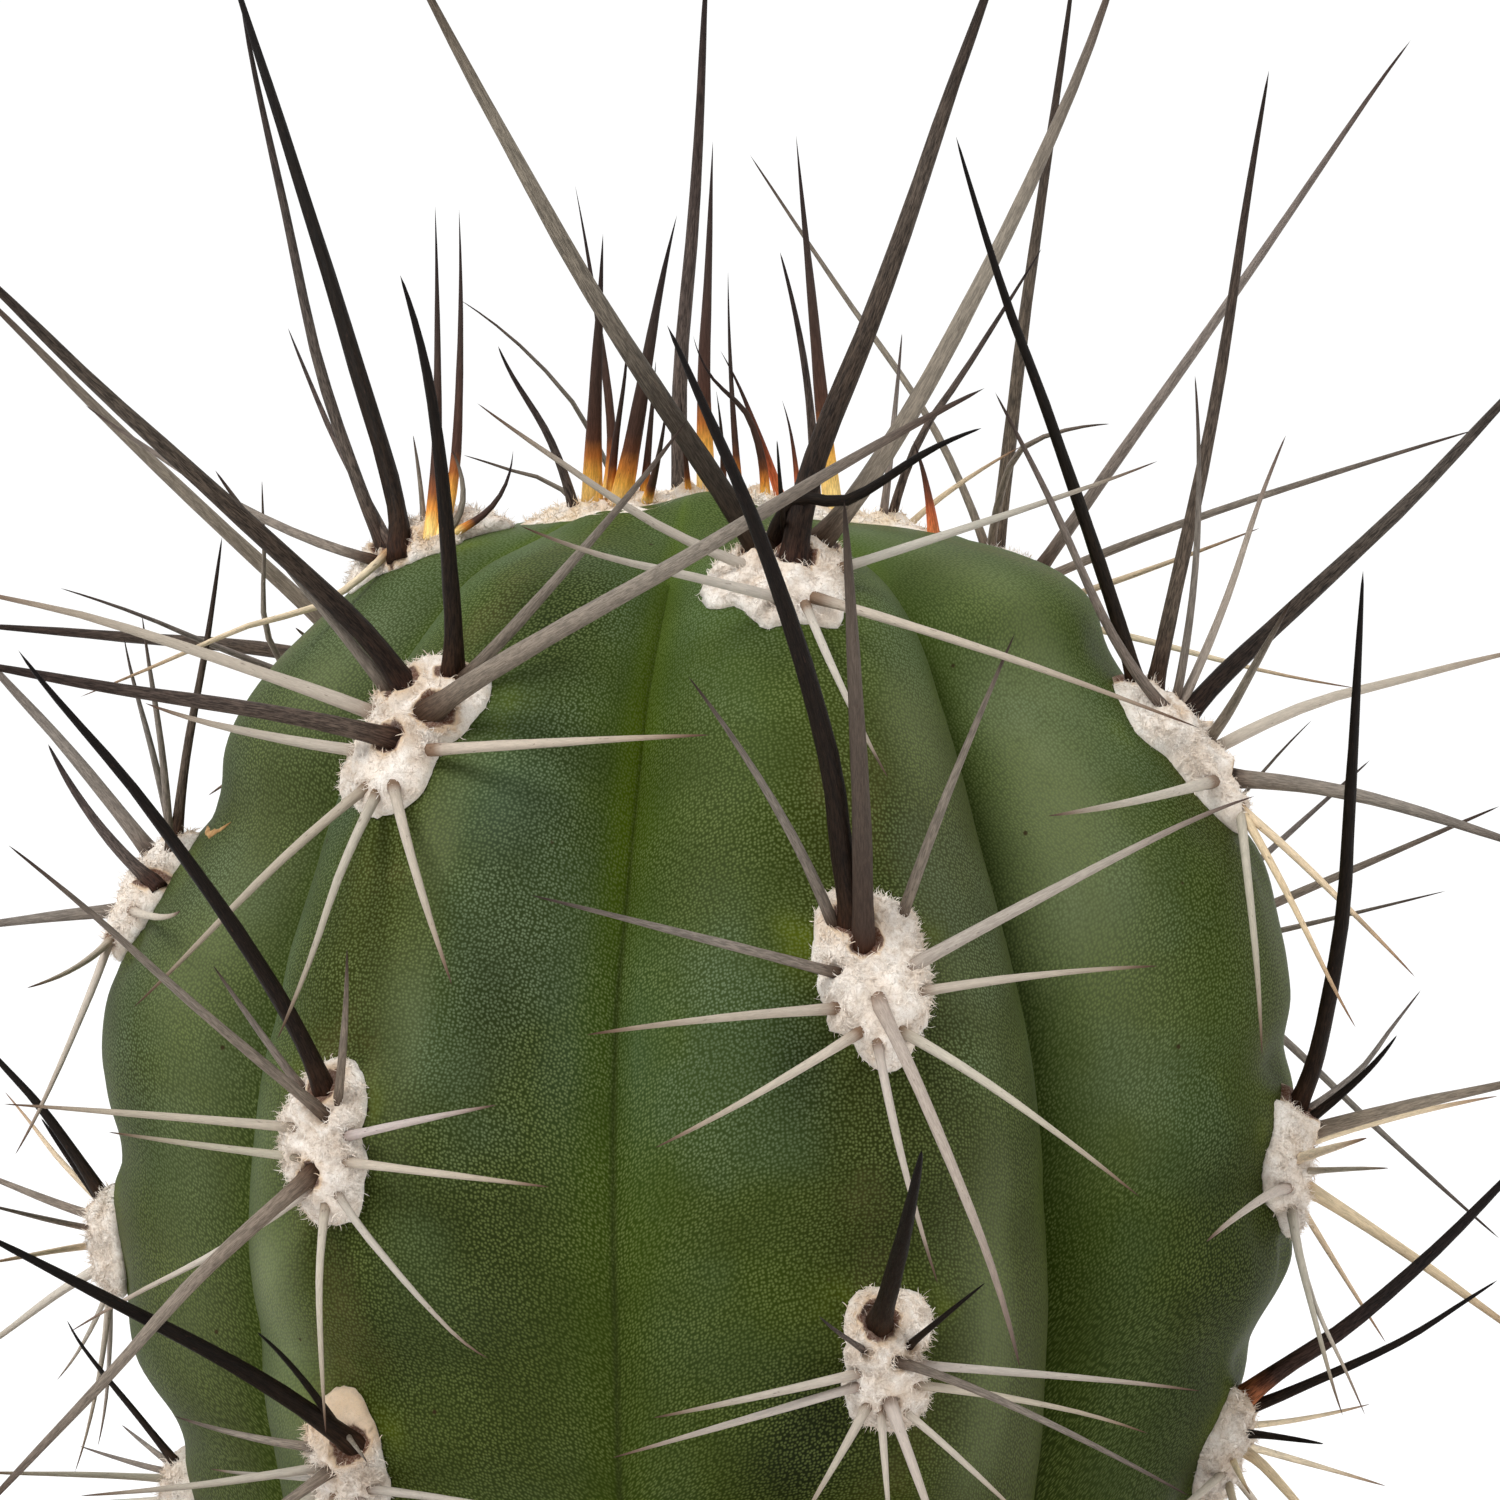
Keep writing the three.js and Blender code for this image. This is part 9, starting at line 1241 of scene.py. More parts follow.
def spines_of(name, rows, seed, replaces):
    rng = np.random.default_rng(seed)
    parts, tones, grains, streaks = [], [], [], []
    for kind in "cr":
        pick = [r for r in rows if (r[0] == "c") == (kind == "c")]
        if not pick:
            continue
        shares, sides = (BIG, 12) if kind == "c" else (SMALL, 9)
        root = 0.9 if kind == "c" else 0.6
        lines, radii, fs, arcs = [], [], [], []
        for _, tone, r, pts in pick:
            line, arc, length = smooth_line(pts, shares, root)
            f = np.clip(arc / length, 0, 1)
            # stated radii are taken at the foot: the shaft above it is slimmer
            if tone in "yb":
                shaft, foot, power = 0.86, 0.1, 0.85
            elif tone == "n":
                shaft, foot, power = 0.92, 0.08, 0.5
            elif kind == "c":
                shaft, foot, power = 0.75, 0.28, 0.5
            else:
                shaft, foot, power = 0.86, 0.14, 0.58
            shape = shaft * (1 - f) ** power + foot * np.exp(-np.maximum(arc, 0) / (1.0 if kind == "c" else 0.5))
            lines.append(line)
            radii.append(r * shape * (0.975 + 0.025 * np.cos(arc * rng.uniform(0.8, 1.6) + rng.uniform(0, 6))))
            fs.append(f)
            arcs.append(arc)
        lines, radii, fs, arcs = map(np.array, (lines, radii, fs, arcs))
        n, k = radii.shape
        a = np.arange(sides) * TAU / sides
        turn = rng.uniform(0, TAU, (n, 1, 1))
        flat = rng.uniform(0.0, 0.07, (n, 1, 1))
        wobble = 1 + flat * np.cos(2 * a + turn) + 0.035 * np.cos(5 * a + 2 * turn + arcs[:, :-1, None] * 0.5)
        v, f, tube, ring, angle = tubes(lines, radii, sides, wobble)
        tint = rng.uniform(0.86, 1.12, n)
        hue = rng.normal(0, 1, (n, 1)) * [0.012, 0, -0.035] + rng.normal(0, 0.012, (n, 3))
        streaks.append(np.array([COARSE[row[1]] for row in pick])[tube])
        col = np.zeros((len(v), 3))
        for i, row in enumerate(pick):
            x, c = TONES[row[1]]
            m = tube == i
            shift = rng.uniform(-0.05, 0.05) if row[1] in "yb" else 0.0
            ff = np.clip(fs[i][ring[m]] - shift * (fs[i][ring[m]] > 0.05), 0, 1)
            for j in range(3):
                col[m, j] = np.interp(ff, x, c[:, j]) * tint[i] * (1 + hue[i, j])
        r0 = radii[:, 0]
        grain = np.stack(
            [
                r0[tube] * np.cos(angle) + tube * 3.7,
                r0[tube] * np.sin(angle) + seed * 1.3,
                arcs[tube, ring] + tube * 5.1,
            ],
            -1,
        )
        parts.append((v, f))
        tones.append(col)
        grains.append(grain)
    v, f = joined(parts)
    return make(
        name, v, f, [SPINE], replaces,
        attributes=[
            ("tone", "FLOAT_COLOR", np.vstack(tones)),
            ("grain", "FLOAT_VECTOR", np.vstack(grains)),
            ("coarse", "FLOAT", np.concatenate(streaks)),
        ],
    )


def grid_normals(g):
    """Normals of a grid that closes round its first axis."""
    du = np.roll(g, -1, 0) - np.roll(g, 1, 0)
    dv = np.gradient(g, axis=1)
    n = np.cross(du, dv)
    return n / (np.linalg.norm(n, axis=2, keepdims=True) + 1e-9)


def blades(lines, widths, rng):
    """Flat tapering strands of five triangles each: lines (n, 4, 3), widths (n,)."""
    n = len(lines)
    d = np.gradient(lines, axis=1)
    d /= np.linalg.norm(d, axis=2, keepdims=True) + 1e-12
    side = np.cross(d, rng.normal(size=(n, 1, 3)))
    side /= np.linalg.norm(side, axis=2, keepdims=True) + 1e-12
    w = widths[:, None, None] * np.array([0.5, 0.46, 0.34])[:, None]
    left, right = lines[:, :3] - side[:, :3] * w, lines[:, :3] + side[:, :3] * w
    v = np.concatenate([np.stack([left, right], 2).reshape(n, 6, 3), lines[:, 3:]], 1).reshape(-1, 3)
    at = (np.arange(n) * 7)[:, None]
    quads = np.concatenate([at + [0, 1, 3, 2], at + [2, 3, 5, 4]])
    return v, quads.tolist() + (at + [4, 5, 6]).tolist()


def fibres(grid, normals, centre, tan, count, rng, edge_share, length, width, shown=None):
    """Fine curling strands on a felt pad. Those at its edge fray outward in tufts."""
    nu, nv, _ = grid.shape
    tufts = rng.integers(0, nu, max(10, int(count * edge_share / 20)))
    drift = rng.normal(0, 0.5, (len(tufts), 3))
    edge = rng.random(count) < edge_share
    tuft = rng.integers(0, len(tufts), count)
    iu = np.where(edge, tufts[tuft] + rng.normal(0, 0.9, count), rng.uniform(0, nu, count))
    iv = np.where(edge, rng.uniform(0.74, 1.0, count), np.sqrt(rng.uniform(0, 0.95, count))) * (nv - 1.001)
    u0, v0 = np.floor(iu).astype(int), np.floor(iv).astype(int)
    fu, fv = (iu - u0)[:, None], (iv - v0)[:, None]
    u0 %= nu
    u1 = (u0 + 1) % nu

    def at(a):
        return (a[u0, v0] * (1 - fu) + a[u1, v0] * fu) * (1 - fv) + (a[u0, v0 + 1] * (1 - fu) + a[u1, v0 + 1] * fu) * fv

    p, n = at(grid), at(normals)
    stain = at(tan[..., None])[:, 0]
    keep = stain < 0.5
    if shown is not None:
        keep &= at(shown[..., None])[:, 0] > 0.1
    n /= np.linalg.norm(n, axis=1, keepdims=True)
    away = p - centre
    away -= n * (away * n).sum(1, keepdims=True)
    away /= np.linalg.norm(away, axis=1, keepdims=True) + 1e-6
    turn = rng.normal(0, 1, (count, 3))
    d = np.where(edge[:, None], away * 0.75 + drift[tuft] * 0.8 + turn * 0.6 - n * 0.1, turn - n * (turn * n).sum(1, keepdims=True) * 0.75)
    d /= np.linalg.norm(d, axis=1, keepdims=True)
    size = length * rng.uniform(0.35, 1.15, count) * np.where(edge, 0.72, 1.0)
    curl = rng.normal(0, 0.95, (count, 3)) * np.where(edge, 1.45, 1.0)[:, None]
    line = [p + n * 0.015]
    for k in range(3):
        d = d + curl * (0.4 + 0.3 * k) + rng.normal(0, 0.18, (count, 3)) + n * np.where(edge, 0.0, 0.12)[:, None]
        d /= np.linalg.norm(d, axis=1, keepdims=True)
        line.append(line[-1] + d * (size / 3)[:, None])
    line = np.stack(line, 1)[keep]
    v, f = blades(line, (width * rng.uniform(0.6, 1.4, count))[keep], rng)
    # the last value is a random painted shade for each strand
    return v, f, np.repeat(np.maximum(stain[keep] * 0.8, rng.uniform(0, 0.14, keep.sum()) ** 1.5), 7), np.repeat(rng.uniform(0, 0.35, keep.sum()) ** 2, 7)


# irregular pads: centre, then the reach in mm at every 12 degrees from the right-hand side
OUTLINES = {
    "A1": ((-1.17, 1.55), [3.6, 3.7, 4.9, 5.7, 4.3, 4.8, 5.2, 5.2, 4.1, 3.5, 3.3, 3.7, 4.1, 4.5, 4.9, 5, 4.7, 3.8, 3.8, 4.1, 4.5, 4.4, 4.7, 4.8, 4.7, 4.2, 3.9, 3.8, 3.6, 3.6]),
    "A2": ((0.25, 0.58), [3.4, 3.5, 3.4, 3.6, 4.2, 4.5, 4.7, 4.7, 4.9, 5.1, 4.5, 4.2, 3.9, 3.6, 3.2, 2.9, 3.4, 3.6, 3.6, 4.3, 4.2, 4.8, 5.2, 5.2, 4.8, 4.3, 4.1, 3.6, 3.5, 3.4]),
    "A3": ((-0.25, 0.26), [2.2, 2, 1.9, 3.1, 3.7, 3.9, 4, 3.9, 3.9, 3.9, 4, 3.8, 3.2, 2.5, 2.5, 2.4, 2.3, 2.7, 2.9, 3, 3.5, 3.8, 4.2, 4.4, 4.2, 3.9, 3.8, 3.1, 2.5, 2.4]),
    "B1": ((-1.03, 0.64), [3.3, 4, 5, 5.2, 5.2, 5, 5, 5.1, 5.2, 5, 4.8, 5.2, 3.9, 3.7, 3.1, 2.7, 3, 3.7, 5.4, 5.7, 5.4, 5.3, 5.4, 5.6, 5.4, 4.7, 3.8, 3.3, 2.9, 2.7]),
    "B2": ((0.22, 0.47), [2.4, 2.4, 2.6, 3.2, 3.7, 4.2, 4.4, 4.5, 4.5, 4.3, 3.9, 3.4, 3.1, 3.3, 3.4, 3.2, 3.2, 3, 3.1, 3.2, 3.6, 3.8, 4.5, 4.5, 4.5, 4.5, 3.9, 3.4, 3.2, 2.8]),
    "B3": ((0.05, 0.66), [2.5, 2.6, 2.7, 3.1, 3.6, 3.9, 4.1, 4.1, 4.1, 4, 3.5, 3.2, 3, 2.8, 2.6, 2.5, 2.7, 3, 3.2, 3.4, 3.9, 4.2, 4.2, 4.1, 3.8, 3.5, 3.3, 3.1, 2.9, 2.6]),
    "C1": ((0.1, 0), [3.3, 3.1, 3, 3.3, 4, 4.8, 5.4, 5.8, 5.8, 5.2, 4.4, 3.9, 3.6, 3.1, 2.5, 2, 1.9, 2.1, 2.3, 2.8, 3.5, 4.8, 5.8, 5.9, 5.3, 4.7, 3.9, 3.3, 3.1, 3.2]),
}


def felt_of(name, area, rows, seed, front):
    """A lumpy cushion of felt on the stem, frayed at its edge, with a collar at each spine."""
    at, out, up, (half_w, half_h, thick) = (np.array(q, float) for q in area)
    rng = np.random.default_rng(seed)
    right = np.cross(up, out)
    nu, nv = (104, 30) if front else (52, 14)
    t = np.arange(nu) * TAU / nu
    edge = 1 + sum(rng.uniform(0.015, 0.06) * np.cos(k * t + rng.uniform(0, TAU)) for k in range(2, 9))
    edge += rng.normal(0, 0.02, nu)
    (cx, cy), reach = OUTLINES.get(name[-2:], ((0, 0), None))
    rho = np.linspace(0, 1, nv) ** 0.85
    if reach is None:
        wide, tall = half_w, half_h
    else:
        wide = tall = np.interp(np.degrees(t), np.arange(0, 361, 12), reach + reach[:1])
        edge = 1 + 0.4 * (edge - 1)
    x = cx + rho * (edge * wide * np.cos(t))[:, None]
    y = cy + rho * (edge * tall * np.sin(t))[:, None]
    flat = (at + x[..., None] * right + y[..., None] * up).reshape(-1, 3)
    skin = onto_stem(flat, np.broadcast_to(out, flat.shape))
    body = (1 - rho**2.8) ** 0.6
    lift = np.tile(body * thick * 0.92, nu).reshape(-1)
    weight = np.tile(np.minimum(1, (1 - rho) * 5), nu)
    lift = lift + weight * (0.22 * lumps(flat, 1.9, seed) + 0.1 * lumps(flat, 0.85, seed + 1) + 0.05 * lumps(flat, 0.42, seed + 2)) + 0.06
    tan = np.zeros(len(flat))
    deep = np.zeros(len(flat))
    for kind, tone, r, pts in rows:
        # where the spine passes through the felt
        line = np.array(pts[:2], float)
        ahead = (line[1] - line[0]) / np.linalg.norm(line[1] - line[0])
        b = line[0] - at
        bx, by = b @ right, b @ up
        tilt = np.array([ahead @ right, ahead @ up]) * 0.4
        d = np.hypot(x.ravel() - bx - tilt[0] * r, y.ravel() - by - tilt[1] * r)
        big = (0.3 if tone == "w" else 1.0) if kind == "c" else 0.45
        collar = np.exp(-(((d - 1.45 * r) / 0.36) ** 2))
        hole = np.exp(-((d / (1.1 * r + 0.1)) ** 2))
        lift = lift + big * weight * (0.3 * collar - 0.55 * hole)
        round_it = 1 + 0.35 * lumps(flat, 0.55, seed + 9)
        ring = 1 / (1 + np.exp((d - (r * 1.06 + 0.26 * np.clip(round_it, 0.5, 1.6))) / 0.07))
        if kind == "c" and tone in "kdgbomvn" and r > 0.5:
            tan = np.maximum(tan, ring)
        tan = np.maximum(tan, big * rng.uniform(0.25, 0.62) * np.exp(-((d / (1.6 * r + 0.3)) ** 2)))
        # painted shade round each spine's hole
        deep = np.maximum(deep, big * hole)
    aged = AGED.get(name[-2:], 0)
    tan = np.maximum(tan, aged * np.clip(y.ravel() / half_h * 1.6 - 0.3, 0, 1))
    lift = np.maximum(lift, 0.05)
    # painted shade where the felt lies low
    deep = np.maximum(deep, np.clip((0.6 * thick - lift) / thick, 0, 1) * weight)
    top = (skin + out * lift[:, None]).reshape(nu, nv, 3)
    normals = grid_normals(top)
    if (normals[:, 2:, :] * out).sum() < 0:
        normals = -normals
    normals[:, 0] = out
    # close it: rim turned under, then a sunk centre
    middle = at + cx * right + cy * up
    rim = at + x[:, -1:] * right + y[:, -1:] * up
    under = onto_stem(middle + 0.92 * (rim - middle), np.broadcast_to(out, (nu, 3))) - out * 0.25
    verts = [top[:, 1:].reshape(-1, 3), under, top[0, 0][None], (middle - out * 1.2)[None]]
    m = nv - 1
    a, b = nu * m, nu * m + nu
    i = np.arange(nu)
    j = (i + 1) % nu
    faces = []
    for k in range(m - 1):
        faces += np.stack([i * m + k, i * m + k + 1, j * m + k + 1, j * m + k], -1).tolist()
    faces += np.stack([np.full(nu, b), i * m, j * m], -1).tolist()
    faces += np.stack([i * m + m - 1, a + i, a + j, j * m + m - 1], -1).tolist()
    faces += np.stack([a + i, np.full(nu, b + 1), a + j], -1).tolist()
    v = np.concatenate(verts)
    tan, deep = tan.reshape(nu, nv), deep.reshape(nu, nv)
    tan_v = np.concatenate([tan[:, 1:].ravel(), np.zeros(nu), [tan[0, 0], 0]])
    painted_shade_v = np.concatenate([deep[:, 1:].ravel(), np.ones(nu) * 0.6, [deep[0, 0], 1]])
    count = 3900 if front else 600
    size = 0.72 if front else 0.8
    fv, ff, ft, fibre_shade = fibres(top, normals, middle, tan, count, rng, 0.4, size, 0.048 if front else 0.09)
    v, f = joined([(v, faces), (fv, ff)])
    return make(
        name + "_felt", v, f, [FELT], [name],
        attributes=[("tan", "FLOAT", np.concatenate([tan_v, ft])), ("deep", "FLOAT", np.concatenate([painted_shade_v, fibre_shade]))],
    )


# old felt goes tan towards its upper end
AGED = {"B3": 0.5, "A3": 0.24, "C3": 0.3, "D0": 0.2}
FRONT = {"A1", "A2", "A3", "B1", "B2", "B3", "C1", "C2", "C3", "D0", "D1", "D2", "D3", "G1", "E1"}
for number, (key, area, rows) in enumerate(AREOLES):
    node = "areole_" + key
    felt_of(node, area, rows, 100 + number, key in FRONT)
    spines_of(node + "_spines", rows, 300 + number, [node])

# ----------------------------------------------------------------------- crown
CROWN_REACH = [(-180, 11), (-131, 12), (-88, 10), (-70, 9.8), (-55, 8.6), (-42, 7.6), (-30, 7.4), (-20, 6.2), (-8, 4), (5, 2.6), (25, 2.4), (42, 3.4), (60, 5), (74, 8), (86, 13), (95, 15.6), (110, 15.2), (125, 13.5), (150, 11.5), (180, 11)]


def crown_felt():
    rng = np.random.default_rng(77)
    nu, nv = 132, 44
    t = np.arange(nu) * 360 / nu - 180
    reach = np.interp(t, *np.array(CROWN_REACH, float).T)
    reach = reach * (1 + 0.03 * np.cos(np.radians(t) * 9 + 1) + 0.02 * np.cos(np.radians(t) * 17) + rng.normal(0, 0.012, nu))
    rho = np.linspace(0, 1, nv) ** 0.9
    r = reach[:, None] * rho
    a = np.radians(t)[:, None]
    # height of the stem under each point
    lo, hi = np.zeros(r.shape), np.full(r.shape, 25.0)
    for _ in range(22):
        mid = (lo + hi) / 2
        inside = stem_at(np.broadcast_to(t[:, None], r.shape), mid)[0] < r
        lo = np.where(inside, mid, lo)
        hi = np.where(inside, hi, mid)
    x, y = r * np.sin(a), -r * np.cos(a)
    skin_z = TIP_Z - hi + mound(x, y)
    dome = TIP_Z + 0.95 - 0.0115 * r**2
    rise = np.maximum(dome - skin_z, -0.4) * (1 - rho**5.0) ** 0.7
    p = np.stack([x, y, skin_z], -1).reshape(-1, 3)
    weight = np.tile(np.minimum(1, (1 - rho) * 6), nu) * np.clip(1 + rise.ravel() / 0.4, 0, 1)
    lift = rise.ravel() + weight * (0.26 * lumps(p, 2.4, 5) + 0.14 * lumps(p, 0.9, 6) + 0.08 * lumps(p, 0.45, 7))
    tan = np.zeros(len(p))
    for kind, _, rad, pts in CROWN_SPINES:
        d = np.hypot(p[:, 0] - pts[0][0], p[:, 1] - pts[0][1])
        lift += weight * (0.25 * np.exp(-(((d - 1.5 * rad) / 0.4) ** 2)) - 0.25 * np.exp(-((d / (1.1 * rad)) ** 2)))
        tan = np.maximum(tan, 0.42 * np.exp(-((d / (1.9 * rad + 0.3)) ** 2)))
    top = p.copy()
    top[:, 2] += np.maximum(lift, np.where(rise.ravel() < 0.05, -0.4, 0.04))
    top = top.reshape(nu, nv, 3)
    normals = grid_normals(top)
    if normals[:, 2:, 2].sum() < 0:
        normals = -normals
    normals[:, 0] = (0, 0, 1)
    m = nv - 1
    under = np.stack([r[:, -1] * 0.93 * np.sin(a[:, 0]), -r[:, -1] * 0.93 * np.cos(a[:, 0]), skin_z[:, -1] - 0.6], -1)
    v = np.concatenate([top[:, 1:].reshape(-1, 3), under, top[0, 0][None], [[0, 0, TIP_Z - 4.5]]])
    q, b = nu * m, nu * m + nu
    i = np.arange(nu)
    j = (i + 1) % nu
    faces = []
    for k in range(m - 1):
        faces += np.stack([i * m + k, i * m + k + 1, j * m + k + 1, j * m + k], -1).tolist()
    faces += np.stack([np.full(nu, b), i * m, j * m], -1).tolist()
    faces += np.stack([i * m + m - 1, q + i, q + j, j * m + m - 1], -1).tolist()
    faces += np.stack([q + i, np.full(nu, b + 1), q + j], -1).tolist()
    # painted shade where the felt lies low
    deep = np.clip(0.25 - (lift - rise.ravel()), 0, 1) * weight
    tan = tan.reshape(nu, nv)
    tan_v = np.concatenate([tan[:, 1:].ravel(), np.zeros(nu), [0, 0]])
    painted_shade_v = np.concatenate([deep.reshape(nu, nv)[:, 1:].ravel(), np.full(nu, 0.6), [0, 1]])
    count = 9000
    fv, ff, ft, fibre_shade = fibres(top, normals, np.array([0, 0, TIP_Z]), tan, count, rng, 0.3, 0.75, 0.06, np.maximum(rise, 0) + 0.12 * (rise > 0.02))
    v, f = joined([(v, faces), (fv, ff)])
    return make(
        "crown_felt", v, f, [CROWN_FELT], ["crown"],
        attributes=[("tan", "FLOAT", np.concatenate([tan_v, ft])), ("deep", "FLOAT", np.concatenate([painted_shade_v, fibre_shade]))],
    )


crown_felt()
spines_of("crown_spines", CROWN_SPINES, 555, ["crown"])


# ------------------------------------------------------------------------ stem
# painted light and shade on the skin, with some weathering: azimuth, depth, reach of each, dark painted shade (-) or
# pale painted highlight (+)
PAINTED_LIGHT_AND_WEATHER = [
    (-23, 4.2, 12, 3.2, -0.8),
    (-20, 12.1, 7, 5.8, -0.45),
    (-19, 24.8, 7, 7.5, -0.5),
    (-18, 42.3, 7, 9.2, -0.4),
    (-28, 30.0, 4, 6.5, 0.3),
    (10, 48.3, 5, 4.1, -0.9),
    (7, 52.1, 6, 4.0, -0.4),
    (51, 9.8, 4, 4.4, 0.5),
    (51, 19.7, 4, 6.1, 0.5),
    (62, 45.2, 9, 10.0, -0.8),
    (17, 6.3, 8, 1.5, -0.5),
    (10, 28.2, 4, 3.2, -0.5),
    (21, 28.2, 4, 3.1, -0.35),
    (-28, 15.7, 3, 3.2, 0.6),
    (1, 15.1, 6, 6.9, 0.1),
    (-68, 21.5, 5, 4.5, 0.32),
    (57, 2.7, 8, 1.8, 0.35),
    (28.5, 44.0, 3, 9.0, 0.75),
    (-42, 45.0, 4, 11.0, 1.05),
    (19, 11.8, 5, 3.1, -0.2),
    (0, 42.5, 6, 6.8, -0.15),
    (57.6, 6.5, 4.5, 4.0, 0.4),
    (59.0, 10.5, 4, 4.0, 0.3),
    (53.5, 15.5, 4, 4.0, 0.25),
    (-68.6, 9.2, 5, 3.4, 0.5),
    (-69.0, 25.3, 5, 5.0, 0.35),
    (-65.5, 33.2, 4.5, 6.0, 0.25),
    (28.0, 10.0, 5, 5.0, 0.3),
    (25.0, 24.0, 4, 8.0, 0.2),
    (-73.0, 15.0, 4, 4.0, 0.2),
    (-28.6, 44.5, 4, 5.0, -0.35),
    (-27.5, 24.7, 3.5, 4.0, 0.3),
    (35.5, 31.0, 4, 3.6, -0.35),
    (-67.0, 45.0, 4, 5.0, 0.25),
    (-74.0, 33.0, 3, 4.5, -0.25),
    (-24.5, 12.3, 4, 2.6, 0.4),
    (52.0, 12.0, 4, 4.0, 0.3),
    (48.0, 17.0, 2.4, 6.0, 0.25),
    (47.4, 24.0, 3, 5.0, 0.25),
    (18.0, 36.0, 6, 6.0, -0.35),
    (17.0, 46.0, 6, 6.0, -0.3),
    (-32.5, 42.0, 4, 5.0, -0.2),
    (35.0, 40.0, 3.5, 8.0, -0.2),
    (51.0, 31.0, 6, 8.0, 0.25),
]
# blue-grey bloom, in the same terms
FROST = [
    (-22.0, 14.0, 5, 3.4, 0.6),
    (-13.0, 27.0, 2.4, 5.5, 0.4),
    (-5.0, 27.0, 2.4, 6.0, 0.4),
    (-68.0, 8.0, 8, 4.0, 0.3),
    (96.0, 30.0, 7, 14.0, 0.6),
    (150.0, 22.0, 7, 12.0, 0.6),
    (-112.0, 34.0, 6, 12.0, 0.6),
]


def stem():
    depths = list(0.5 * (np.arange(1, 11) / 10) ** 1.3)
    s = 0.5
    while s < DEPTH:
        s += 0.1 + 0.42 * min(1, s / 8)
        depths.append(min(s, DEPTH))
    depths = np.array(depths)
    # columns crowd towards the folds
    half = 13
    u = np.arange(half) / half
    right = 1 - (1 - u) ** 1.25
    left = (1 - u) ** 1.25
    az = np.stack([np.interp(depths, *np.array(r[3], float).T) for r in RIBS], -1)
    nxt = np.concatenate([az[:, 1:], az[:, :1] + 360], 1)
    fold = az + (nxt - az) * np.array([r[2] for r in RIBS])
    cols = np.concatenate(
        [az[:, :, None] + (fold - az)[:, :, None] * right, fold[:, :, None] + (nxt - fold)[:, :, None] * (1 - left)], 2
    ).reshape(len(depths), -1)
    rows_n, cols_n = cols.shape
    s = np.broadcast_to(depths[:, None], cols.shape)
    r, phi, rib = stem_at(cols, s)
    a = np.radians(cols)
    x, y = r * np.sin(a), -r * np.cos(a)
    p = np.stack([x, y, TIP_Z - s + mound(x, y)], -1)
    flat = p.reshape(-1, 3)
    n = np.stack([np.sin(a), -np.cos(a), np.zeros_like(a)], -1).reshape(-1, 3)
    # slight unevenness of the living surface, none at the tip
    calm = np.clip(s.ravel() / 14, 0, 1)
    push = calm * (0.15 * lumps(flat, 19, 11) + 0.06 * lumps(flat, 7, 12) + 0.015 * lumps(flat, 2.4, 13))
    # the skin is drawn in at a fold
    edge = np.clip((np.abs(phi.ravel()) - 0.88) / 0.12, 0, 1)
    k = np.arange(flat.shape[0]) % cols_n // (2 * half)
    push -= np.where(k == 2, 0.1, 0.3) * edge**2 * calm
    flat = flat + n * push[:, None]
    p = flat.reshape(rows_n, cols_n, 3)
    near = np.zeros(len(flat))
    tone = np.zeros(len(flat))
    dent = np.zeros(len(flat))
    for key, area, _ in AREOLES:
        at, out, up, (w, h, _) = (np.array(q, float) for q in area)
        q = flat - at
        along_x, along_y, z = q @ np.cross(up, out), q @ up, q @ out
        # puckered skin round the lower half of the felt, and a groove over it, both darkened with painted shade
        for dx, dy, rx, ry, deep in ((-w - 0.5, -h * 0.75, 1.3, 1.8, 0.5), (w + 0.6, -h * 0.7, 1.3, 1.9, 0.45), (0.2, -h - 1.6, 1.0, 1.9, 0.35), (0, h + 1.4, 2.6, 0.9, 0.3)):
            hole = np.exp(-(((along_x - dx) / rx) ** 2) - ((along_y - dy) / ry) ** 2) * (np.abs(z) < 6)
            dent += deep * hole
            # painted shade in each dent
            tone -= 0.5 * deep * hole
        lobe = np.exp(-(((np.abs(along_x) - w - 0.3) / 1.1) ** 2 + ((along_y - 2.8) / 1.5) ** 2)) * (np.abs(z) < 6)
        near = np.maximum(near, lobe)
    flat = flat - n * (dent * np.clip((s.ravel() - 4) / 8, 0, 1))[:, None]
    p = flat.reshape(rows_n, cols_n, 3)
    here = np.degrees(np.arctan2(flat[:, 0], -flat[:, 1]))
    # painted highlight and shade patches, with some weathering, summed into the shade attribute
    for azimuth, depth, wide, tall, amount in PAINTED_LIGHT_AND_WEATHER:
        away = (np.mod(here - azimuth + 180, 360) - 180) / wide
        tone += amount * np.exp(-(away**2) - ((s.ravel() - depth) / tall) ** 2)
    frost = np.zeros(len(flat))
    for azimuth, depth, wide, tall, amount in FROST:
        away = (np.mod(here - azimuth + 180, 360) - 180) / wide
        frost += amount * np.exp(-(away**2) - ((s.ravel() - depth) / tall) ** 2)
    v = np.concatenate([flat, [[0, 0, TIP_Z + float(mound(0.0, 0.0))]], [[0, 0, TIP_Z - DEPTH]]])
    i, j = np.meshgrid(np.arange(rows_n - 1), np.arange(cols_n), indexing="ij")
    j2 = (j + 1) % cols_n
    quads = np.stack([i * cols_n + j, (i + 1) * cols_n + j, (i + 1) * cols_n + j2, i * cols_n + j2], -1).reshape(-1, 4)
    k = np.arange(cols_n)
    tip = np.stack([np.full(cols_n, len(flat)), k, (k + 1) % cols_n], -1)
    last = (rows_n - 1) * cols_n
    foot = np.stack([np.full(cols_n, len(flat) + 1), last + (k + 1) % cols_n, last + k], -1)
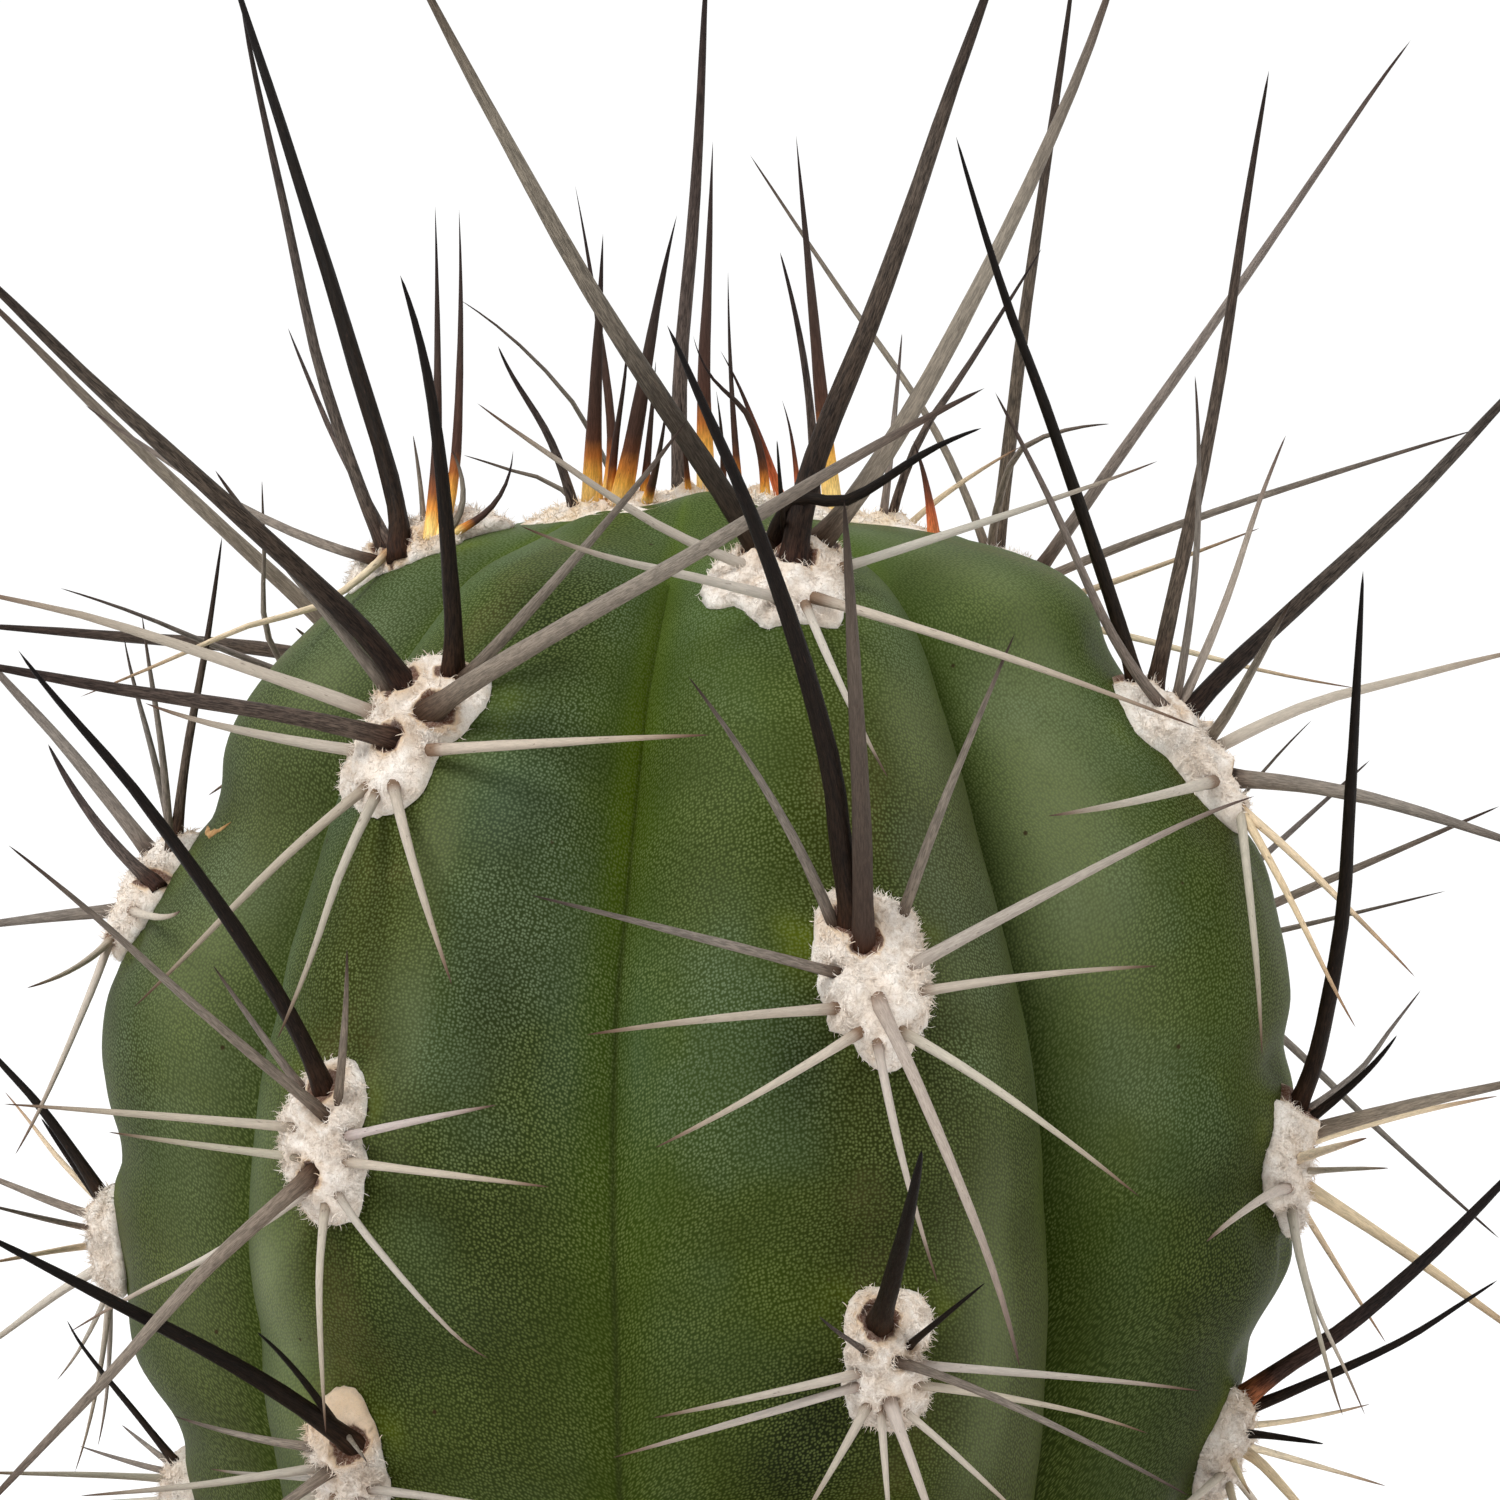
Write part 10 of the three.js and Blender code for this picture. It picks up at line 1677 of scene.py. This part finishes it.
    # places round each rib from its crest, and down each column, in mm
    gap = np.linalg.norm(np.roll(p, -1, 1) - p, axis=2)
    run = np.concatenate([np.zeros((rows_n, 1)), np.cumsum(gap, 1)], 1)
    down = np.concatenate([np.zeros((1, cols_n)), np.cumsum(np.linalg.norm(np.diff(p, axis=0), axis=2), 0)])
    per = 2 * half
    sector, local = k // per, k % per
    crest = np.where(local < half, sector * per, (sector + 1) * per)
    name = np.where(local < half, sector, (sector + 1) % 7) * 53.7

    def corner(row, col, end):
        c = col + end
        return np.stack([run[row, c] - run[row, crest[col]] + name[col], down[row, c % cols_n], np.zeros(c.shape)], -1)

    place = np.stack([corner(i, j, 0), corner(i + 1, j, 0), corner(i + 1, j, 1), corner(i, j, 1)], -2).reshape(-1, 3)
    zero = np.zeros(cols_n, int)
    tip_place = np.stack([corner(zero, k, 0) * [1, 0, 0], corner(zero, k, 0), corner(zero, k, 1)], -2).reshape(-1, 3)
    final = zero + rows_n - 1
    foot_place = np.stack([corner(final, k, 0), corner(final, k, 1), corner(final, k, 0)], -2).reshape(-1, 3)

    def ends(x, top, bottom):
        return np.concatenate([x, [top, bottom]])

    phi = phi.ravel()
    # which right-hand flanks carry wax bloom with painted sheen, rib by rib round the stem
    waxy = np.clip(np.sign(phi), 0, 1) * np.minimum(1, np.abs(phi) * 4) * np.minimum(1, (1 - np.abs(phi)) * 6)
    waxy *= np.array([0.8, 0.5, 0.3, 1.0, 0.6, 0.7, 0.6])[np.arange(len(phi)) % cols_n // per]
    facing = np.sign(phi) * np.minimum(1, np.abs(phi) * 4) * (np.arange(len(phi)) % cols_n % per != half)
    body = make(
        "stem_body", v, quads.tolist() + tip.tolist() + foot.tolist(), [SKIN], ["stem"],
        attributes=[
            ("across", "FLOAT", ends(np.abs(phi), 0, 0)),
            ("waxy", "FLOAT", ends(waxy, 0, 0)),
            ("low", "FLOAT", ends(s.ravel() / DEPTH, 0, 1)),
            ("near", "FLOAT", ends(near, 0, 0)),
            ("shade", "FLOAT", ends(tone, 0, 0)),
            ("frost", "FLOAT", ends(np.clip(frost, 0, 1), 0, 0)),
            ("facing", "FLOAT", ends(facing, 0, 0)),
            ("young", "FLOAT", ends(np.clip(1 - s.ravel() / 16, 0, 1), 1, 0)),
            ("place", "FLOAT_VECTOR", np.concatenate([place, tip_place, foot_place]), "CORNER"),
        ],
    )
    # the folds are sharp edges
    ends_of = np.zeros(len(body.data.edges) * 2, np.int32)
    body.data.edges.foreach_get("vertices", ends_of)
    ends_of = ends_of.reshape(-1, 2)
    row, col = ends_of // cols_n, ends_of % cols_n
    sharp = (ends_of.max(1) < len(flat)) & (col[:, 0] == col[:, 1]) & (col[:, 0] % per == half) & (depths[np.minimum(row[:, 0], rows_n - 1)] > 3)
    body.data.edges.foreach_set("use_edge_sharp", sharp)
    return body


stem()


# scars: a thin corky crescent on the skin
def scar(name, azimuth, depth, length, width, bend, seed):
    rng = np.random.default_rng(seed)
    n, m = 44, 7
    u = np.linspace(-1, 1, n)
    half = width / 2 * np.clip(1 - np.abs(u) ** 1.7, 0, 1) ** 0.8 * (1 + 0.25 * np.sin(u * 9 + seed) + rng.normal(0, 0.08, n)) + 0.01
    w = np.linspace(-1, 1, m)
    r0 = float(stem_at(azimuth, depth)[0])
    across = u[:, None] * length / 2 + 0 * w
    down = depth + bend * (1 - u[:, None] ** 2) - 0.18 * length * u[:, None] * 0.5 + half[:, None] * w
    az = azimuth + np.degrees(across / r0)
    r = stem_at(az, down)[0]
    bulge = 0.1 * (1 - w**2) * np.clip(1 - u[:, None] ** 2, 0, 1) ** 0.5 + rng.normal(0, 0.015, (n, m)) * (np.abs(w) < 0.9)
    a = np.radians(az)

    def at(rr):
        return np.stack([rr * np.sin(a), -rr * np.cos(a), TIP_Z - down], -1).reshape(-1, 3)

    v = np.concatenate([at(r + 0.22 + bulge), at(r - 0.6)])
    k = n * m
    faces = []
    for i in range(n - 1):
        for j in range(m - 1):
            q = [i * m + j, (i + 1) * m + j, (i + 1) * m + j + 1, i * m + j + 1]
            faces.append(q[::-1])
            faces.append([x + k for x in q])
    ring = [i * m for i in range(n)] + [(n - 1) * m + j for j in range(1, m)] + [i * m + m - 1 for i in range(n - 2, -1, -1)] + [j for j in range(m - 2, 0, -1)]
    for x, y in zip(ring, ring[1:] + ring[:1]):
        faces.append([x, x + k, y + k, y][::-1])
    return make(name, v, faces, [SCAR])


scar("stem_scar_left", -78.2, 17.9, 3.6, 0.42, 0.55, 1)
scar("stem_scar_rear", 203.0, 62.0, 3.0, 0.5, -0.4, 2)
scar("stem_scar_low", 101.0, 88.0, 4.4, 0.7, 0.5, 3)


# ------------------------------------------------------------------------- pot
def turned(profile_points, segments, rough, seed):
    """A closed profile turned about Z; profile in (radius, height), run so that faces look outward."""
    prof = np.array(profile_points, float)
    n, m = segments, len(prof)
    t = np.arange(n) * TAU / n
    v = np.stack([np.outer(np.cos(t), prof[:, 0]), np.outer(np.sin(t), prof[:, 0]), np.broadcast_to(prof[:, 1], (n, m))], -1).reshape(-1, 3)
    if rough:
        radial = v * [1, 1, 0]
        radial /= np.linalg.norm(radial, axis=1, keepdims=True) + 1e-9
        out_side = np.tile(prof[:, 0] > 42, n)
        v = v + radial * (rough * lumps(v, 34, seed) + 0.35 * rough * lumps(v * [0.2, 0.2, 1], 3.2, seed + 1))[:, None] * out_side[:, None]
    i, j = np.meshgrid(np.arange(n), np.arange(m), indexing="ij")
    i2, j2 = (i + 1) % n, (j + 1) % m
    faces = np.stack([i * m + j, i2 * m + j, i2 * m + j2, i * m + j2], -1).reshape(-1, 4).tolist()
    return v, faces


def rounded(points, radius, steps=5):
    """A closed outline with its corners rounded."""
    p = np.array([q[:2] for q in points], float)
    rad = [q[2] if len(q) > 2 else radius for q in points]
    out = []
    for i in range(len(p)):
        a, b, c = p[i - 1], p[i], p[(i + 1) % len(p)]
        la, lc = np.linalg.norm(a - b), np.linalg.norm(c - b)
        r = min(rad[i], la * 0.45, lc * 0.45)
        if r < 0.05:
            out.append(b)
            continue
        s, e = b + (a - b) / la * r, b + (c - b) / lc * r
        for k in range(steps + 1):
            t = k / steps
            out.append(s * (1 - t) ** 2 + 2 * b * t * (1 - t) + e * t * t)
    dense = []
    for i in range(len(out)):
        a, b = out[i], out[(i + 1) % len(out)]
        k = max(1, int(np.linalg.norm(a - b) / 2.5))
        dense += [a + (b - a) * q / k for q in range(k)]
    return dense


pot_outline = rounded(
    [
        (6.5, 0, 0.8), (43, 0, 1.8), (59.3, 82.6, 1.2), (63.8, 83.4, 1.6), (64, 108, 3.2), (57.5, 108, 2.6),
        (56.3, 81, 2.0), (39.0, 9.0, 3.0), (36, 7, 3.0), (7.0, 7, 1.0),
    ],
    2.0,
)
v, f = turned(pot_outline, 160, 0.09, 21)
height = v[:, 2]
outer = np.hypot(v[:, 0], v[:, 1])
lime = np.clip(np.exp(-((height / 26) ** 2)) + 0.8 * np.exp(-(((height - 107) / 3) ** 2)) + 0.35 * np.exp(-(((height - 80) / 6) ** 2)), 0, 1)
make("pot_clay", v, f, [CLAY], ["pot"], attributes=[("lime", "FLOAT", lime)])

# ------------------------------------------------------------ soil and the grit
soil_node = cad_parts["soil"]
soil_node.data.materials.clear()
soil_node.data.materials.append(SOIL)


def unit_stone():
    """A ball of 80 faces."""
    g = (1 + 5**0.5) / 2
    p = [(-1, g, 0), (1, g, 0), (-1, -g, 0), (1, -g, 0), (0, -1, g), (0, 1, g), (0, -1, -g), (0, 1, -g), (g, 0, -1), (g, 0, 1), (-g, 0, -1), (-g, 0, 1)]
    f = [(0, 11, 5), (0, 5, 1), (0, 1, 7), (0, 7, 10), (0, 10, 11), (1, 5, 9), (5, 11, 4), (11, 10, 2), (10, 7, 6), (7, 1, 8), (3, 9, 4), (3, 4, 2), (3, 2, 6), (3, 6, 8), (3, 8, 9), (4, 9, 5), (2, 4, 11), (6, 2, 10), (8, 6, 7), (9, 8, 1)]
    p = [np.array(q, float) / np.linalg.norm(q) for q in p]
    seen, out = {}, []

    def middle(a, b):
        k = (min(a, b), max(a, b))
        if k not in seen:
            q = p[a] + p[b]
            p.append(q / np.linalg.norm(q))
            seen[k] = len(p) - 1
        return seen[k]

    for a, b, c in f:
        x, y, z = middle(a, b), middle(b, c), middle(c, a)
        out += [(a, x, z), (b, y, x), (c, z, y), (x, y, z)]
    return np.array(p), out


STONE_TONES = [srgb(*c) for c in ((150, 138, 122), (122, 112, 101), (176, 164, 146), (96, 88, 80), (160, 122, 96), (190, 182, 170), (112, 92, 76), (138, 132, 126))]


def grit():
    rng = np.random.default_rng(31)
    ball, tri = unit_stone()
    tri = np.array(tri)
    verts, faces, tones, placed = [], [], [], []
    cell = {}
    tries = 0
    while len(placed) < 1150 and tries < 26000:
        tries += 1
        size = rng.choice([0.9, 1.2, 1.6, 2.1], p=[0.3, 0.32, 0.26, 0.12]) * rng.uniform(0.85, 1.15)
        rr = math.sqrt(rng.uniform(26**2, 56**2))
        az = rng.uniform(-180, 180)
        stem_edge = float(stem_at(az, TIP_Z - 98.0)[0])
        if rr < stem_edge + size * 0.75 or rr > 56.3 - size * 0.8:
            continue
        x, y = rr * math.sin(math.radians(az)), -rr * math.cos(math.radians(az))
        key = (int(x // 4), int(y // 4))
        close = False
        for kx in (-1, 0, 1):
            for ky in (-1, 0, 1):
                for px, py, ps in cell.get((key[0] + kx, key[1] + ky), ()):
                    if (px - x) ** 2 + (py - y) ** 2 < (0.8 * (ps + size)) ** 2:
                        close = True
        if close:
            continue
        cell.setdefault(key, []).append((x, y, size))
        placed.append(size)
        q = rng.normal(size=4)
        q /= np.linalg.norm(q)
        w, a, b, c = q
        rot = np.array([[1 - 2 * (b * b + c * c), 2 * (a * b - c * w), 2 * (a * c + b * w)], [2 * (a * b + c * w), 1 - 2 * (a * a + c * c), 2 * (b * c - a * w)], [2 * (a * c - b * w), 2 * (b * c + a * w), 1 - 2 * (a * a + b * b)]])
        shape = ball * rng.uniform(0.72, 1.18, 3)
        # planes struck off the ball leave the flat faces of broken stone
        for _ in range(7):
            d = rng.normal(size=3)
            d /= np.linalg.norm(d)
            lim = rng.uniform(0.6, 0.9)
            over = np.maximum(shape @ d - lim, 0)
            shape = shape - over[:, None] * d
        shape = shape @ rot.T * size
        z = 97.4 + rng.uniform(-0.25, 0.35) + size * 0.18
        verts.append(shape + [x, y, z])
        faces += (tri + (len(placed) - 1) * len(ball)).tolist()
        tone = np.array(STONE_TONES[rng.integers(len(STONE_TONES))]) * rng.uniform(0.8, 1.15)
        tones.append(np.broadcast_to(tone, (len(ball), 3)))
    return make("grit_stones", np.concatenate(verts), faces, [GRIT], ["top_dressing"], smooth=False, attributes=[("tone", "FLOAT_COLOR", np.vstack(tones))])


grit()


def grit_bed():
    """The finer grit between the stones: an uneven ring from the stem to the pot."""
    nu, nv = 180, 34
    t = np.arange(nu) * 360 / nu - 180
    inner = stem_at(t, TIP_Z - 97.5)[0] + 0.05
    r = inner[:, None] + (56.4 - inner[:, None]) * np.linspace(0, 1, nv)
    a = np.radians(t)[:, None]
    p = np.stack([r * np.sin(a), -r * np.cos(a), np.zeros_like(r)], -1).reshape(-1, 3)
    z = 97.2 + 0.3 * lumps(p, 9, 41) + 0.28 * lumps(p, 2.3, 42) + 0.2 * lumps(p, 1.1, 43)
    top = p.copy()
    top[:, 2] = z
    low = p.copy()
    low[:, 2] = 94.6
    v = np.concatenate([top, low])
    k = nu * nv
    faces = []
    i, j = np.meshgrid(np.arange(nu), np.arange(nv - 1), indexing="ij")
    i2 = (i + 1) % nu
    q = np.stack([i * nv + j, i * nv + j + 1, i2 * nv + j + 1, i2 * nv + j], -1).reshape(-1, 4)
    faces += q.tolist() + (q[:, ::-1] + k).tolist()
    i = np.arange(nu)
    i2 = (i + 1) % nu
    faces += np.stack([i * nv, i2 * nv, i2 * nv + k, i * nv + k], -1).tolist()
    e = nv - 1
    faces += np.stack([i * nv + e, i * nv + e + k, i2 * nv + e + k, i2 * nv + e], -1).tolist()
    tone = np.broadcast_to(np.array(srgb(104, 92, 78)), (len(v), 3))
    return make("grit_bed", v, faces, [GRIT], ["top_dressing"], smooth=False, attributes=[("tone", "FLOAT_COLOR", tone)])


grit_bed()

# ------------------------------------------------------------ floor and lights
floor_mat = bpy.data.materials.new("floor")
floor_mat.use_nodes = True
floor_bsdf = floor_mat.node_tree.nodes["Principled BSDF"]
floor_bsdf.inputs["Base Color"].default_value = (0.6, 0.6, 0.6, 1)
floor_bsdf.inputs["Roughness"].default_value = 1.0
floor_bsdf.inputs["Specular IOR Level"].default_value = 0.0
floor_bsdf.inputs["Emission Color"].default_value = (1, 1, 1, 1)
floor_bsdf.inputs["Emission Strength"].default_value = 0.55
mesh = bpy.data.meshes.new("floor")
ring = [(6 * math.cos(k * TAU / 96), 6 * math.sin(k * TAU / 96), 0) for k in range(96)]
mesh.from_pydata(ring, [], [list(range(96))])
mesh.materials.append(floor_mat)
floor = bpy.data.objects.new("floor", mesh)
bpy.context.scene.collection.objects.link(floor)

# a plain white backdrop all round, which casts no light of its own
white = bpy.data.materials.new("backdrop")
white.use_nodes = True
white_bsdf = white.node_tree.nodes["Principled BSDF"]
white_bsdf.inputs["Base Color"].default_value = (0, 0, 0, 1)
white_bsdf.inputs["Specular IOR Level"].default_value = 0.0
white_bsdf.inputs["Emission Color"].default_value = (1, 1, 1, 1)
white_bsdf.inputs["Emission Strength"].default_value = 1.06
mesh = bpy.data.meshes.new("backdrop")
around = [(math.cos(k * TAU / 96), math.sin(k * TAU / 96)) for k in range(96)]
ring = [(5.98 * math.cos(e) * c, 5.98 * math.cos(e) * s, 5.98 * math.sin(e)) for e in (k * math.pi / 32 for k in range(16)) for c, s in around]
panes = [(96 * j + k, 96 * j + (k + 1) % 96, 96 * j + 96 + (k + 1) % 96, 96 * j + 96 + k) for j in range(15) for k in range(96)]
mesh.from_pydata(ring + [(0, 0, 5.98)], [], panes + [(15 * 96 + k, 15 * 96 + (k + 1) % 96, 16 * 96) for k in range(96)])
mesh.materials.append(white)
backdrop = bpy.data.objects.new("backdrop", mesh)
bpy.context.scene.collection.objects.link(backdrop)
backdrop.visible_diffuse = backdrop.visible_glossy = backdrop.visible_transmission = backdrop.visible_shadow = False

# white all round, dimmer on the camera's side, where the room is
world = bpy.data.worlds.new("studio")
bpy.context.scene.world = world
world.use_nodes = True
wt = world.node_tree
back = wt.nodes["Background"]
where = wt.nodes.new("ShaderNodeTexCoord")
split = wt.nodes.new("ShaderNodeSeparateXYZ")
wt.links.new(where.outputs["Generated"], split.inputs[0])
dim = wt.nodes.new("ShaderNodeMapRange")
dim.interpolation_type = "SMOOTHSTEP"
wt.links.new(split.outputs["Y"], dim.inputs["Value"])
for key, value in (("From Min", -0.95), ("From Max", 0.15), ("To Min", 0.14), ("To Max", 1.06)):
    dim.inputs[key].default_value = value
back.inputs[0].default_value = (1, 1, 1, 1)
wt.links.new(dim.outputs[0], back.inputs[1])


def soft_light(name, place, aim, size, power):
    light = bpy.data.lights.new(name, "AREA")
    light.shape = "DISK"
    light.size = size
    light.energy = power
    o = bpy.data.objects.new(name, light)
    bpy.context.scene.collection.objects.link(o)
    o.location = place
    o.rotation_euler = (Vector(aim) - Vector(place)).to_track_quat("-Z", "Y").to_euler()
    return o


soft_light("key", (-0.55, -0.75, 1.2), (0, 0, 0.17), 0.6, 13.8)
soft_light("fill", (0.9, -0.6, 0.35), (0, 0, 0.17), 0.7, 1.5)
